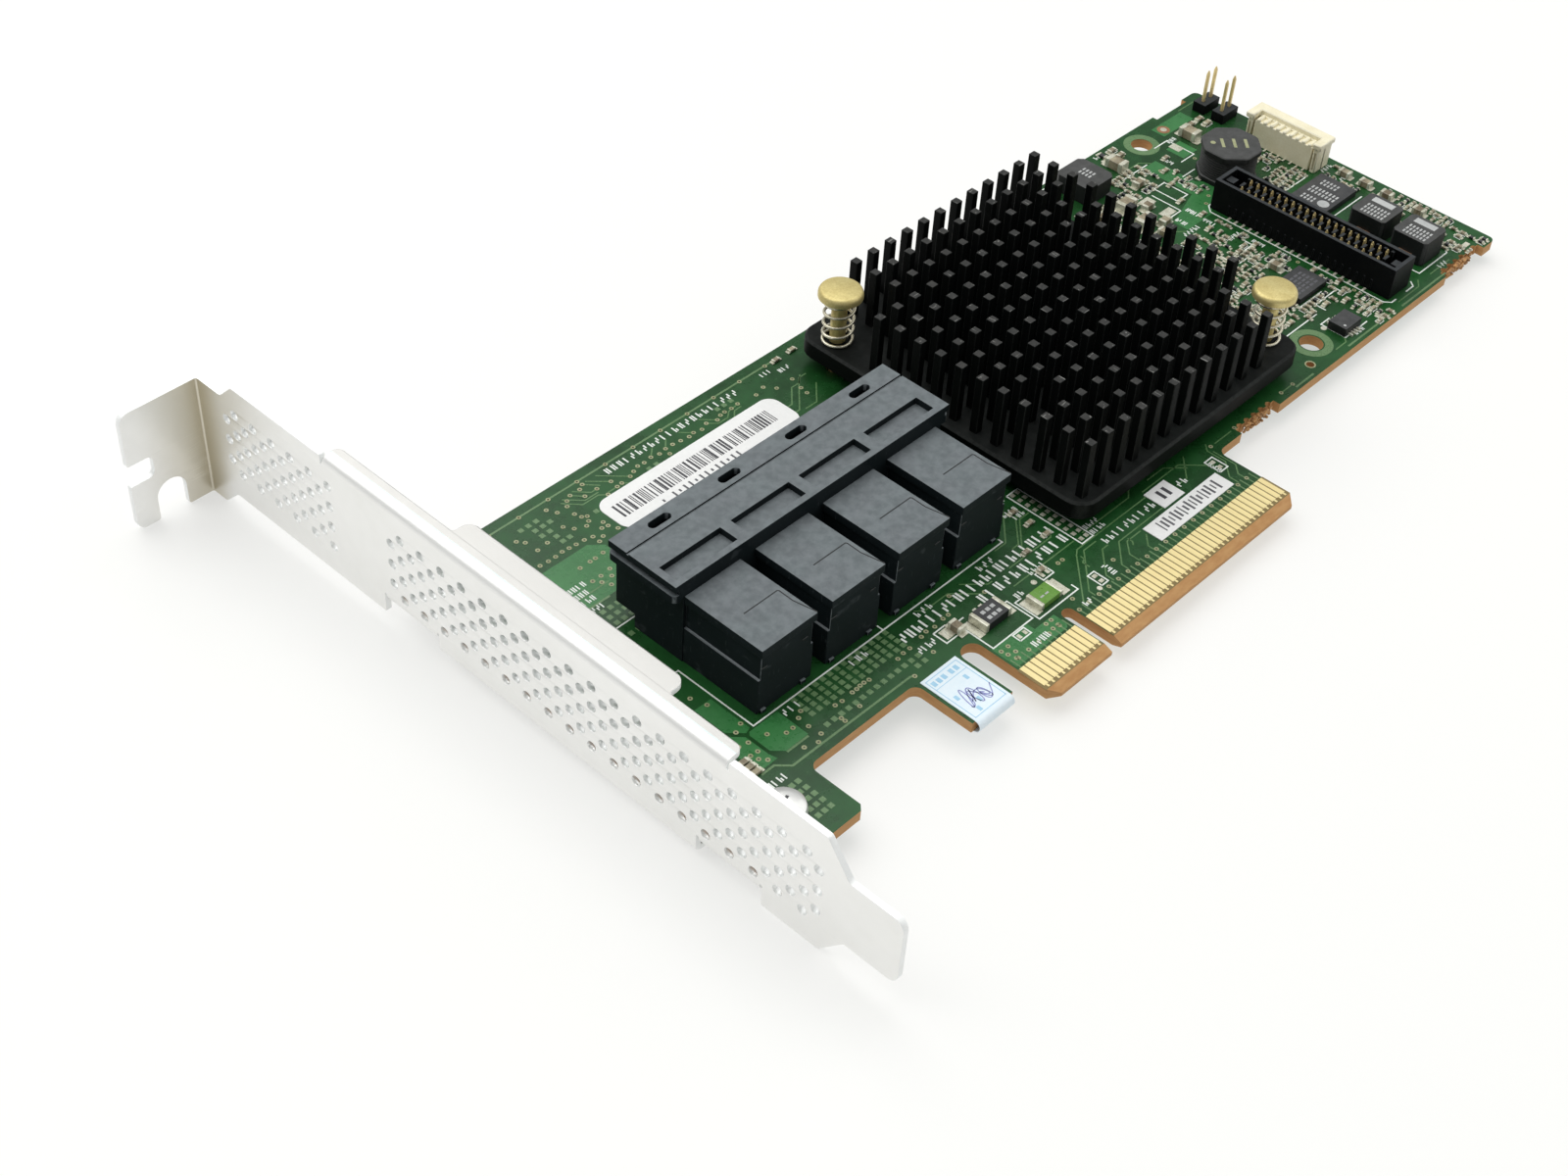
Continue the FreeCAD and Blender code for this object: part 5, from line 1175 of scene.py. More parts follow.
# Routes of the white lines
SILK_LINES: tuple[tuple[Flat, ...], ...] = (
    ((-42.2, 34.0), (-41.6, 34.0), (-41.6, 21.6), (4.1, 21.6), (4.1, 22.3)), ((-18.8, 21.7), (-18.8, 22.6)),
    ((-14.9, 16.9), (-14.9, 14.7), (-10.6, 14.7)), ((-14.9, 16.9), (-12.6, 16.9)),
    ((-10.0, 16.2), (-11.5, 16.2), (-11.5, 10.2), (-3.9, 10.2), (-3.9, 14.3), (-4.9, 14.3)),
    ((-2.2, 13.4), (-3.4, 13.4), (-3.4, 9.5), (4.3, 9.5), (4.3, 10.6)),
    ((4.5, 13.5), (2.4, 13.5), (2.4, 14.9), (4.5, 14.9), (4.5, 13.5)),
    ((11.3, 26.8), (11.3, 14.3), (13.6, 14.3), (13.6, 26.8), (11.3, 26.8)), ((-42.2, 44.2), (-38.5, 44.2)),
    ((75.4, 15.0), (73.4, 15.0), (73.4, 19.2), (75.6, 19.2)), ((76.4, 15.0), (79.0, 15.0)),
    ((84.8, 46.8), (84.8, 15.9), (85.6, 15.0), (86.8, 15.0)), ((84.8, 46.8), (86.0, 48.0), (88.0, 48.0)),
    ((89.5, 15.0), (91.4, 15.0), (92.2, 15.9)), ((94.9, 17.6), (94.9, 16.1), (102.6, 16.1), (103.4, 16.9)),
    ((94.9, 31.0), (94.9, 33.2), (105.8, 33.2)), ((81.7, 50.2), (81.7, 55.6)), ((77.6, 50.1), (81.7, 50.1)),
    ((66.0, 21.0), (75.0, 21.0)), ((76.8, 20.6), (76.8, 22.4), (82.4, 22.4), (82.4, 20.9)),
    ((74.2, 23.6), (80.2, 23.6)), ((77.0, 36.0), (79.2, 36.0), (79.2, 32.4)),
    ((80.4, 37.4), (82.4, 37.4), (82.4, 40.4)), ((92.6, 63.2), (96.0, 63.2), (96.0, 58.0), (92.6, 58.0)),
    ((98.6, 50.6), (103.8, 50.6)), ((98.4, 43.4), (98.4, 42.2), (104.4, 42.2)),
    ((70.0, 68.0), (80.4, 68.0), (80.4, 59.6)), ((82.2, 61.2), (88.0, 61.2)), ((89.4, 55.4), (92.6, 55.4)),
)
# Corners of the white frames
SILK_FRAMES: tuple[tuple[float, float, float, float], ...] = (
    (-8.1, 8.7, -6.0, 9.95), (7.0, 7.8, 8.3, 10.1), (35.9, 10.2, 37.6, 12.8), (83.4, 52.0, 86.0, 56.4),
)
# X, Y, height, marks, pitch and 1 for upright, of each row of plain marks
MARK_ROWS: tuple[tuple[float, float, float, int, float, int], ...] = (
    (-18.5, 18.2, 1.5, 23, 1.3, 0), (-6.1, 16.0, 1.5, 11, 1.6, 0), (-37.7, 20.0, 1.0, 3, 1.1, 0),
    (-25.9, 20.0, 1.0, 3, 1.1, 0), (-14.0, 20.0, 1.0, 3, 1.1, 0), (-2.1, 20.0, 1.0, 3, 1.1, 0),
    (-23.1, 65.4, 1.1, 22, 1.12, 0), (13.7, 12.1, 1.1, 10, 1.1, 0), (29.6, 12.1, 1.1, 2, 1.1, 0),
    (-18.5, 15.6, 1.0, 4, 0.8, 0), (-47.2, 13.3, 1.0, 4, 0.8, 0), (-7.5, 6.7, 1.0, 4, 0.8, 0),
    (2.0, 15.1, 0.9, 4, 0.8, 0), (-2.5, 13.6, 0.9, 2, 0.8, 0), (2.7, 6.8, 0.9, 2, 0.8, 0),
    (9.6, 8.0, 0.9, 3, 0.75, 1), (35.7, 10.4, 0.9, 3, 0.75, 1), (-42.1, 52.2, 0.9, 4, 0.75, 0),
    (-42.1, 50.9, 0.9, 3, 0.75, 0), (-42.1, 49.6, 0.9, 3, 0.75, 0), (-42.1, 47.9, 0.9, 3, 0.75, 0),
    (13.9, 15.6, 0.8, 4, 0.7, 0), (13.9, 14.4, 0.8, 4, 0.7, 0), (8.2, 26.4, 0.8, 4, 0.7, 0),
    (7.9, 24.2, 0.8, 4, 0.7, 0), (8.7, 23.0, 0.8, 3, 0.7, 0), (8.6, 64.6, 0.8, 3, 0.7, 0),
    (6.0, 65.6, 0.8, 3, 0.7, 0), (78.9, 47.4, 0.9, 4, 0.55, 1), (82.2, 47.6, 0.9, 4, 0.55, 1),
    (76.8, 45.4, 0.9, 5, 0.8, 0), (82.0, 44.4, 0.8, 4, 0.55, 1), (90.8, 58.6, 0.8, 4, 0.55, 1),
    (92.0, 49.2, 0.8, 3, 0.7, 0), (83.0, 36.0, 0.8, 4, 0.55, 1), (83.4, 31.8, 0.8, 4, 0.55, 1),
    (98.6, 14.6, 0.8, 3, 0.7, 0), (80.9, 40.2, 0.8, 4, 0.7, 0), (75.2, 14.2, 0.8, 3, 0.8, 0),
    (95.6, 62.4, 0.8, 3, 0.7, 0), (83.2, 67.4, 0.8, 3, 0.7, 0), (106.4, 37.6, 0.8, 3, 0.7, 0),
    (107.0, 41.0, 0.8, 4, 0.7, 0), (104.0, 19.2, 0.8, 3, 0.7, 0),
)
# X, Y, width and length of the bare pads
PADS: tuple[tuple[float, float, float, float], ...] = (
    (-7.6, 9.3, 0.5, 0.7), (-6.5, 9.3, 0.5, 0.7), (7.65, 8.4, 0.7, 0.55), (7.65, 9.5, 0.7, 0.55),
    (36.75, 10.9, 0.7, 0.6), (36.75, 12.1, 0.7, 0.6), (-10.8, 13.9, 1.1, 3.0), (-4.8, 13.9, 1.0, 3.0),
    (-2.6, 11.5, 1.2, 2.9), (2.8, 11.5, 1.3, 2.9), (-13.6, 15.8, 1.5, 1.6), (-8.0, 15.9, 0.6, 0.8),
    (-6.9, 15.9, 0.6, 0.8), (79.6, 55.0, 2.6, 1.7), (79.8, 51.2, 2.6, 1.5), (84.1, 66.0, 1.6, 1.4),
    (95.4, 61.0, 1.5, 2.0), (84.0, 62.8, 1.7, 1.0), (99.6, 44.6, 1.2, 1.0), (102.0, 44.6, 1.2, 1.0),
    (88.6, 53.0, 1.0, 1.2), (91.0, 53.4, 1.0, 1.0), (3.0, 14.2, 0.5, 0.7), (4.0, 14.2, 0.5, 0.7),
    (106.6, 15.2, 1.3, 0.8), (108.9, 14.2, 1.2, 0.8), (76.2, 38.6, 0.8, 0.8), (81.4, 14.6, 1.1, 0.8),
    (81.2, 13.9, 1.4, 0.5),
)
# X, Y and radius of the bare round pads
ROUND_PADS: tuple[Spot, ...] = (
    (1.2, 14.1, 0.42), (6.4, 7.7, 0.38), (72.9, 18.4, 0.45), (82.8, 60.0, 0.4), (90.0, 57.2, 0.4),
    (98.1, 65.5, 0.55),
)


# The card's sub-assemblies


@dataclass(frozen=True)
class Bend:
    """One fold of a metal sheet, given in the sheet's unfolded plan."""

    axis: int
    sign: int
    start: float
    low: float
    high: float
    side: int


@dataclass
class Bracket:
    """Folded slot bracket: long plate, screw flange, side leaves, board tabs and vents."""

    sheet: float = 0.86
    inner_x: float = -56.45
    inside_radius: float = 0.3
    edge: float = 0.07
    flange_y: float = 105.61
    flange_tip_x: float = -69.0
    high_z: float = 14.4
    low_z: float = -4.32
    tab_low_z: float = -2.43
    flange_z: Flat = (-7.2, 11.7)
    flange_step: tuple[float, float, float] = (0.2, 3.5, 3.7)
    notch: Spot = (-63.35, -3.81, 2.21)
    notch_steps: int = 12
    tongue_y: Flat = (-14.4, -6.8)
    tongue_z: Flat = (-0.3, 9.89)
    foot_y: float = -3.4
    leaf_y: Flat = (11.3, 79.4)
    wide_leaf_y: Flat = (22.6, 58.5)
    low_leaf_y: Flat = (15.3, 59.1)
    leaf_reach: Spot = (2.7, 5.4, 2.8)
    low_edge_y: Flat = (5.15, 99.02)
    tabs: tuple[Flat, ...] = ((5.5, 14.9), (59.4, 68.8))
    tab_reach: float = 12.2
    slit: float = 0.35
    slit_depth: float = 0.15
    screw_y: Flat = (10.2, 64.05)
    screw_x: float = -48.6
    screw_radius: float = 1.6
    vent_rows: tuple[tuple[float, float, int], ...] = ((99.05, 1.838, 12), (67.1, 1.834, 39))
    vent_low_z: float = 0.1
    vent_pitch_z: float = 1.65
    vent_radius: float = 0.72
    vent_sides: int = 14
    bend_steps: int = 5
    bends: list[Bend] = field(default_factory=list)

    @property
    def outer_radius(self) -> float:
        """Radius of a bend's outer face."""
        return self.inside_radius + self.sheet

    @property
    def middle_radius(self) -> float:
        """Radius of a bend's middle line."""
        return self.inside_radius + self.sheet / 2

    @property
    def arc(self) -> float:
        """Length of a bend's middle line."""
        return self.middle_radius * math.pi / 2

    def tip(self, reach: float) -> float:
        """Unfolded length of a leaf beyond the start of its bend."""
        return self.arc + reach - self.outer_radius

    def outline(self) -> list[Flat]:
        """Draw the unfolded sheet, with Y along it and Z across it, and note its bends.

        Returns:
            Points of its outline.
        """
        flange_start = self.flange_y - self.outer_radius
        flange_end = flange_start + self.tip(self.inner_x - self.flange_tip_x)
        high_start = self.high_z - self.outer_radius
        low_start = self.low_z + self.outer_radius
        tab_start = self.tab_low_z + self.outer_radius
        narrow, wide = (high_start + self.tip(reach) for reach in self.leaf_reach[:2])
        low_leaf = low_start - self.tip(self.leaf_reach[2])
        tab_end = tab_start - self.tip(self.tab_reach)
        slit, high_slit = tab_start + self.slit_depth, high_start - self.slit_depth
        self.bends = [
            Bend(0, 1, flange_start, -8.0, 12.5, -1),
            Bend(1, 1, high_start, self.leaf_y[0] - 0.1, self.leaf_y[1] + 0.1, 1),
            Bend(1, -1, low_start, self.low_leaf_y[0] - 0.1, self.low_leaf_y[1] + 0.1, 1),
            *(Bend(1, -1, tab_start, low - 0.1, high + 0.1, 1) for low, high in self.tabs),
        ]
        notch_x, notch_z, notch_radius = self.notch
        notch = flange_end - (notch_x - self.flange_tip_x)
        arch = []
        for step in range(self.notch_steps + 1):
            angle = math.pi * step / self.notch_steps
            arch.append((notch - notch_radius * math.cos(angle),
                         notch_z + notch_radius * math.sin(angle), 0.0))
        flange_low, flange_high = self.flange_z
        step_low, step_high, step_depth = self.flange_step
        tongue_end, tongue_start = self.tongue_y
        tongue_low, tongue_high = self.tongue_z
        leaf_start, leaf_end = self.leaf_y
        wide_start, wide_end = self.wide_leaf_y
        low_leaf_start, low_leaf_end = self.low_leaf_y
        (near_tab, near_tab_end), (far_tab, far_tab_end) = self.tabs
        low_edge, low_edge_end = self.low_edge_y
        corners = [
            (101.9, flange_low, 1.0), (notch - notch_radius, flange_low, 0.4), *arch,
            (notch + notch_radius, flange_low, 0.4), (flange_end, flange_low, 1.5),
            (flange_end, step_low, 0.3), (flange_end - step_depth, step_low, 0.9),
            (flange_end - step_depth, step_high, 0.9), (flange_end, step_high, 0.3),
            (flange_end, flange_high, 1.5), (99.9, flange_high, 1.0), (97.2, self.high_z, 1.0),
            (leaf_end + self.slit, self.high_z, 0.3), (leaf_end + self.slit, high_slit, 0.1),
            (leaf_end, high_slit, 0.1), (leaf_end, narrow, 1.0), (wide_end, narrow, 0.5),
            (wide_end, wide, 1.5), (wide_start, wide, 1.5), (wide_start, narrow, 0.5),
            (leaf_start, narrow, 1.0), (leaf_start, high_slit, 0.1), (leaf_start - self.slit, high_slit, 0.1),
            (leaf_start - self.slit, self.high_z, 0.3), (self.foot_y, self.high_z, 0.6),
            (tongue_start, tongue_high, 0.8), (tongue_end, tongue_high, 1.5), (tongue_end, tongue_low, 1.5),
            (tongue_start, tongue_low, 0.6), (self.foot_y, self.low_z, 0.8), (low_edge, self.low_z, 0.2),
            (low_edge, slit, 0.1), (near_tab, slit, 0.1), (near_tab, tab_end, 1.5),
            (near_tab_end, tab_end, 1.5), (near_tab_end, slit, 0.1), (low_leaf_start, slit, 0.1),
            (low_leaf_start, low_leaf, 1.0), (low_leaf_end, low_leaf, 1.0), (low_leaf_end, slit, 0.1),
            (far_tab, slit, 0.1), (far_tab, tab_end, 1.5), (far_tab_end, tab_end, 1.5),
            (far_tab_end, slit, 0.1), (far_tab_end + self.slit, slit, 0.1),
            (far_tab_end + self.slit, self.low_z, 0.2), (low_edge_end, self.low_z, 1.0),
        ]
        return eased(corners)

    def vents(self) -> list[Spot]:
        """Place the vents, in columns of four and three by turns.

        Returns:
            Place in the unfolded sheet and radius of each vent.
        """
        places = []
        for first, step, columns in self.vent_rows:
            for column in range(columns):
                levels = (0, 2, 4, 6) if column % 2 else (1, 3, 5)
                y = first - step * column
                places += [(y, self.vent_low_z + self.vent_pitch_z * level, self.vent_radius)
                           for level in levels]
        return places

    def holes(self) -> list[list[Flat]]:
        """Draw the vents and the two screw holes in the unfolded sheet.

        Returns:
            Outline of each hole, clockwise.
        """
        tab_start = self.tab_low_z + self.outer_radius
        screw = tab_start - self.tip(self.screw_x - self.inner_x + self.sheet)
        angles = [-math.tau * step / self.vent_sides for step in range(self.vent_sides)]
        places = self.vents() + [(y, screw, self.screw_radius) for y in self.screw_y]
        return [[(y + radius * math.cos(angle), z + radius * math.sin(angle)) for angle in angles]
                for y, z, radius in places]

    def flat_sheet(self) -> bmesh.types.BMesh:
        """Make the unfolded sheet as a solid with eased edges, in millimetres.

        Returns:
            Mesh with Y and Z of the sheet as its first two axes and its thickness as the third.
        """
        sheet = bpy.data.curves.new("bracket_sheet", "CURVE")
        sheet.dimensions = "2D"
        sheet.fill_mode = "BOTH"
        sheet.extrude = self.sheet / 2 - self.edge
        sheet.bevel_depth = self.edge
        sheet.bevel_resolution = 1
        sheet.offset = -self.edge
        for outline in [self.outline(), *self.holes()]:
            spline = sheet.splines.new("POLY")
            spline.points.add(len(outline) - 1)
            for point, (y, z) in zip(spline.points, outline):
                point.co = (y, z, 0.0, 1.0)
            spline.use_cyclic_u = True
        pattern = bpy.data.objects.new("bracket_sheet", sheet)
        flat = bpy.data.meshes.new_from_object(pattern)
        worked = bmesh.new()
        worked.from_mesh(flat)
        bpy.data.objects.remove(pattern)
        bpy.data.meshes.remove(flat)
        bmesh.ops.remove_doubles(worked, verts=worked.verts, dist=1e-4)
        return worked

    def folded(self, point: Vector) -> Spot:
        """Place of a point of the unfolded sheet once the sheet is bent.

        Args:
            point: Y, Z and height above the sheet's middle.

        Returns:
            The place on the card.
        """
        along, across, height = point
        spot = [self.inner_x - self.sheet / 2 + height, along, across]
        for bend in self.bends:
            here, other = (along, across) if bend.axis == 0 else (across, along)
            run = (here - bend.start) * bend.sign
            if run <= 0 or not bend.low <= other <= bend.high:
                continue
            radius = self.middle_radius - bend.side * height
            angle = min(run / self.middle_radius, math.pi / 2)
            beyond = max(0.0, run - self.arc)
            centre = self.inner_x - self.sheet / 2 + bend.side * self.middle_radius
            spot[0] = centre - bend.side * radius * math.cos(angle) + bend.side * beyond
            spot[1 + bend.axis] = bend.start + bend.sign * radius * math.sin(angle)
        return tuple(spot)

    def build(self) -> None:
        """Cut, fold and show the bracket."""
        worked = self.flat_sheet()
        for bend in self.bends:
            normal = Vector((1.0, 0.0, 0.0) if bend.axis == 0 else (0.0, 1.0, 0.0))
            for step in range(self.bend_steps + 1):
                place = normal * (bend.start + bend.sign * self.arc * step / self.bend_steps)
                bmesh.ops.bisect_plane(worked, geom=[*worked.verts, *worked.edges, *worked.faces],
                                       dist=1e-5, plane_co=place, plane_no=normal)
        worked.verts.index_update()
        shape = Shape()
        shape.add([self.folded(vertex.co) for vertex in worked.verts],
                  [[vertex.index for vertex in face.verts] for face in worked.faces])
        vents = [Vector(place[:2]) for place in self.vents()]
        for number, face in enumerate(worked.faces):
            centre = face.calc_center_median().to_2d()
            edge = abs(face.normal.z) < 0.5
            # Cut faces get the painted edge highlight, and the vents' walls get the brighter painted
            # highlight.
            wall = edge and any((centre - vent).length < self.vent_radius + 0.1 for vent in vents)
            shape.skins[number] = 2 if wall else int(edge)
        worked.free()
        finishes = (SATIN_NICKEL, CUT_EDGE_HIGHLIGHT, VENT_WALL_HIGHLIGHT)
        shape.piece("bracket", finishes, "bracket_metal", ["slot_bracket"], smooth=35.0)


@dataclass
class Heatsink:
    """Square base with a field of square pins."""

    centre: Flat = (36.9, 40.3)
    side: float = 50.0
    corner: float = 3.0
    base: tuple[float, float] = (1.7, 4.7)
    top: float = 13.5
    pitch: float = 3.52
    pin: float = 1.25
    count: int = 14
    saw_marks: float = 0.06
    seed: int = 3

    def missing(self, row: int, column: int) -> bool:
        """Tell whether a pin is left out, for the push pins and two gaps.

        Args:
            row: Row along X.
            column: Place in the row, along Y.

        Returns:
            True where there is no pin.
        """
        near = row < 2 and column > 10
        far = row > 11 and column < 3
        return near or far or (row, column) in ((1, 3), (12, 10))

    def build(self) -> None:
        """Show the base and the pins."""
        shape = Shape()
        low, high = self.base
        rings = []
        for inset, z in ((0.4, low), (0.0, low + 0.4), (0.0, high - 0.35), (0.35, high)):
            half = self.side / 2 - inset
            rings.append(square_ring(self.centre, (half, half), self.corner - inset, z, 5))
        shape.loft(rings)
        rng = random.Random(self.seed)
        for row in range(self.count):
            for column in range(self.count):
                if self.missing(row, column):
                    continue
                x, y = (centre + (number - (self.count - 1) / 2) * self.pitch
                        for centre, number in zip(self.centre, (row, column)))
                self.pin_form(shape, (x, y), self.top - rng.uniform(0.0, self.saw_marks))
        shape.piece("heatsink_dressed", (ANODISED, PIN_TOP), "black_anodised", ["heatsink"])

    def pin_form(self, shape: Shape, place: Flat, top: float) -> None:
        """Add one pin with eased edges and a worn top.

        Args:
            shape: Shape that takes the pin.
            place: Its middle in plan.
            top: Height of its top.
        """
        half = self.pin / 2
        sections = ((half, 0.1, self.base[1] - 0.1), (half, 0.1, top - 0.06), (half - 0.06, 0.05, top))
        shape.loft([square_ring(place, (reach, reach), ease, z) for reach, ease, z in sections])
        shape.skins[-1] = 1


@dataclass
class PushPins:
    """Two brass push pins with their springs."""

    places: tuple[Flat, ...] = ((15.0, 60.45), (58.8, 20.15))
    head_radius: float = 3.125
    head_low: float = 12.0
    head_high: float = 13.5
    stem: float = 1.1
    barb_radius: float = 1.6
    coil_radius: float = 2.075
    wire: float = 0.225
    turns: float = 5.5
    turn_steps: int = 28
    end_turns: float = 0.7
    end_rise: float = 0.08
    spring: tuple[float, float] = (4.7, 12.0)

    def build(self) -> None:
        """Show the pins and the springs."""
        pins, coils = Shape(), Shape()
        reach, rise = 0.62, self.head_high - self.head_low - 0.75
        for place in self.places:
            dome = [(self.head_radius - reach * (1 - math.cos(angle)),
                     self.head_low + 0.55 + rise * math.sin(angle))
                    for angle in (math.radians(step) for step in (15, 30, 45, 60, 75, 90))]
            dome.append((self.head_radius * 0.4, self.head_high - 0.04))
            profile = [
                (0.25, BOARD_BACK - 2.3), (0.7, BOARD_BACK - 2.25), (self.barb_radius, BOARD_BACK - 0.35),
                (self.barb_radius, BOARD_BACK - 0.02), (self.stem - 0.15, BOARD_BACK - 0.02),
                (self.stem - 0.1, self.spring[0]), (self.stem, self.spring[0] + 0.1),
                (self.stem, self.head_low - 0.6), (self.stem + 0.7, self.head_low - 0.5),
                (self.stem + 0.75, self.head_low), (self.head_radius - 0.12, self.head_low),
                (self.head_radius, self.head_low + 0.12), (self.head_radius, self.head_low + 0.55),
                *dome, (0.3, self.head_high),
            ]
            pins.lathe(place, profile, 40)
            coils.tube(self.coil_path(place), self.wire, 10)
        pins.piece("push_pins_dressed", [BRASS], "brass_pin", ["push_pins"], smooth=32.0)
        coils.piece("springs_dressed", [SPRING_STEEL], "spring_steel", ["push_pin_springs"])

    def coil_path(self, place: Flat) -> list[Vector]:
        """Middle line of one spring, with its end coils closed.

        Args:
            place: Axis in plan.

        Returns:
            Points from the heatsink up to the head.
        """
        low, high = self.spring[0] + self.wire, self.spring[1] - self.wire
        steps = int(self.turns * self.turn_steps)
        path = []
        for step in range(steps + 1):
            share = step / steps
            open_turns = (share * self.turns - self.end_turns) / (self.turns - 2 * self.end_turns)
            rise = min(1.0, max(0.0, open_turns))
            z = low + (high - low) * (rise * (1 - self.end_rise) + share * self.end_rise)
            angle = math.tau * share * self.turns
            path.append(Vector((place[0] + self.coil_radius * math.cos(angle),
                                place[1] + self.coil_radius * math.sin(angle), z)))
        return path


@dataclass
class Screws:
    """Pan-head screws that hold the board to the bracket's tabs."""

    places: tuple[Flat, ...] = ((-48.6, 10.2), (-48.6, 64.05))
    shank_radius: float = 1.4
    arm: float = 1.95
    arm_width: float = 0.42
    arm_depth: float = 0.3

    def build(self) -> None:
        """Show both screws, each with a dark cross painted as the shade of its recess."""
        shape = Shape()
        for (low, high), place in zip(PackedSolid("bracket_screws").boxes(), self.places):
            top = high[2]
            radius = (high[0] - low[0]) / 2
            profile = [(0.5, low[2]), (self.shank_radius - 0.15, low[2]), (self.shank_radius, low[2] + 0.15),
                       (self.shank_radius, 0.01), (radius - 0.1, 0.01), (radius, 0.15), (radius, top * 0.4),
                       (radius * 0.93, top * 0.72), (radius * 0.75, top * 0.93), (radius * 0.5, top),
                       (radius * 0.2, top)]
            shape.lathe(place, profile, 40)
            # Dark bars on the head: painted shade of the cross recess.
            for turn in (20.0, 110.0):
                shape.bar(place, (self.arm, self.arm_width), top - self.arm_depth, top + 0.004, 1, turn)
        finishes = (SCREW_STEEL, DARK_INK)
        shape.piece("bracket_screws_dressed", finishes, "screw_steel", ["bracket_screws"], smooth=32.0)


@dataclass
class PortBlock:
    """Four-port cable connector: shroud, rear covers, tongues and contacts."""

    first_x: float = -35.43
    pitch: float = 11.85
    count: int = 4
    mouldings: tuple[tuple[str, str, float], ...] = (
        ("port_shroud", "shroud_dressed", 0.14), ("wafer_covers", "covers_dressed", 0.16),
        ("port_inserts", "inserts_dressed", 0.08),
    )
    contacts: int = 9
    contact_pitch: float = 0.75
    contact_y: float = 38.6
    contact: Spot = (0.34, 3.6, 0.12)
    contact_rows: tuple[float, ...] = (4.6, 5.9, 7.4, 8.7)
    seam: tuple[Flat, ...] = ((-2.5, 28.0), (3.1, 28.0), (3.25, 27.8), (3.2, 25.6), (3.9, 22.3))
    seam_width: float = 0.17
    window: tuple[float, float, float, float] = (0.7, 44.4, 3.7, 1.4)
    window_rim: tuple[Spot, ...] = (
        (0.0, 0.02, 12.98), (0.08, 0.6, 13.0), (0.12, 0.58, 12.9), (0.12, 0.58, 12.0), (0.0, 0.02, 12.0),
    )

    def build(self) -> None:
        """Show the mouldings and the contacts in the ports."""
        for node, name, ease in self.mouldings:
            PackedSolid(node).softened(name, PORT_PLASTIC, "connector_plastic", ease)
        contacts = Shape()
        for number in range(self.count):
            for place in range(self.contacts):
                x = self.first_x + self.pitch * number
                x += (place - (self.contacts - 1) / 2) * self.contact_pitch
                for z in self.contact_rows:
                    contacts.block((x, self.contact_y), self.contact, z, 0.03)
        contacts.piece("port_contacts", [PIN_GOLD], "gold")
        self.marks()

    def marks(self) -> None:
        """Show the seams on the covers as thin dark lines of painted shade, and the feet and gate marks on
        their front faces.
        """
        shape = Shape()
        for low, high in PackedSolid("wafer_covers").boxes():
            shift = high[0] - 4.0 + 0.08
            path = [(x + shift, y) for x, y in self.seam]
            path[-1] = (path[-1][0], low[1] + 0.16)
            # Seam drawn as a thin dark line: painted shade of the groove.
            shape.stroke(path, self.seam_width, high[2] - 0.04, high[2] + 0.012)
            for step in (1.6, 8.4):
                x = high[0] - 10.4 + step
                shape.block((x, low[1] + 0.02), (1.0, 0.1, 0.16), high[2] - 3.0, 0.03, 1)
                shape.block((x + 0.4, low[1] + 0.5), (0.8, 0.9, 0.55), 0.0, 0.06, 2)
        shift, y, length, width = self.window
        for number in range(self.count):
            x = self.first_x + self.pitch * number + shift
            rings = [square_ring((x, y), (length / 2 - inset, width / 2 - inset), radius, z, 5)
                     for inset, radius, z in self.window_rim]
            shape.loft(rings, 2, closed=True)
        shape.piece("cover_marks", (SEAM_PAINTED_SHADE, FERRITE, PORT_PLASTIC), "connector_plastic")


@dataclass
class Mezzanine:
    """Daughter-card connector with its two rows of pins."""

    left: float = 85.7
    right: float = 91.1
    wall: float = 0.65
    first_y: float = 19.585
    pitch: float = 1.27
    count: int = 20
    floor: float = 1.2
    top: float = 5.14

    def build(self) -> None:
        """Show the housing, its ribs and the pointed pins."""
        PackedSolid("mezzanine_housing").softened("mezzanine_dressed", BLACK_PLASTIC, "black_plastic", 0.1)
        pins = Shape()
        for low, high in PackedSolid("mezzanine_pins").boxes():
            pointed_pin(pins, low, (*high[:2], high[2] + 0.15))
            pins.block(middle(low, high), (0.52, 0.3, 0.36), high[2] - 0.5, 0.1)
        pins.piece("mezzanine_pins_dressed", [PIN_GOLD], "gold", ["mezzanine_pins"])
        ribs = Shape()
        for number in range(self.count + 1):
            y = self.first_y + (number - 0.5) * self.pitch
            for x, inward in ((self.left, 1), (self.right, -1)):
                ribs.block((x + inward * (self.wall + 0.2), y), (0.42, 0.5, self.top - self.floor - 0.4),
                           self.floor - 0.02, 0.05)
                ribs.block((x - inward * 0.03, y), (0.1, 0.3, 1.7), 0.3, 0.03)
            centre = ((self.left + self.right) / 2, y)
            ribs.block(centre, (1.3, 0.5, self.top - self.floor - 0.5), self.floor - 0.02, 0.05)
            if number < self.count:
                for x in (self.left - 0.45, self.right + 0.45):
                    ribs.block((x, y + self.pitch / 2), (0.9, 0.42, 0.16), 0.0, 0.04, 1)
        ribs.piece("mezzanine_ribs", (BLACK_PLASTIC, TIN), "black_plastic")


def pointed_pin(shape: Shape, low: Spot, high: Spot, taper: float = 0.35) -> None:
    """Add a square pin with a tapered tip inside the given box.

    Args:
        shape: Shape that takes the pin.
        low: Lowest corner of its box.
        high: Highest corner.
        taper: Length of the tapered tip.
    """
    half = [(top - bottom) / 2 for bottom, top in zip(low[:2], high[:2])]
    sections = ((0.02, low[2]), (0.02, high[2] - taper), (half[0] * 0.6, high[2]))
    shape.loft([square_ring(middle(low, high), (half[0] - inset, half[1] - inset), 0.04, z)
                for inset, z in sections])


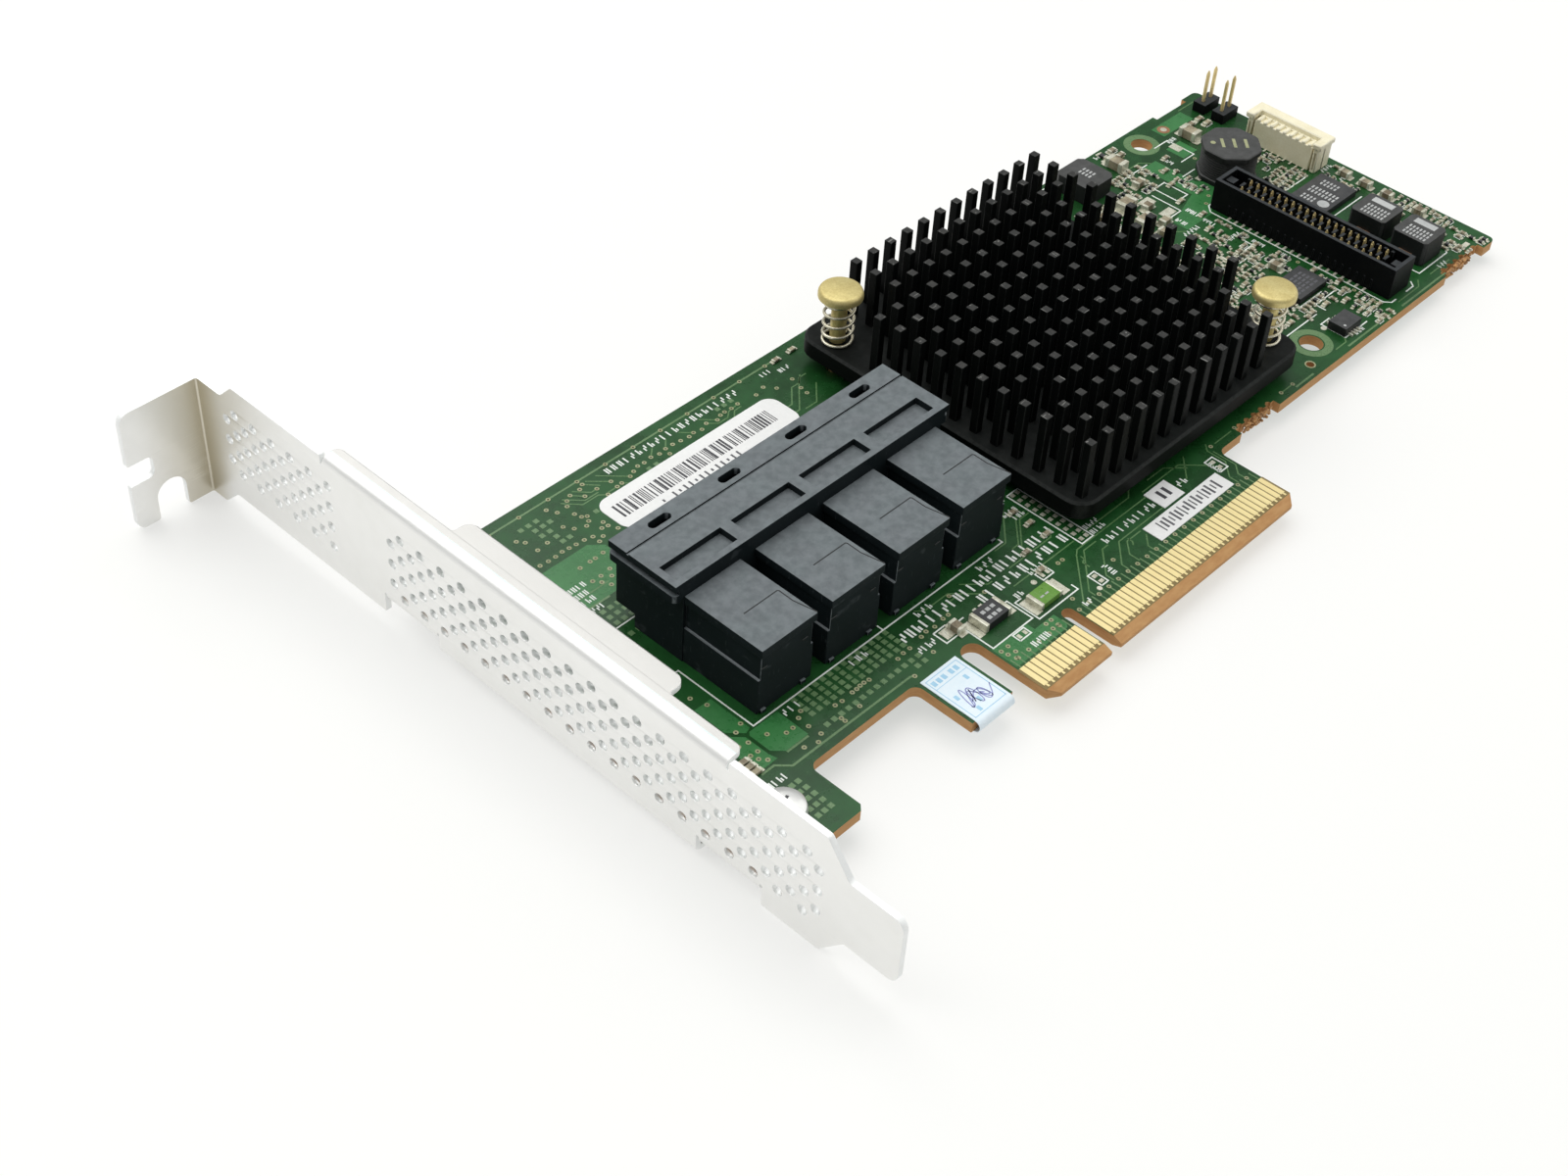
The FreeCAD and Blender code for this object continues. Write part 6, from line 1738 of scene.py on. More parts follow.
@dataclass
class SmallParts:
    """Chip capacitors and resistors with metal ends, solder and pads."""

    pad_z: float = 0.045

    def two_ended(self, shape: Shape, centre: Flat, size: Spot, turn: float = 0.0, low_z: float = 0.0,
                  body_skin: int = 0) -> None:
        """Add one chip with its two metal ends, solder fillets and pads.

        Args:
            shape: Shape that takes the chip; skin 1 is its metal.
            centre: Middle in plan.
            size: Length, width and height.
            turn: Rotation in plan, in degrees.
            low_z: Height of the board's face.
            body_skin: Finish of the chip's body.
        """
        length, width, height = size
        cap = length * 0.24
        spin = Matrix.Rotation(math.radians(turn), 2)
        edge = min(0.06, height * 0.15)
        body = (length - cap, width * 0.96, height * 0.96)
        shape.block(centre, body, low_z + self.pad_z, edge, body_skin, turn)
        for sign in (-1, 1):
            reach = spin @ Vector((sign * (length - cap) / 2, 0.0))
            place = (centre[0] + reach.x, centre[1] + reach.y)
            shape.block(place, (cap, width, height), low_z + self.pad_z, edge, 1, turn)
            outer = spin @ Vector((sign * (length / 2 + 0.1), 0.0))
            spot = (centre[0] + outer.x, centre[1] + outer.y)
            shape.block(spot, (cap * 1.5, width * 1.04, self.pad_z + 0.12), low_z, 0.04, 1, turn)


@dataclass
class Passives:
    """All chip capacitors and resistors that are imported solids."""

    groups: tuple[tuple[str, str], ...] = (
        ("ceramic_capacitors", "capacitors_dressed"), ("small_chip_parts", "small_chips_dressed"),
        ("solder_side_chip_parts", "solder_side_chips_dressed"),
    )

    def build(self) -> None:
        """Show each packed chip with its metal ends."""
        maker = SmallParts()
        for node, name in self.groups:
            shape = Shape()
            for low, high in PackedSolid(node).boxes():
                length, width, height = [top - bottom for bottom, top in zip(low, high)]
                turn = 90.0 if width > length else 0.0
                size = (max(length, width), min(length, width), height - maker.pad_z)
                maker.two_ended(shape, middle(low, high), size, turn, low[2])
            shape.piece(name, (CERAMIC, TIN), "ceramic_tan", [node])


class Kind(Enum):
    """Sizes of the smallest chips, as length, width and height."""

    TINY = (1.0, 0.5, 0.4)
    SMALL = (1.5, 0.8, 0.5)


@dataclass
class Clusters:
    """Dense fields of the smallest chips with their pads and white lines beside some of them, kept clear of
    the taller parts.
    """

    fields: tuple[tuple[float, float, float, float, Kind, int, float], ...] = (
        (66.5, 21.3, 83.6, 25.4, Kind.TINY, 90, 0.12), (67.5, 26.4, 73.6, 38.6, Kind.TINY, 90, 0.15),
        (74.4, 30.3, 84.0, 44.8, Kind.TINY, 90, 0.2), (80.3, 13.8, 84.0, 21.0, Kind.TINY, 0, 0.2),
        (82.7, 24.6, 84.2, 29.6, Kind.TINY, 0, 0.1), (76.2, 56.9, 86.4, 62.0, Kind.TINY, 90, 0.15),
        (63.4, 38.4, 74.2, 49.6, Kind.TINY, 90, 0.3), (63.2, 52.0, 76.0, 59.6, Kind.TINY, 0, 0.35),
        (87.8, 51.2, 90.4, 58.6, Kind.TINY, 0, 0.2), (92.8, 42.8, 104.6, 46.0, Kind.TINY, 90, 0.15),
        (99.4, 46.6, 104.6, 50.2, Kind.TINY, 0, 0.2), (103.6, 20.0, 110.2, 32.6, Kind.TINY, 0, 0.2),
        (106.2, 33.6, 110.4, 41.0, Kind.TINY, 0, 0.2), (102.9, 13.9, 110.0, 18.8, Kind.TINY, 90, 0.2),
        (82.0, 62.6, 87.6, 67.9, Kind.SMALL, 0, 0.3), (92.6, 33.8, 95.6, 41.6, Kind.TINY, 90, 0.2),
        (70.3, 14.2, 72.4, 20.2, Kind.TINY, 0, 0.3), (99.8, 61.8, 105.4, 63.6, Kind.SMALL, 0, 0.2),
    )
    kept_free: tuple[tuple[float, float, float, float], ...] = (
        (14.0, 14.3, 61.9, 65.4), (89.0, 62.3, 94.9, 68.2), (65.5, 14.5, 71.8, 20.9), (96.8, 64.3, 99.3, 66.7),
    )
    taller: tuple[str, ...] = (
        "ceramic_capacitors", "small_chip_parts", "driver_chip", "driver_chip_leads", "converter_chip",
        "regulator_chip", "mezzanine_housing", "power_inductors", "inductor_terminals", "round_inductor",
        "square_choke", "wire_connector", "header_bases",
    )
    edge_x: float = -46.7
    edge_rows: tuple[float, ...] = (16.3, 17.3, 18.3)
    column: float = 1.1
    row: float = 1.55
    margin: float = 0.24
    jitter: float = 0.08
    turned: float = 0.12
    outlined: float = 0.42
    seed: int = 5

    def build(self) -> None:
        """Show the chips of every field where the board is free."""
        taken = list(self.kept_free)
        for node in self.taller:
            taken += [(*low[:2], *high[:2]) for low, high in PackedSolid(node).boxes()]
        rng = random.Random(self.seed)
        shape = Shape()
        maker = SmallParts()
        for low_x, low_y, high_x, high_y, kind, turn, gap in self.fields:
            length, width, _ = kind.value
            step_x, step_y = (self.column, self.row) if turn else (self.row, self.column)
            if kind is Kind.SMALL:
                step_x, step_y = step_x * 1.5, step_y * 1.4
            y = low_y
            while y <= high_y:
                x = low_x + rng.uniform(0.0, 0.3)
                while x <= high_x:
                    place = tuple(value + rng.uniform(-self.jitter, self.jitter) for value in (x, y))
                    here_turn = turn if rng.random() > self.turned else 90 - turn
                    half = (width / 2, length / 2) if here_turn else (length / 2, width / 2)
                    if rng.random() > gap and self.free(place, half, taken):
                        skin = rng.choice((0, 0, 2))
                        maker.two_ended(shape, place, kind.value, float(here_turn), 0.0, skin)
                        self.outline(shape, rng, place, half)
                        taken.append((place[0] - half[0], place[1] - half[1],
                                      place[0] + half[0], place[1] + half[1]))
                    x += step_x
                y += step_y
        for y in self.edge_rows:
            maker.two_ended(shape, (self.edge_x, y), Kind.SMALL.value)
        shape.piece("chip_clusters", (CERAMIC, TIN, CHIP_BLACK, WHITE_INK), "ceramic_tan")

    def free(self, place: Flat, half: Flat, taken: Sequence[tuple[float, float, float, float]]) -> bool:
        """Tell whether a chip would stay clear of what is there.

        Args:
            place: Middle of the chip.
            half: Half its length and half its width.
            taken: Corners of the taken rectangles.

        Returns:
            True where it fits.
        """
        reach_x, reach_y = half[0] + self.margin, half[1] + self.margin
        return all(place[0] + reach_x < low_x or place[0] - reach_x > high_x or place[1] + reach_y < low_y
                   or place[1] - reach_y > high_y for low_x, low_y, high_x, high_y in taken)

    def outline(self, shape: Shape, rng: random.Random, place: Flat, half: Flat) -> None:
        """Add white lines beside some chips, along their longer sides.

        Args:
            shape: Shape that takes the lines.
            rng: Source of the fields' variety.
            place: Middle of the chip.
            half: Half its length and half its width.
        """
        if rng.random() > self.outlined:
            return
        across = 0 if half[0] < half[1] else 1
        for sign in (-1, 1):
            centre = list(place)
            centre[across] += sign * (half[across] + 0.16)
            size = [half[0] * 2.3, half[1] * 2.3]
            size[across] = 0.12
            shape.bar(tuple(centre), tuple(size), -0.02, 0.05, 3)


@dataclass
class PowerParts:
    """Print of the inductors and chips, the round inductor and the ivory cable connector."""

    root: float = 0.02
    rise: float = 0.008
    dot_rise: float = 0.01
    fields: tuple[tuple[str, Flat, int, int, float, float, int], ...] = (
        ("power_inductors", (0.9, 1.0), 3, 7, 0.95, 0.58, 0),
        ("regulator_chip", (3.6, 0.9), 2, 8, 1.1, 0.62, 0),
        ("regulator_chip", (6.4, 2.4), 2, 5, 0.9, 0.62, 0),
        ("regulator_chip", (1.2, 3.2), 2, 4, 0.8, 0.62, 0),
        ("converter_chip", (1.0, 1.0), 5, 5, 1.1, 0.7, 1), ("square_choke", (-3.4, 2.4), 2, 4, 1.0, 0.62, 0),
        ("shunt_block", (0.9, 0.8), 3, 2, 0.9, 1.1, 0), ("green_fuse", (0.8, 1.1), 2, 1, 0.9, 0.5, 0),
    )
    stripe: Flat = (1.3, 3.6)
    stripe_in: float = 1.35
    dots: tuple[tuple[str, Flat, float, float, int], ...] = (
        ("regulator_chip", (1.8, 1.5), 0.95, 0.01, 24), ("driver_chip", (0.7, 0.7), 0.22, 0.008, 14),
    )
    flange_radius: float = 4.84
    flange_height: float = 0.95
    flange_corner: float = 1.2
    flange_rim: tuple[Flat, Flat] = ((0.12, 0.12), (0.15, 0.15))
    core_radius: float = 4.1
    winding_radius: float = 4.22
    winding_wire: float = 0.19
    winding_pitch: float = 0.4
    winding_start: float = 1.12
    winding_turns: int = 9
    teeth: int = 9
    tooth_pitch: float = 1.2
    rim: float = 0.95

    def build(self) -> None:
        """Show the print and the two dressed parts."""
        shape = Shape()
        for node, offset, columns, rows, step_x, step_y, skin in self.fields:
            for low, high in PackedSolid(node).boxes():
                start = ((low if offset[0] > 0 else high)[0] + offset[0], low[1] + offset[1], high[2])
                self.field(shape, start, (columns, rows), (step_x, step_y), skin)
        for low, high in PackedSolid("power_inductors").boxes():
            centre = (high[0] - self.stripe_in, middle(low, high)[1])
            shape.bar(centre, self.stripe, high[2] - self.root, high[2] + self.rise)
        for node, offset, radius, rise, steps in self.dots:
            low, high = PackedSolid(node).box()
            centre = (low[0] + offset[0], low[1] + offset[1])
            shape.disc(centre, radius, high[2] - self.root, high[2] + rise, 0, steps)
        shape.piece("part_print", (PALE_PRINT, GREY_INK), "chip_black")
        self.round_part()
        self.cable_part()

    def field(self, shape: Shape, start: Spot, counts: tuple[int, int], pitches: Flat, skin: int) -> None:
        """Add a field of short plain bars on a part's top.

        Args:
            shape: Shape that takes the bars.
            start: Place of the first bar, and the height of the part's top.
            counts: Bars along X and along Y.
            pitches: Distances between them.
            skin: Number of the finish.
        """
        size = (pitches[0] * 0.7, pitches[1] * 0.5)
        for column in range(counts[0]):
            for row in range(counts[1]):
                centre = (start[0] + column * pitches[0], start[1] + row * pitches[1])
                shape.bar(centre, size, start[2] - self.root, start[2] + self.rise, skin)

    def round_part(self) -> None:
        """Show the round inductor: two eight-sided flanges, the coated winding and the plain print."""
        low, high = PackedSolid("round_inductor").box()
        centre, height = middle(low, high), high[2]
        shape = Shape()
        low_rim, high_rim = self.flange_rim
        for base in (0.0, height - self.flange_height):
            top = base + self.flange_height
            rings = []
            for inset, z in ((low_rim[0], base), (0.0, base + low_rim[1]), (0.0, top - high_rim[1]),
                             (high_rim[0], top)):
                reach = self.flange_radius - inset
                corners = []
                for side in range(8):
                    angle = math.tau * (side + 0.5) / 8
                    corners.append((centre[0] + reach * math.cos(angle), centre[1] + reach * math.sin(angle),
                                    self.flange_corner))
                rings.append([(x, y, z) for x, y in eased(corners)])
            shape.loft(rings)
        shape.lathe(centre, [(self.core_radius, 0.9), (self.core_radius, height - 0.9)], 32)
        for turn in range(self.winding_turns):
            z = self.winding_start + self.winding_pitch * turn
            profile = []
            for step in range(8):
                angle = math.tau * step / 8
                profile.append((self.winding_radius + self.winding_wire * math.cos(angle),
                                z + self.winding_wire * math.sin(angle)))
            shape.lathe(centre, profile, 32, 0, closed=True)
        base, top = height - self.root, height + self.dot_rise
        shape.disc((centre[0] - 2.0, centre[1] + 2.1), 0.42, base, top, 1, 16)
        for shift in (-1.0, 0.3, 1.6):
            for side in (-0.434, 0.434):
                shape.bar((centre[0] + shift + side, centre[1] - shift + side), (1.2, 0.5), base, top, 1, 45)
        shape.piece("round_inductor_dressed", (FERRITE, VIA_GOLD), "ferrite", ["round_inductor"])

    def cable_part(self) -> None:
        """Show the cable connector: back wall, rim, end posts, toothed front and feet."""
        low, high = PackedSolid("wire_connector").box()
        shape = Shape()
        centre, half, top = middle(low, high)[1], (high[1] - low[1]) / 2, high[2]
        front, back, rim = low[0], high[0], self.rim
        shape.block((back - 1.1, centre), (2.2, 2 * half - 0.8, top - 0.8), 0.0, 0.12)
        shape.block((back - 0.95, centre), (1.9, 2 * half, rim), top - rim, 0.16)
        shape.block((front + 1.5, centre), (2.2, 2 * half - 3.2, 4.15), 0.0, 0.1)
        for sign in (-1, 1):
            y = centre + sign * (half - 0.85)
            shape.block((front + 1.4, y), (2.2, 0.9, 4.4), 0.0, 0.14)
            shape.block((front + 1.3, y + sign * 0.1), (2.6, 1.5, rim), top - rim, 0.16)
            # Thin dark strip near each end post: painted shade of a groove.
            shape.block((front + 0.32, y), (0.08, 0.34, 3.0), 0.6, 0.02, 1)
        for number in range(self.teeth):
            y = centre + self.tooth_pitch * (number - (self.teeth - 1) / 2)
            shape.block((front + 1.3, y), (1.9, 0.72, 0.6), 3.95, 0.18)
            shape.block((front + 0.1, y), (0.9, 0.32, 0.2), 0.0, 0.04, 2)
        finishes = (IVORY_PLASTIC, IVORY_PAINTED_SHADE, TIN)
        shape.piece("wire_connector_dressed", finishes, "ivory_plastic", ["wire_connector"])


@dataclass
class Labels:
    """Paper labels with plain stripes, and the folded sticker on the tab."""

    paper: float = 0.1
    ink: float = 0.02
    root: float = 0.02
    code_low: Flat = (-28.8, 55.6)
    code_high: Flat = (3.8, 62.3)
    code_corner: float = 1.9
    code_x: Flat = (-27.2, 1.0)
    code_y: float = 59.2
    seed: int = 11
    frames: tuple[tuple[float, float, float, float], ...] = (
        (-19.1, 12.1, 5.6, 0.1), (-19.1, 4.3, 5.6, 0.1), (-21.9, 8.2, 0.1, 7.9), (-16.35, 8.2, 0.1, 7.9),
        (-19.1, 10.4, 5.6, 0.08),
    )
    heading_x: tuple[float, ...] = (-21.3, -20.4, -19.5, -18.2, -17.3)
    dots: tuple[Flat, ...] = ((-21.1, 7.9), (-20.4, 5.0), (-19.2, 6.0), (-17.6, 9.4))
    scribbles: tuple[tuple[float, float, float, float, int], ...] = (
        (-20.9, 3.9, 1.5, 29.0, 70), (-20.2, 2.9, 0.9, 17.0, 40),
    )
    pen: float = 0.14
    sticker_y: float = 8.0
    sticker_steps: int = 12

    def build(self) -> None:
        """Show the labels, their stripes and the sticker."""
        shape = Shape()
        shape.slab(rounded(self.code_low, self.code_high, self.code_corner, 8), 0.0, self.paper)
        shape.piece("barcode_label_dressed", [LABEL_PAPER], "label_paper", ["barcode_label"])
        bars = Shape()
        self.stripes(bars)
        self.sticker_print(bars)
        bars.piece("label_stripes", (DARK_INK, GREY_INK, BLUE_PRINT, VIOLET_INK), "label_paper")
        self.sticker()

    def stripes(self, bars: Shape) -> None:
        """Add the plain stripes of the two labels.

        Args:
            bars: Shape that takes them.
        """
        rng = random.Random(self.seed)
        x, end = self.code_x
        while x < end:
            width = rng.choice((0.14, 0.14, 0.22, 0.34))
            self.mark(bars, (x, self.code_y), (width, 2.6))
            x += width + rng.choice((0.15, 0.2, 0.3, 0.42))
        for number in range(15):
            if number != 1:
                self.mark(bars, (-21.6 + 0.98 * number, 56.75), (0.3, 0.95 if number % 3 else 0.5), 1)
        for number in range(17):
            tall = (1.95, 1.5, 1.95, 1.1)[number % 4]
            self.mark(bars, (21.3 + 0.76 * number, 9.15), (0.36 if number % 3 else 0.22, tall), 1)
        for x in (26.3, 27.5):
            self.mark(bars, (x, 12.9), (0.55, 1.7))

    def sticker_print(self, bars: Shape) -> None:
        """Add the sticker's frame, its plain marks and a scribble that forms no letter.

        Args:
            bars: Shape that takes them.
        """
        for x, y, width, height in self.frames:
            self.mark(bars, (x, y), (width, height), 2)
        for x in self.heading_x:
            self.mark(bars, (x, 11.25), (0.6, 0.8), 2)
        for first, wide, tall, swing, count in self.scribbles:
            path = []
            for step in range(count):
                share = step / count
                lift = tall * math.sin(swing * share + first) * (1.1 - 0.5 * share)
                path.append((first + wide * share + 0.75 * math.sin(swing * 0.71 * share),
                             7.2 + lift - 1.2 * share))
            for ends in zip(path, path[1:]):
                bars.stroke(ends, self.pen, self.paper - self.root, self.paper + self.ink, 3)
        for place in self.dots:
            self.mark(bars, place, (0.5, 0.8), 2)

    def sticker(self) -> None:
        """Show the sticker, which curls round the end of the tab."""
        low, high = PackedSolid("tab_sticker").box()
        radius = (high[2] - low[2]) / 2
        middle_z = (high[2] + low[2]) / 2
        section = []
        for inset in (0.0, self.paper):
            side = [(high[1], high[2] - inset)]
            for step in range(self.sticker_steps + 1):
                angle = math.pi / 2 + math.pi * step / self.sticker_steps
                side.append((low[1] + 0.1 + (radius - inset) * math.cos(angle),
                             middle_z + (radius - inset) * math.sin(angle)))
            side.append((self.sticker_y, low[2] + inset))
            section += side[::-1] if inset else side
        shape = Shape()
        shape.loft([[(x, y, z) for y, z in section] for x in (low[0], high[0])])
        shape.piece("tab_sticker_dressed", [STICKER_PAPER], "sticker_paper", ["tab_sticker"])

    def mark(self, shape: Shape, centre: Flat, size: Flat, skin: int = 0) -> None:
        """Add one printed bar on the paper."""
        shape.bar(centre, size, self.paper - self.root, self.paper + self.ink, skin)


@dataclass
class Burrs:
    """Rough stubs where the board was broken out of its panel."""

    spots: tuple[tuple[float, float, float, int], ...] = (
        (-47.3, -45.6, 4.55, 1), (46.8, 53.0, 13.4, 1), (99.0, 105.2, 13.4, 1),
    )
    layers: int = 3
    layer_step: float = 0.5
    low_z: float = -1.5
    seed: int = 9

    def build(self) -> None:
        """Show the rough lumps of each stub."""
        shape = Shape()
        rng = random.Random(self.seed)
        for start, end, y, inward in self.spots:
            x = start
            while x < end:
                thick = 1.0 - abs(2 * (x - start) / (end - start) - 1.0)
                for layer in range(self.layers):
                    size = (rng.uniform(0.35, 0.8), rng.uniform(0.3, 0.55) + 0.3 * thick,
                            rng.uniform(0.25, 0.45))
                    low_z = self.low_z + self.layer_step * layer + rng.uniform(-0.05, 0.1)
                    reach = rng.uniform(-0.12, 0.2) * (0.3 + thick)
                    place = (x + rng.uniform(-0.2, 0.2), y + inward * (reach + 0.14))
                    shape.block(place, size, low_z, 0.11, 0, rng.uniform(-7, 7))
                x += rng.uniform(0.45, 0.8)
        shape.piece("broken_edges", [BURR], "board")


@dataclass
class Dresser:
    """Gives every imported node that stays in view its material."""

    plain: tuple[tuple[str, Finish], ...] = (
        ("pcb", Laminate("Circuit board")), ("controller_chip", SCREW_STEEL),
        ("thermal_pad", PAD_GREY), ("wire_connector_pins", TIN), ("inductor_terminals", COPPER),
        ("driver_chip_leads", TIN), ("memory_chips", CHIP_BLACK), ("long_label", LABEL_PAPER),
        ("short_label", LABEL_PAPER),
    )
    eased: tuple[tuple[str, Finish, str, float], ...] = (
        ("header_bases", BLACK_PLASTIC, "black_plastic", 0.1), ("square_choke", FERRITE, "ferrite", 0.2),
        ("power_inductors", FERRITE, "ferrite", 0.2), ("regulator_chip", CHIP_BLACK, "chip_black", 0.08),
        ("converter_chip", CHIP_BLACK, "chip_black", 0.08), ("driver_chip", CHIP_BLACK, "chip_black", 0.08),
        ("green_fuse", GREEN_RESIN, "green_resin", 0.08), ("shunt_block", CHIP_BLACK, "chip_black", 0.08),
        ("edge_part_caps", TIN, "tin", 0.1),
    )
    finger: float = 0.8
    tail: Flat = (0.3, 0.5)
    root: float = 0.02
    bare_fields: tuple[Flat, ...] = ((-12.3, -1.05), (1.05, 39.25))
    bare_y: float = 3.57
    bare_width: float = 4.46

    def build(self) -> None:
        """Give the materials, ease the edges of the blocks and show the pins and fingers."""
        for name, finish in self.plain:
            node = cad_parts[name]
            node.data.materials.clear()
            node.data.materials.append(finish.material())
        for name, finish, slot, width in self.eased:
            PackedSolid(name).softened(f"{name}_dressed", finish, slot, width)
        pins = Shape()
        for low, high in PackedSolid("header_pins").boxes():
            pointed_pin(pins, low, high, 0.6)
        pins.piece("header_pins_dressed", [PIN_GOLD], "gold", ["header_pins"])
        self.fingers()

    def fingers(self) -> None:
        """Show the edge contacts, their thin tails and the bare board between them."""
        pads = Shape()
        for start, end in self.bare_fields:
            centre = ((start + end) / 2, self.bare_y)
            pads.bar(centre, (end - start, self.bare_width), -self.root, 0.012, 1)
        for low, high in PackedSolid("gold_edge_contacts").boxes():
            x, y = middle(low, high)
            front = low[2] > BOARD_BACK / 2
            tail_low, tail_high = (-self.root, high[2]) if front else (low[2], BOARD_BACK + self.root)
            pads.bar((x, y), (self.finger, high[1] - low[1]), low[2], high[2])
            pads.bar((x, low[1] - 0.22), self.tail, tail_low, tail_high)
        pads.piece("finger_pads_dressed", (GOLD, BARE_LAMINATE), "gold", ["gold_edge_contacts"])


class Layer(Enum):
    """Layers of the board's print, in the order of their finishes."""

    POUR = 0
    SQUARE = 1
    TRACK = 2
    RING = 3
    # Painted shade of the via holes.
    BORE = 4
    INK = 5
    TIN = 6
    COPPER = 7


@dataclass
class BoardPrint:
    """Copper, vias, bare pads and ink on both faces of the board."""

    root: float = -0.02
    square: float = 0.72
    via_radius: float = 0.33
    bore_radius: float = 0.14
    track: float = 0.19
    edge_track: float = 0.3
    ink_line: float = 0.2
    mark_seed: int = 7
    joint: tuple[Flat, ...] = ((0.8, -0.02), (0.8, 0.05), (0.5, 0.4), (0.36, 1.0))
    pin_row_x: Flat = (12.0, 13.0)
    pin_row_y: tuple[float, float, int] = (15.0, 1.26, 10)
    top_row: tuple[float, float, float, int] = (-42.2, 67.15, 5.02, 11)
    tails: tuple[tuple[float, int], ...] = ((-11.5, 11), (1.5, 38))
    tail_y: Spot = (5.8, 6.9, 7.5)
    tail_via_y: float = 7.1
    tail_width: float = 0.22
    pale_rings: tuple[tuple[Flat, float, float], ...] = (
        ((91.94, 65.2), 1.7, 2.9), ((68.68, 17.7), 1.95, 3.15),
    )
    heights: dict[Layer, float] = field(default_factory=lambda: {
        Layer.POUR: 0.010, Layer.SQUARE: 0.020, Layer.TRACK: 0.016, Layer.RING: 0.034, Layer.BORE: 0.040,
        Layer.INK: 0.046, Layer.TIN: 0.060, Layer.COPPER: 0.030,
    })

    def build(self) -> None:
        """Show the copper and the ink."""
        copper = Shape()
        self.copper(copper)
        self.vias(copper)
        self.rings(copper)
        ink = Shape()
        self.ink(ink)
        finishes = (LIGHT_POUR, PAD_COPPER, MASKED_COPPER, VIA_GOLD, VIA_BORE_SHADE, WHITE_INK, TIN, TEST_COPPER)
        copper.piece("board_copper", finishes, "board")
        ink.piece("board_ink", finishes, "board")
        self.solder_side().piece("solder_side_copper", finishes, "board")

    def solder_side(self) -> Shape:
        """Draw the other side: the vias' back ends, tracks and the header's solder joints.

        Returns:
            The shape, which lies on the board's back face.
        """
        back = Shape()
        self.vias(back)
        for path in THIN_TRACKS:
            back.stroke(path, self.track, self.root, self.heights[Layer.TRACK], Layer.TRACK.value)
        for low, high in PackedSolid("header_pins").boxes():
            back.lathe(middle(low, high), self.joint, 16, Layer.TIN.value)
        back.points = [(x, y, BOARD_BACK - z) for x, y, z in back.points]
        return back

    def rect(self, shape: Shape, centre: Flat, size: Flat, layer: Layer, turn: float = 0.0) -> None:
        """Add one flat rectangle of a layer."""
        shape.bar(centre, size, self.root, self.heights[layer], layer.value, turn)

    def copper(self, shape: Shape) -> None:
        """Add pours, squares, tracks and bare pads.

        Args:
            shape: Shape that takes them.
        """
        for outline in POURS:
            shape.slab(outline, self.root, self.heights[Layer.POUR], Layer.POUR.value)
        for first_x, first_y, columns, rows, step_x, step_y in SQUARE_GRIDS:
            for column in range(columns):
                for row in range(rows):
                    centre = (first_x + column * step_x, first_y + row * step_y)
                    self.rect(shape, centre, (self.square, self.square), Layer.SQUARE)
        for paths, width, layer in ((THIN_TRACKS, self.track, Layer.TRACK),
                                    (EDGE_TRACKS, self.edge_track, Layer.SQUARE)):
            for path in paths:
                shape.stroke(path, width, self.root, self.heights[layer], layer.value)
        for x, y, width, length in PADS:
            self.rect(shape, (x, y), (width, length), Layer.TIN)
        for x, y, radius in ROUND_PADS:
            shape.disc((x, y), radius, self.root, self.heights[Layer.TIN], Layer.TIN.value, 12)
        first_y, pitch, rows = self.pin_row_y
        for row in range(rows):
            for x in self.pin_row_x:
                self.rect(shape, (x, first_y + pitch * row), (0.62, 0.6), Layer.TIN)
        self.finger_tails(shape)

    def finger_tails(self, shape: Shape) -> None:
        """Add the tracks that leave the edge contacts, with a via on every second one.

        Args:
            shape: Shape that takes them.
        """
        start, near, far = self.tail_y
        for first, count in self.tails:
            for x in (first + step for step in range(count)):
                drilled = (x * 2) % 4 == 3
                path = ((x, start), (x, near if drilled else far))
                shape.stroke(path, self.tail_width, self.root, self.heights[Layer.TRACK], Layer.SQUARE.value)
                if drilled:
                    self.via(shape, (x, self.tail_via_y))

    def via(self, shape: Shape, centre: Flat) -> None:
        """Add one plated through hole: a ring round a dark disc, which is painted shade of the bore."""
        shape.washer(centre, self.bore_radius, self.via_radius, self.root, self.heights[Layer.RING],
                     Layer.RING.value, 10)
        shape.disc(centre, self.bore_radius + 0.02, self.root, self.heights[Layer.SQUARE],
                   Layer.BORE.value, 8)

    def vias(self, shape: Shape) -> None:
        """Add the scattered vias and the row along the top edge.

        Args:
            shape: Shape that takes them.
        """
        first, y, pitch, count = self.top_row
        for centre in (*VIAS, *((first + pitch * step, y) for step in range(count))):
            self.via(shape, centre)

    def rings(self, shape: Shape) -> None:
        """Add the bare and pale rings round the holes.

        Args:
            shape: Shape that takes them.
        """
        pale, test = Layer.SQUARE, Layer.COPPER
        for centre, inner, outer in self.pale_rings:
            shape.washer(centre, inner, outer, self.root, self.heights[pale], pale.value, 36)
        shape.washer((64.38, 14.99), 0.6, 0.8, self.root, self.heights[Layer.RING], Layer.RING.value, 20)
        shape.disc((98.1, 65.5), 1.05, self.root, self.heights[test], test.value, 24)

    def ink(self, shape: Shape) -> None:
        """Add the white lines and frames, and plain marks in rows.

        Args:
            shape: Shape that takes them.
        """
        frames = [((x1, y1), (x2, y1), (x2, y2), (x1, y2), (x1, y1)) for x1, y1, x2, y2 in SILK_FRAMES]
        for path in (*SILK_LINES, *frames):
            shape.stroke(path, self.ink_line, self.root, self.heights[Layer.INK], Layer.INK.value)
        rng = random.Random(self.mark_seed)
        for x, y, height, count, pitch, upright in MARK_ROWS:
            for number in range(count):
                self.mark(shape, rng, (x, y), height, pitch * number, bool(upright))

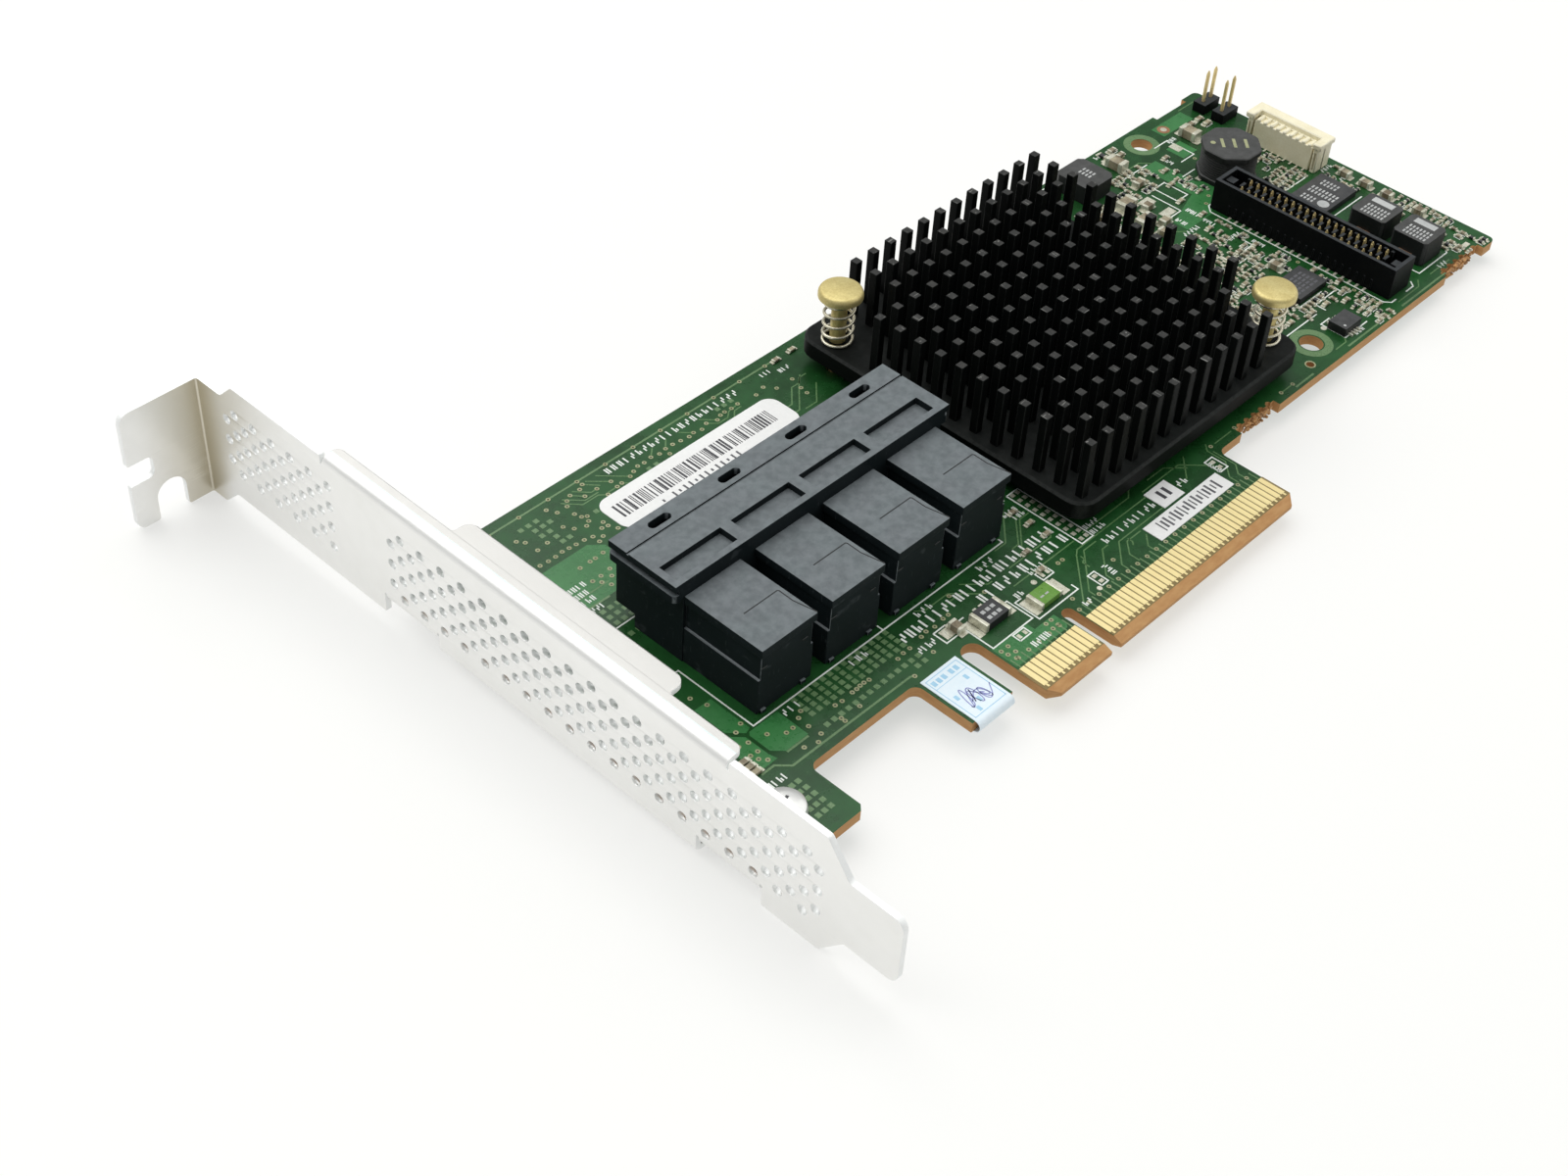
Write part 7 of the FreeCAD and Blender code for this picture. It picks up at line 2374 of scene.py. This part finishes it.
    def mark(self, shape: Shape, rng: random.Random, start: Flat, height: float, along: float,
             upright: bool) -> None:
        """Add one plain mark of a row: one or two bars that form no letter.

        Args:
            shape: Shape that takes the mark.
            rng: Source of the marks' variety.
            start: Lower left of the row.
            height: Height of the marks.
            along: Distance from the start of the row.
            upright: True for a row that runs up the board.
        """
        width = height * 0.2
        kind = rng.randrange(4)
        bars = (
            ((0.1, 0.5, 1.0),), ((0.08, 0.5, 1.0), (0.42, 0.5, 1.0)),
            ((0.1, 0.3, 0.6), (0.42, 0.7, 0.6)), ((0.1, 0.5, 1.0), (0.42, 0.3, 0.5)),
        )[kind]
        for right, up, tall in bars:
            x, y, size_x, size_y = along + right * height, up * height, width, tall * height
            if upright:
                x, y, size_x, size_y = height - y, x, size_y, size_x
            self.rect(shape, (start[0] + x, start[1] + y), (size_x, size_y), Layer.INK)


@dataclass
class StudioSet:
    """Ground, light and camera."""

    eye: Spot = (-176.884, -97.556, 194.849)
    right: Spot = (0.68535, -0.7265, 0.04983)
    down: Spot = (-0.47864, -0.50098, -0.72105)
    ahead: Spot = (0.54881, 0.47033, -0.69108)
    focal_pixels: float = 2326.0
    image_width: float = 1600.0
    sensor: float = 36.0
    ground: Spot = (0.009186, -0.02606, -3.95)
    ground_reach: float = 2500.0
    lamps: tuple[tuple[str, Spot, float, float], ...] = (
        ("softbox", (-80.0, 610.0, 1000.0), 1.5, 14.8), ("side_fill", (600.0, -250.0, 700.0), 1.2, 4.0),
    )
    lamp_colour: Colour = (1.0, 1.0, 0.985)
    lamp_aim: Spot = (20.0, 40.0, 0.0)
    sky: Colour = (0.97, 0.99, 1.0)
    sky_strength: float = 0.35

    def build(self) -> None:
        """Place the ground, the lights and the camera."""
        self.camera()
        self.floor()
        for name, place, size, power in self.lamps:
            self.light(name, place, size, power)
        world = bpy.data.worlds.new("Studio")
        world.use_nodes = True
        shade = world.node_tree.nodes["Background"]
        shade.inputs["Color"].default_value = (*self.sky, 1.0)
        shade.inputs["Strength"].default_value = self.sky_strength
        bpy.context.scene.world = world
        bpy.context.scene.view_settings.view_transform = "Standard"

    def camera(self) -> None:
        """Place the camera at the fitted point of view."""
        lens = bpy.data.cameras.new("viewpoint")
        lens.sensor_width = self.sensor
        lens.lens = self.focal_pixels / self.image_width * self.sensor
        lens.clip_start = 0.01
        lens.clip_end = 20.0
        camera = bpy.data.objects.new("viewpoint", lens)
        right, up, back = Vector(self.right), -Vector(self.down), -Vector(self.ahead)
        turn = Matrix((right, up, back)).transposed().to_4x4()
        camera.matrix_world = Matrix.Translation(Vector(self.eye) * MM) @ turn
        bpy.context.scene.collection.objects.link(camera)
        bpy.context.scene.camera = camera

    def floor(self) -> None:
        """Lay the ground under the card's lowest points."""
        reach = self.ground_reach
        slope_x, slope_y, height = self.ground
        points = [(x, y, slope_x * x + slope_y * y + height)
                  for x, y in ((-reach, -reach), (reach, -reach), (reach, reach), (-reach, reach))]
        mesh = bpy.data.meshes.new("ground")
        mesh.from_pydata([tuple(value * MM for value in point) for point in points], [], [(0, 1, 2, 3)])
        mesh.materials.append(GROUND.material())
        ground = bpy.data.objects.new("ground", mesh)
        bpy.context.scene.collection.objects.link(ground)

    def light(self, name: str, place: Spot, size: float, power: float) -> None:
        """Place a soft lamp that faces the card.

        Args:
            name: Name of the lamp.
            place: Its place in millimetres.
            size: Side of its square face in metres.
            power: Power in watts.
        """
        lamp = bpy.data.lights.new(name, "AREA")
        lamp.shape = "SQUARE"
        lamp.size = size
        lamp.energy = power
        lamp.color = self.lamp_colour
        holder = bpy.data.objects.new(name, lamp)
        holder.visible_camera = False
        holder.location = Vector(place) * MM
        aim = Vector(self.lamp_aim) * MM - holder.location
        holder.rotation_euler = aim.to_track_quat("-Z", "Y").to_euler()
        bpy.context.scene.collection.objects.link(holder)


def main() -> None:
    """Build every sub-assembly and report it."""
    logging.basicConfig(level=logging.INFO, format="%(name)s %(message)s")
    for part in (Bracket(), Screws(), Heatsink(), PushPins(), PortBlock(), Mezzanine(), Passives(), Clusters(),
                 PowerParts(), Labels(), Burrs(), BoardPrint(), Dresser(), StudioSet()):
        part.build()
        LOG.info("built %s", type(part).__name__)


if __name__ == "__main__":
    main()
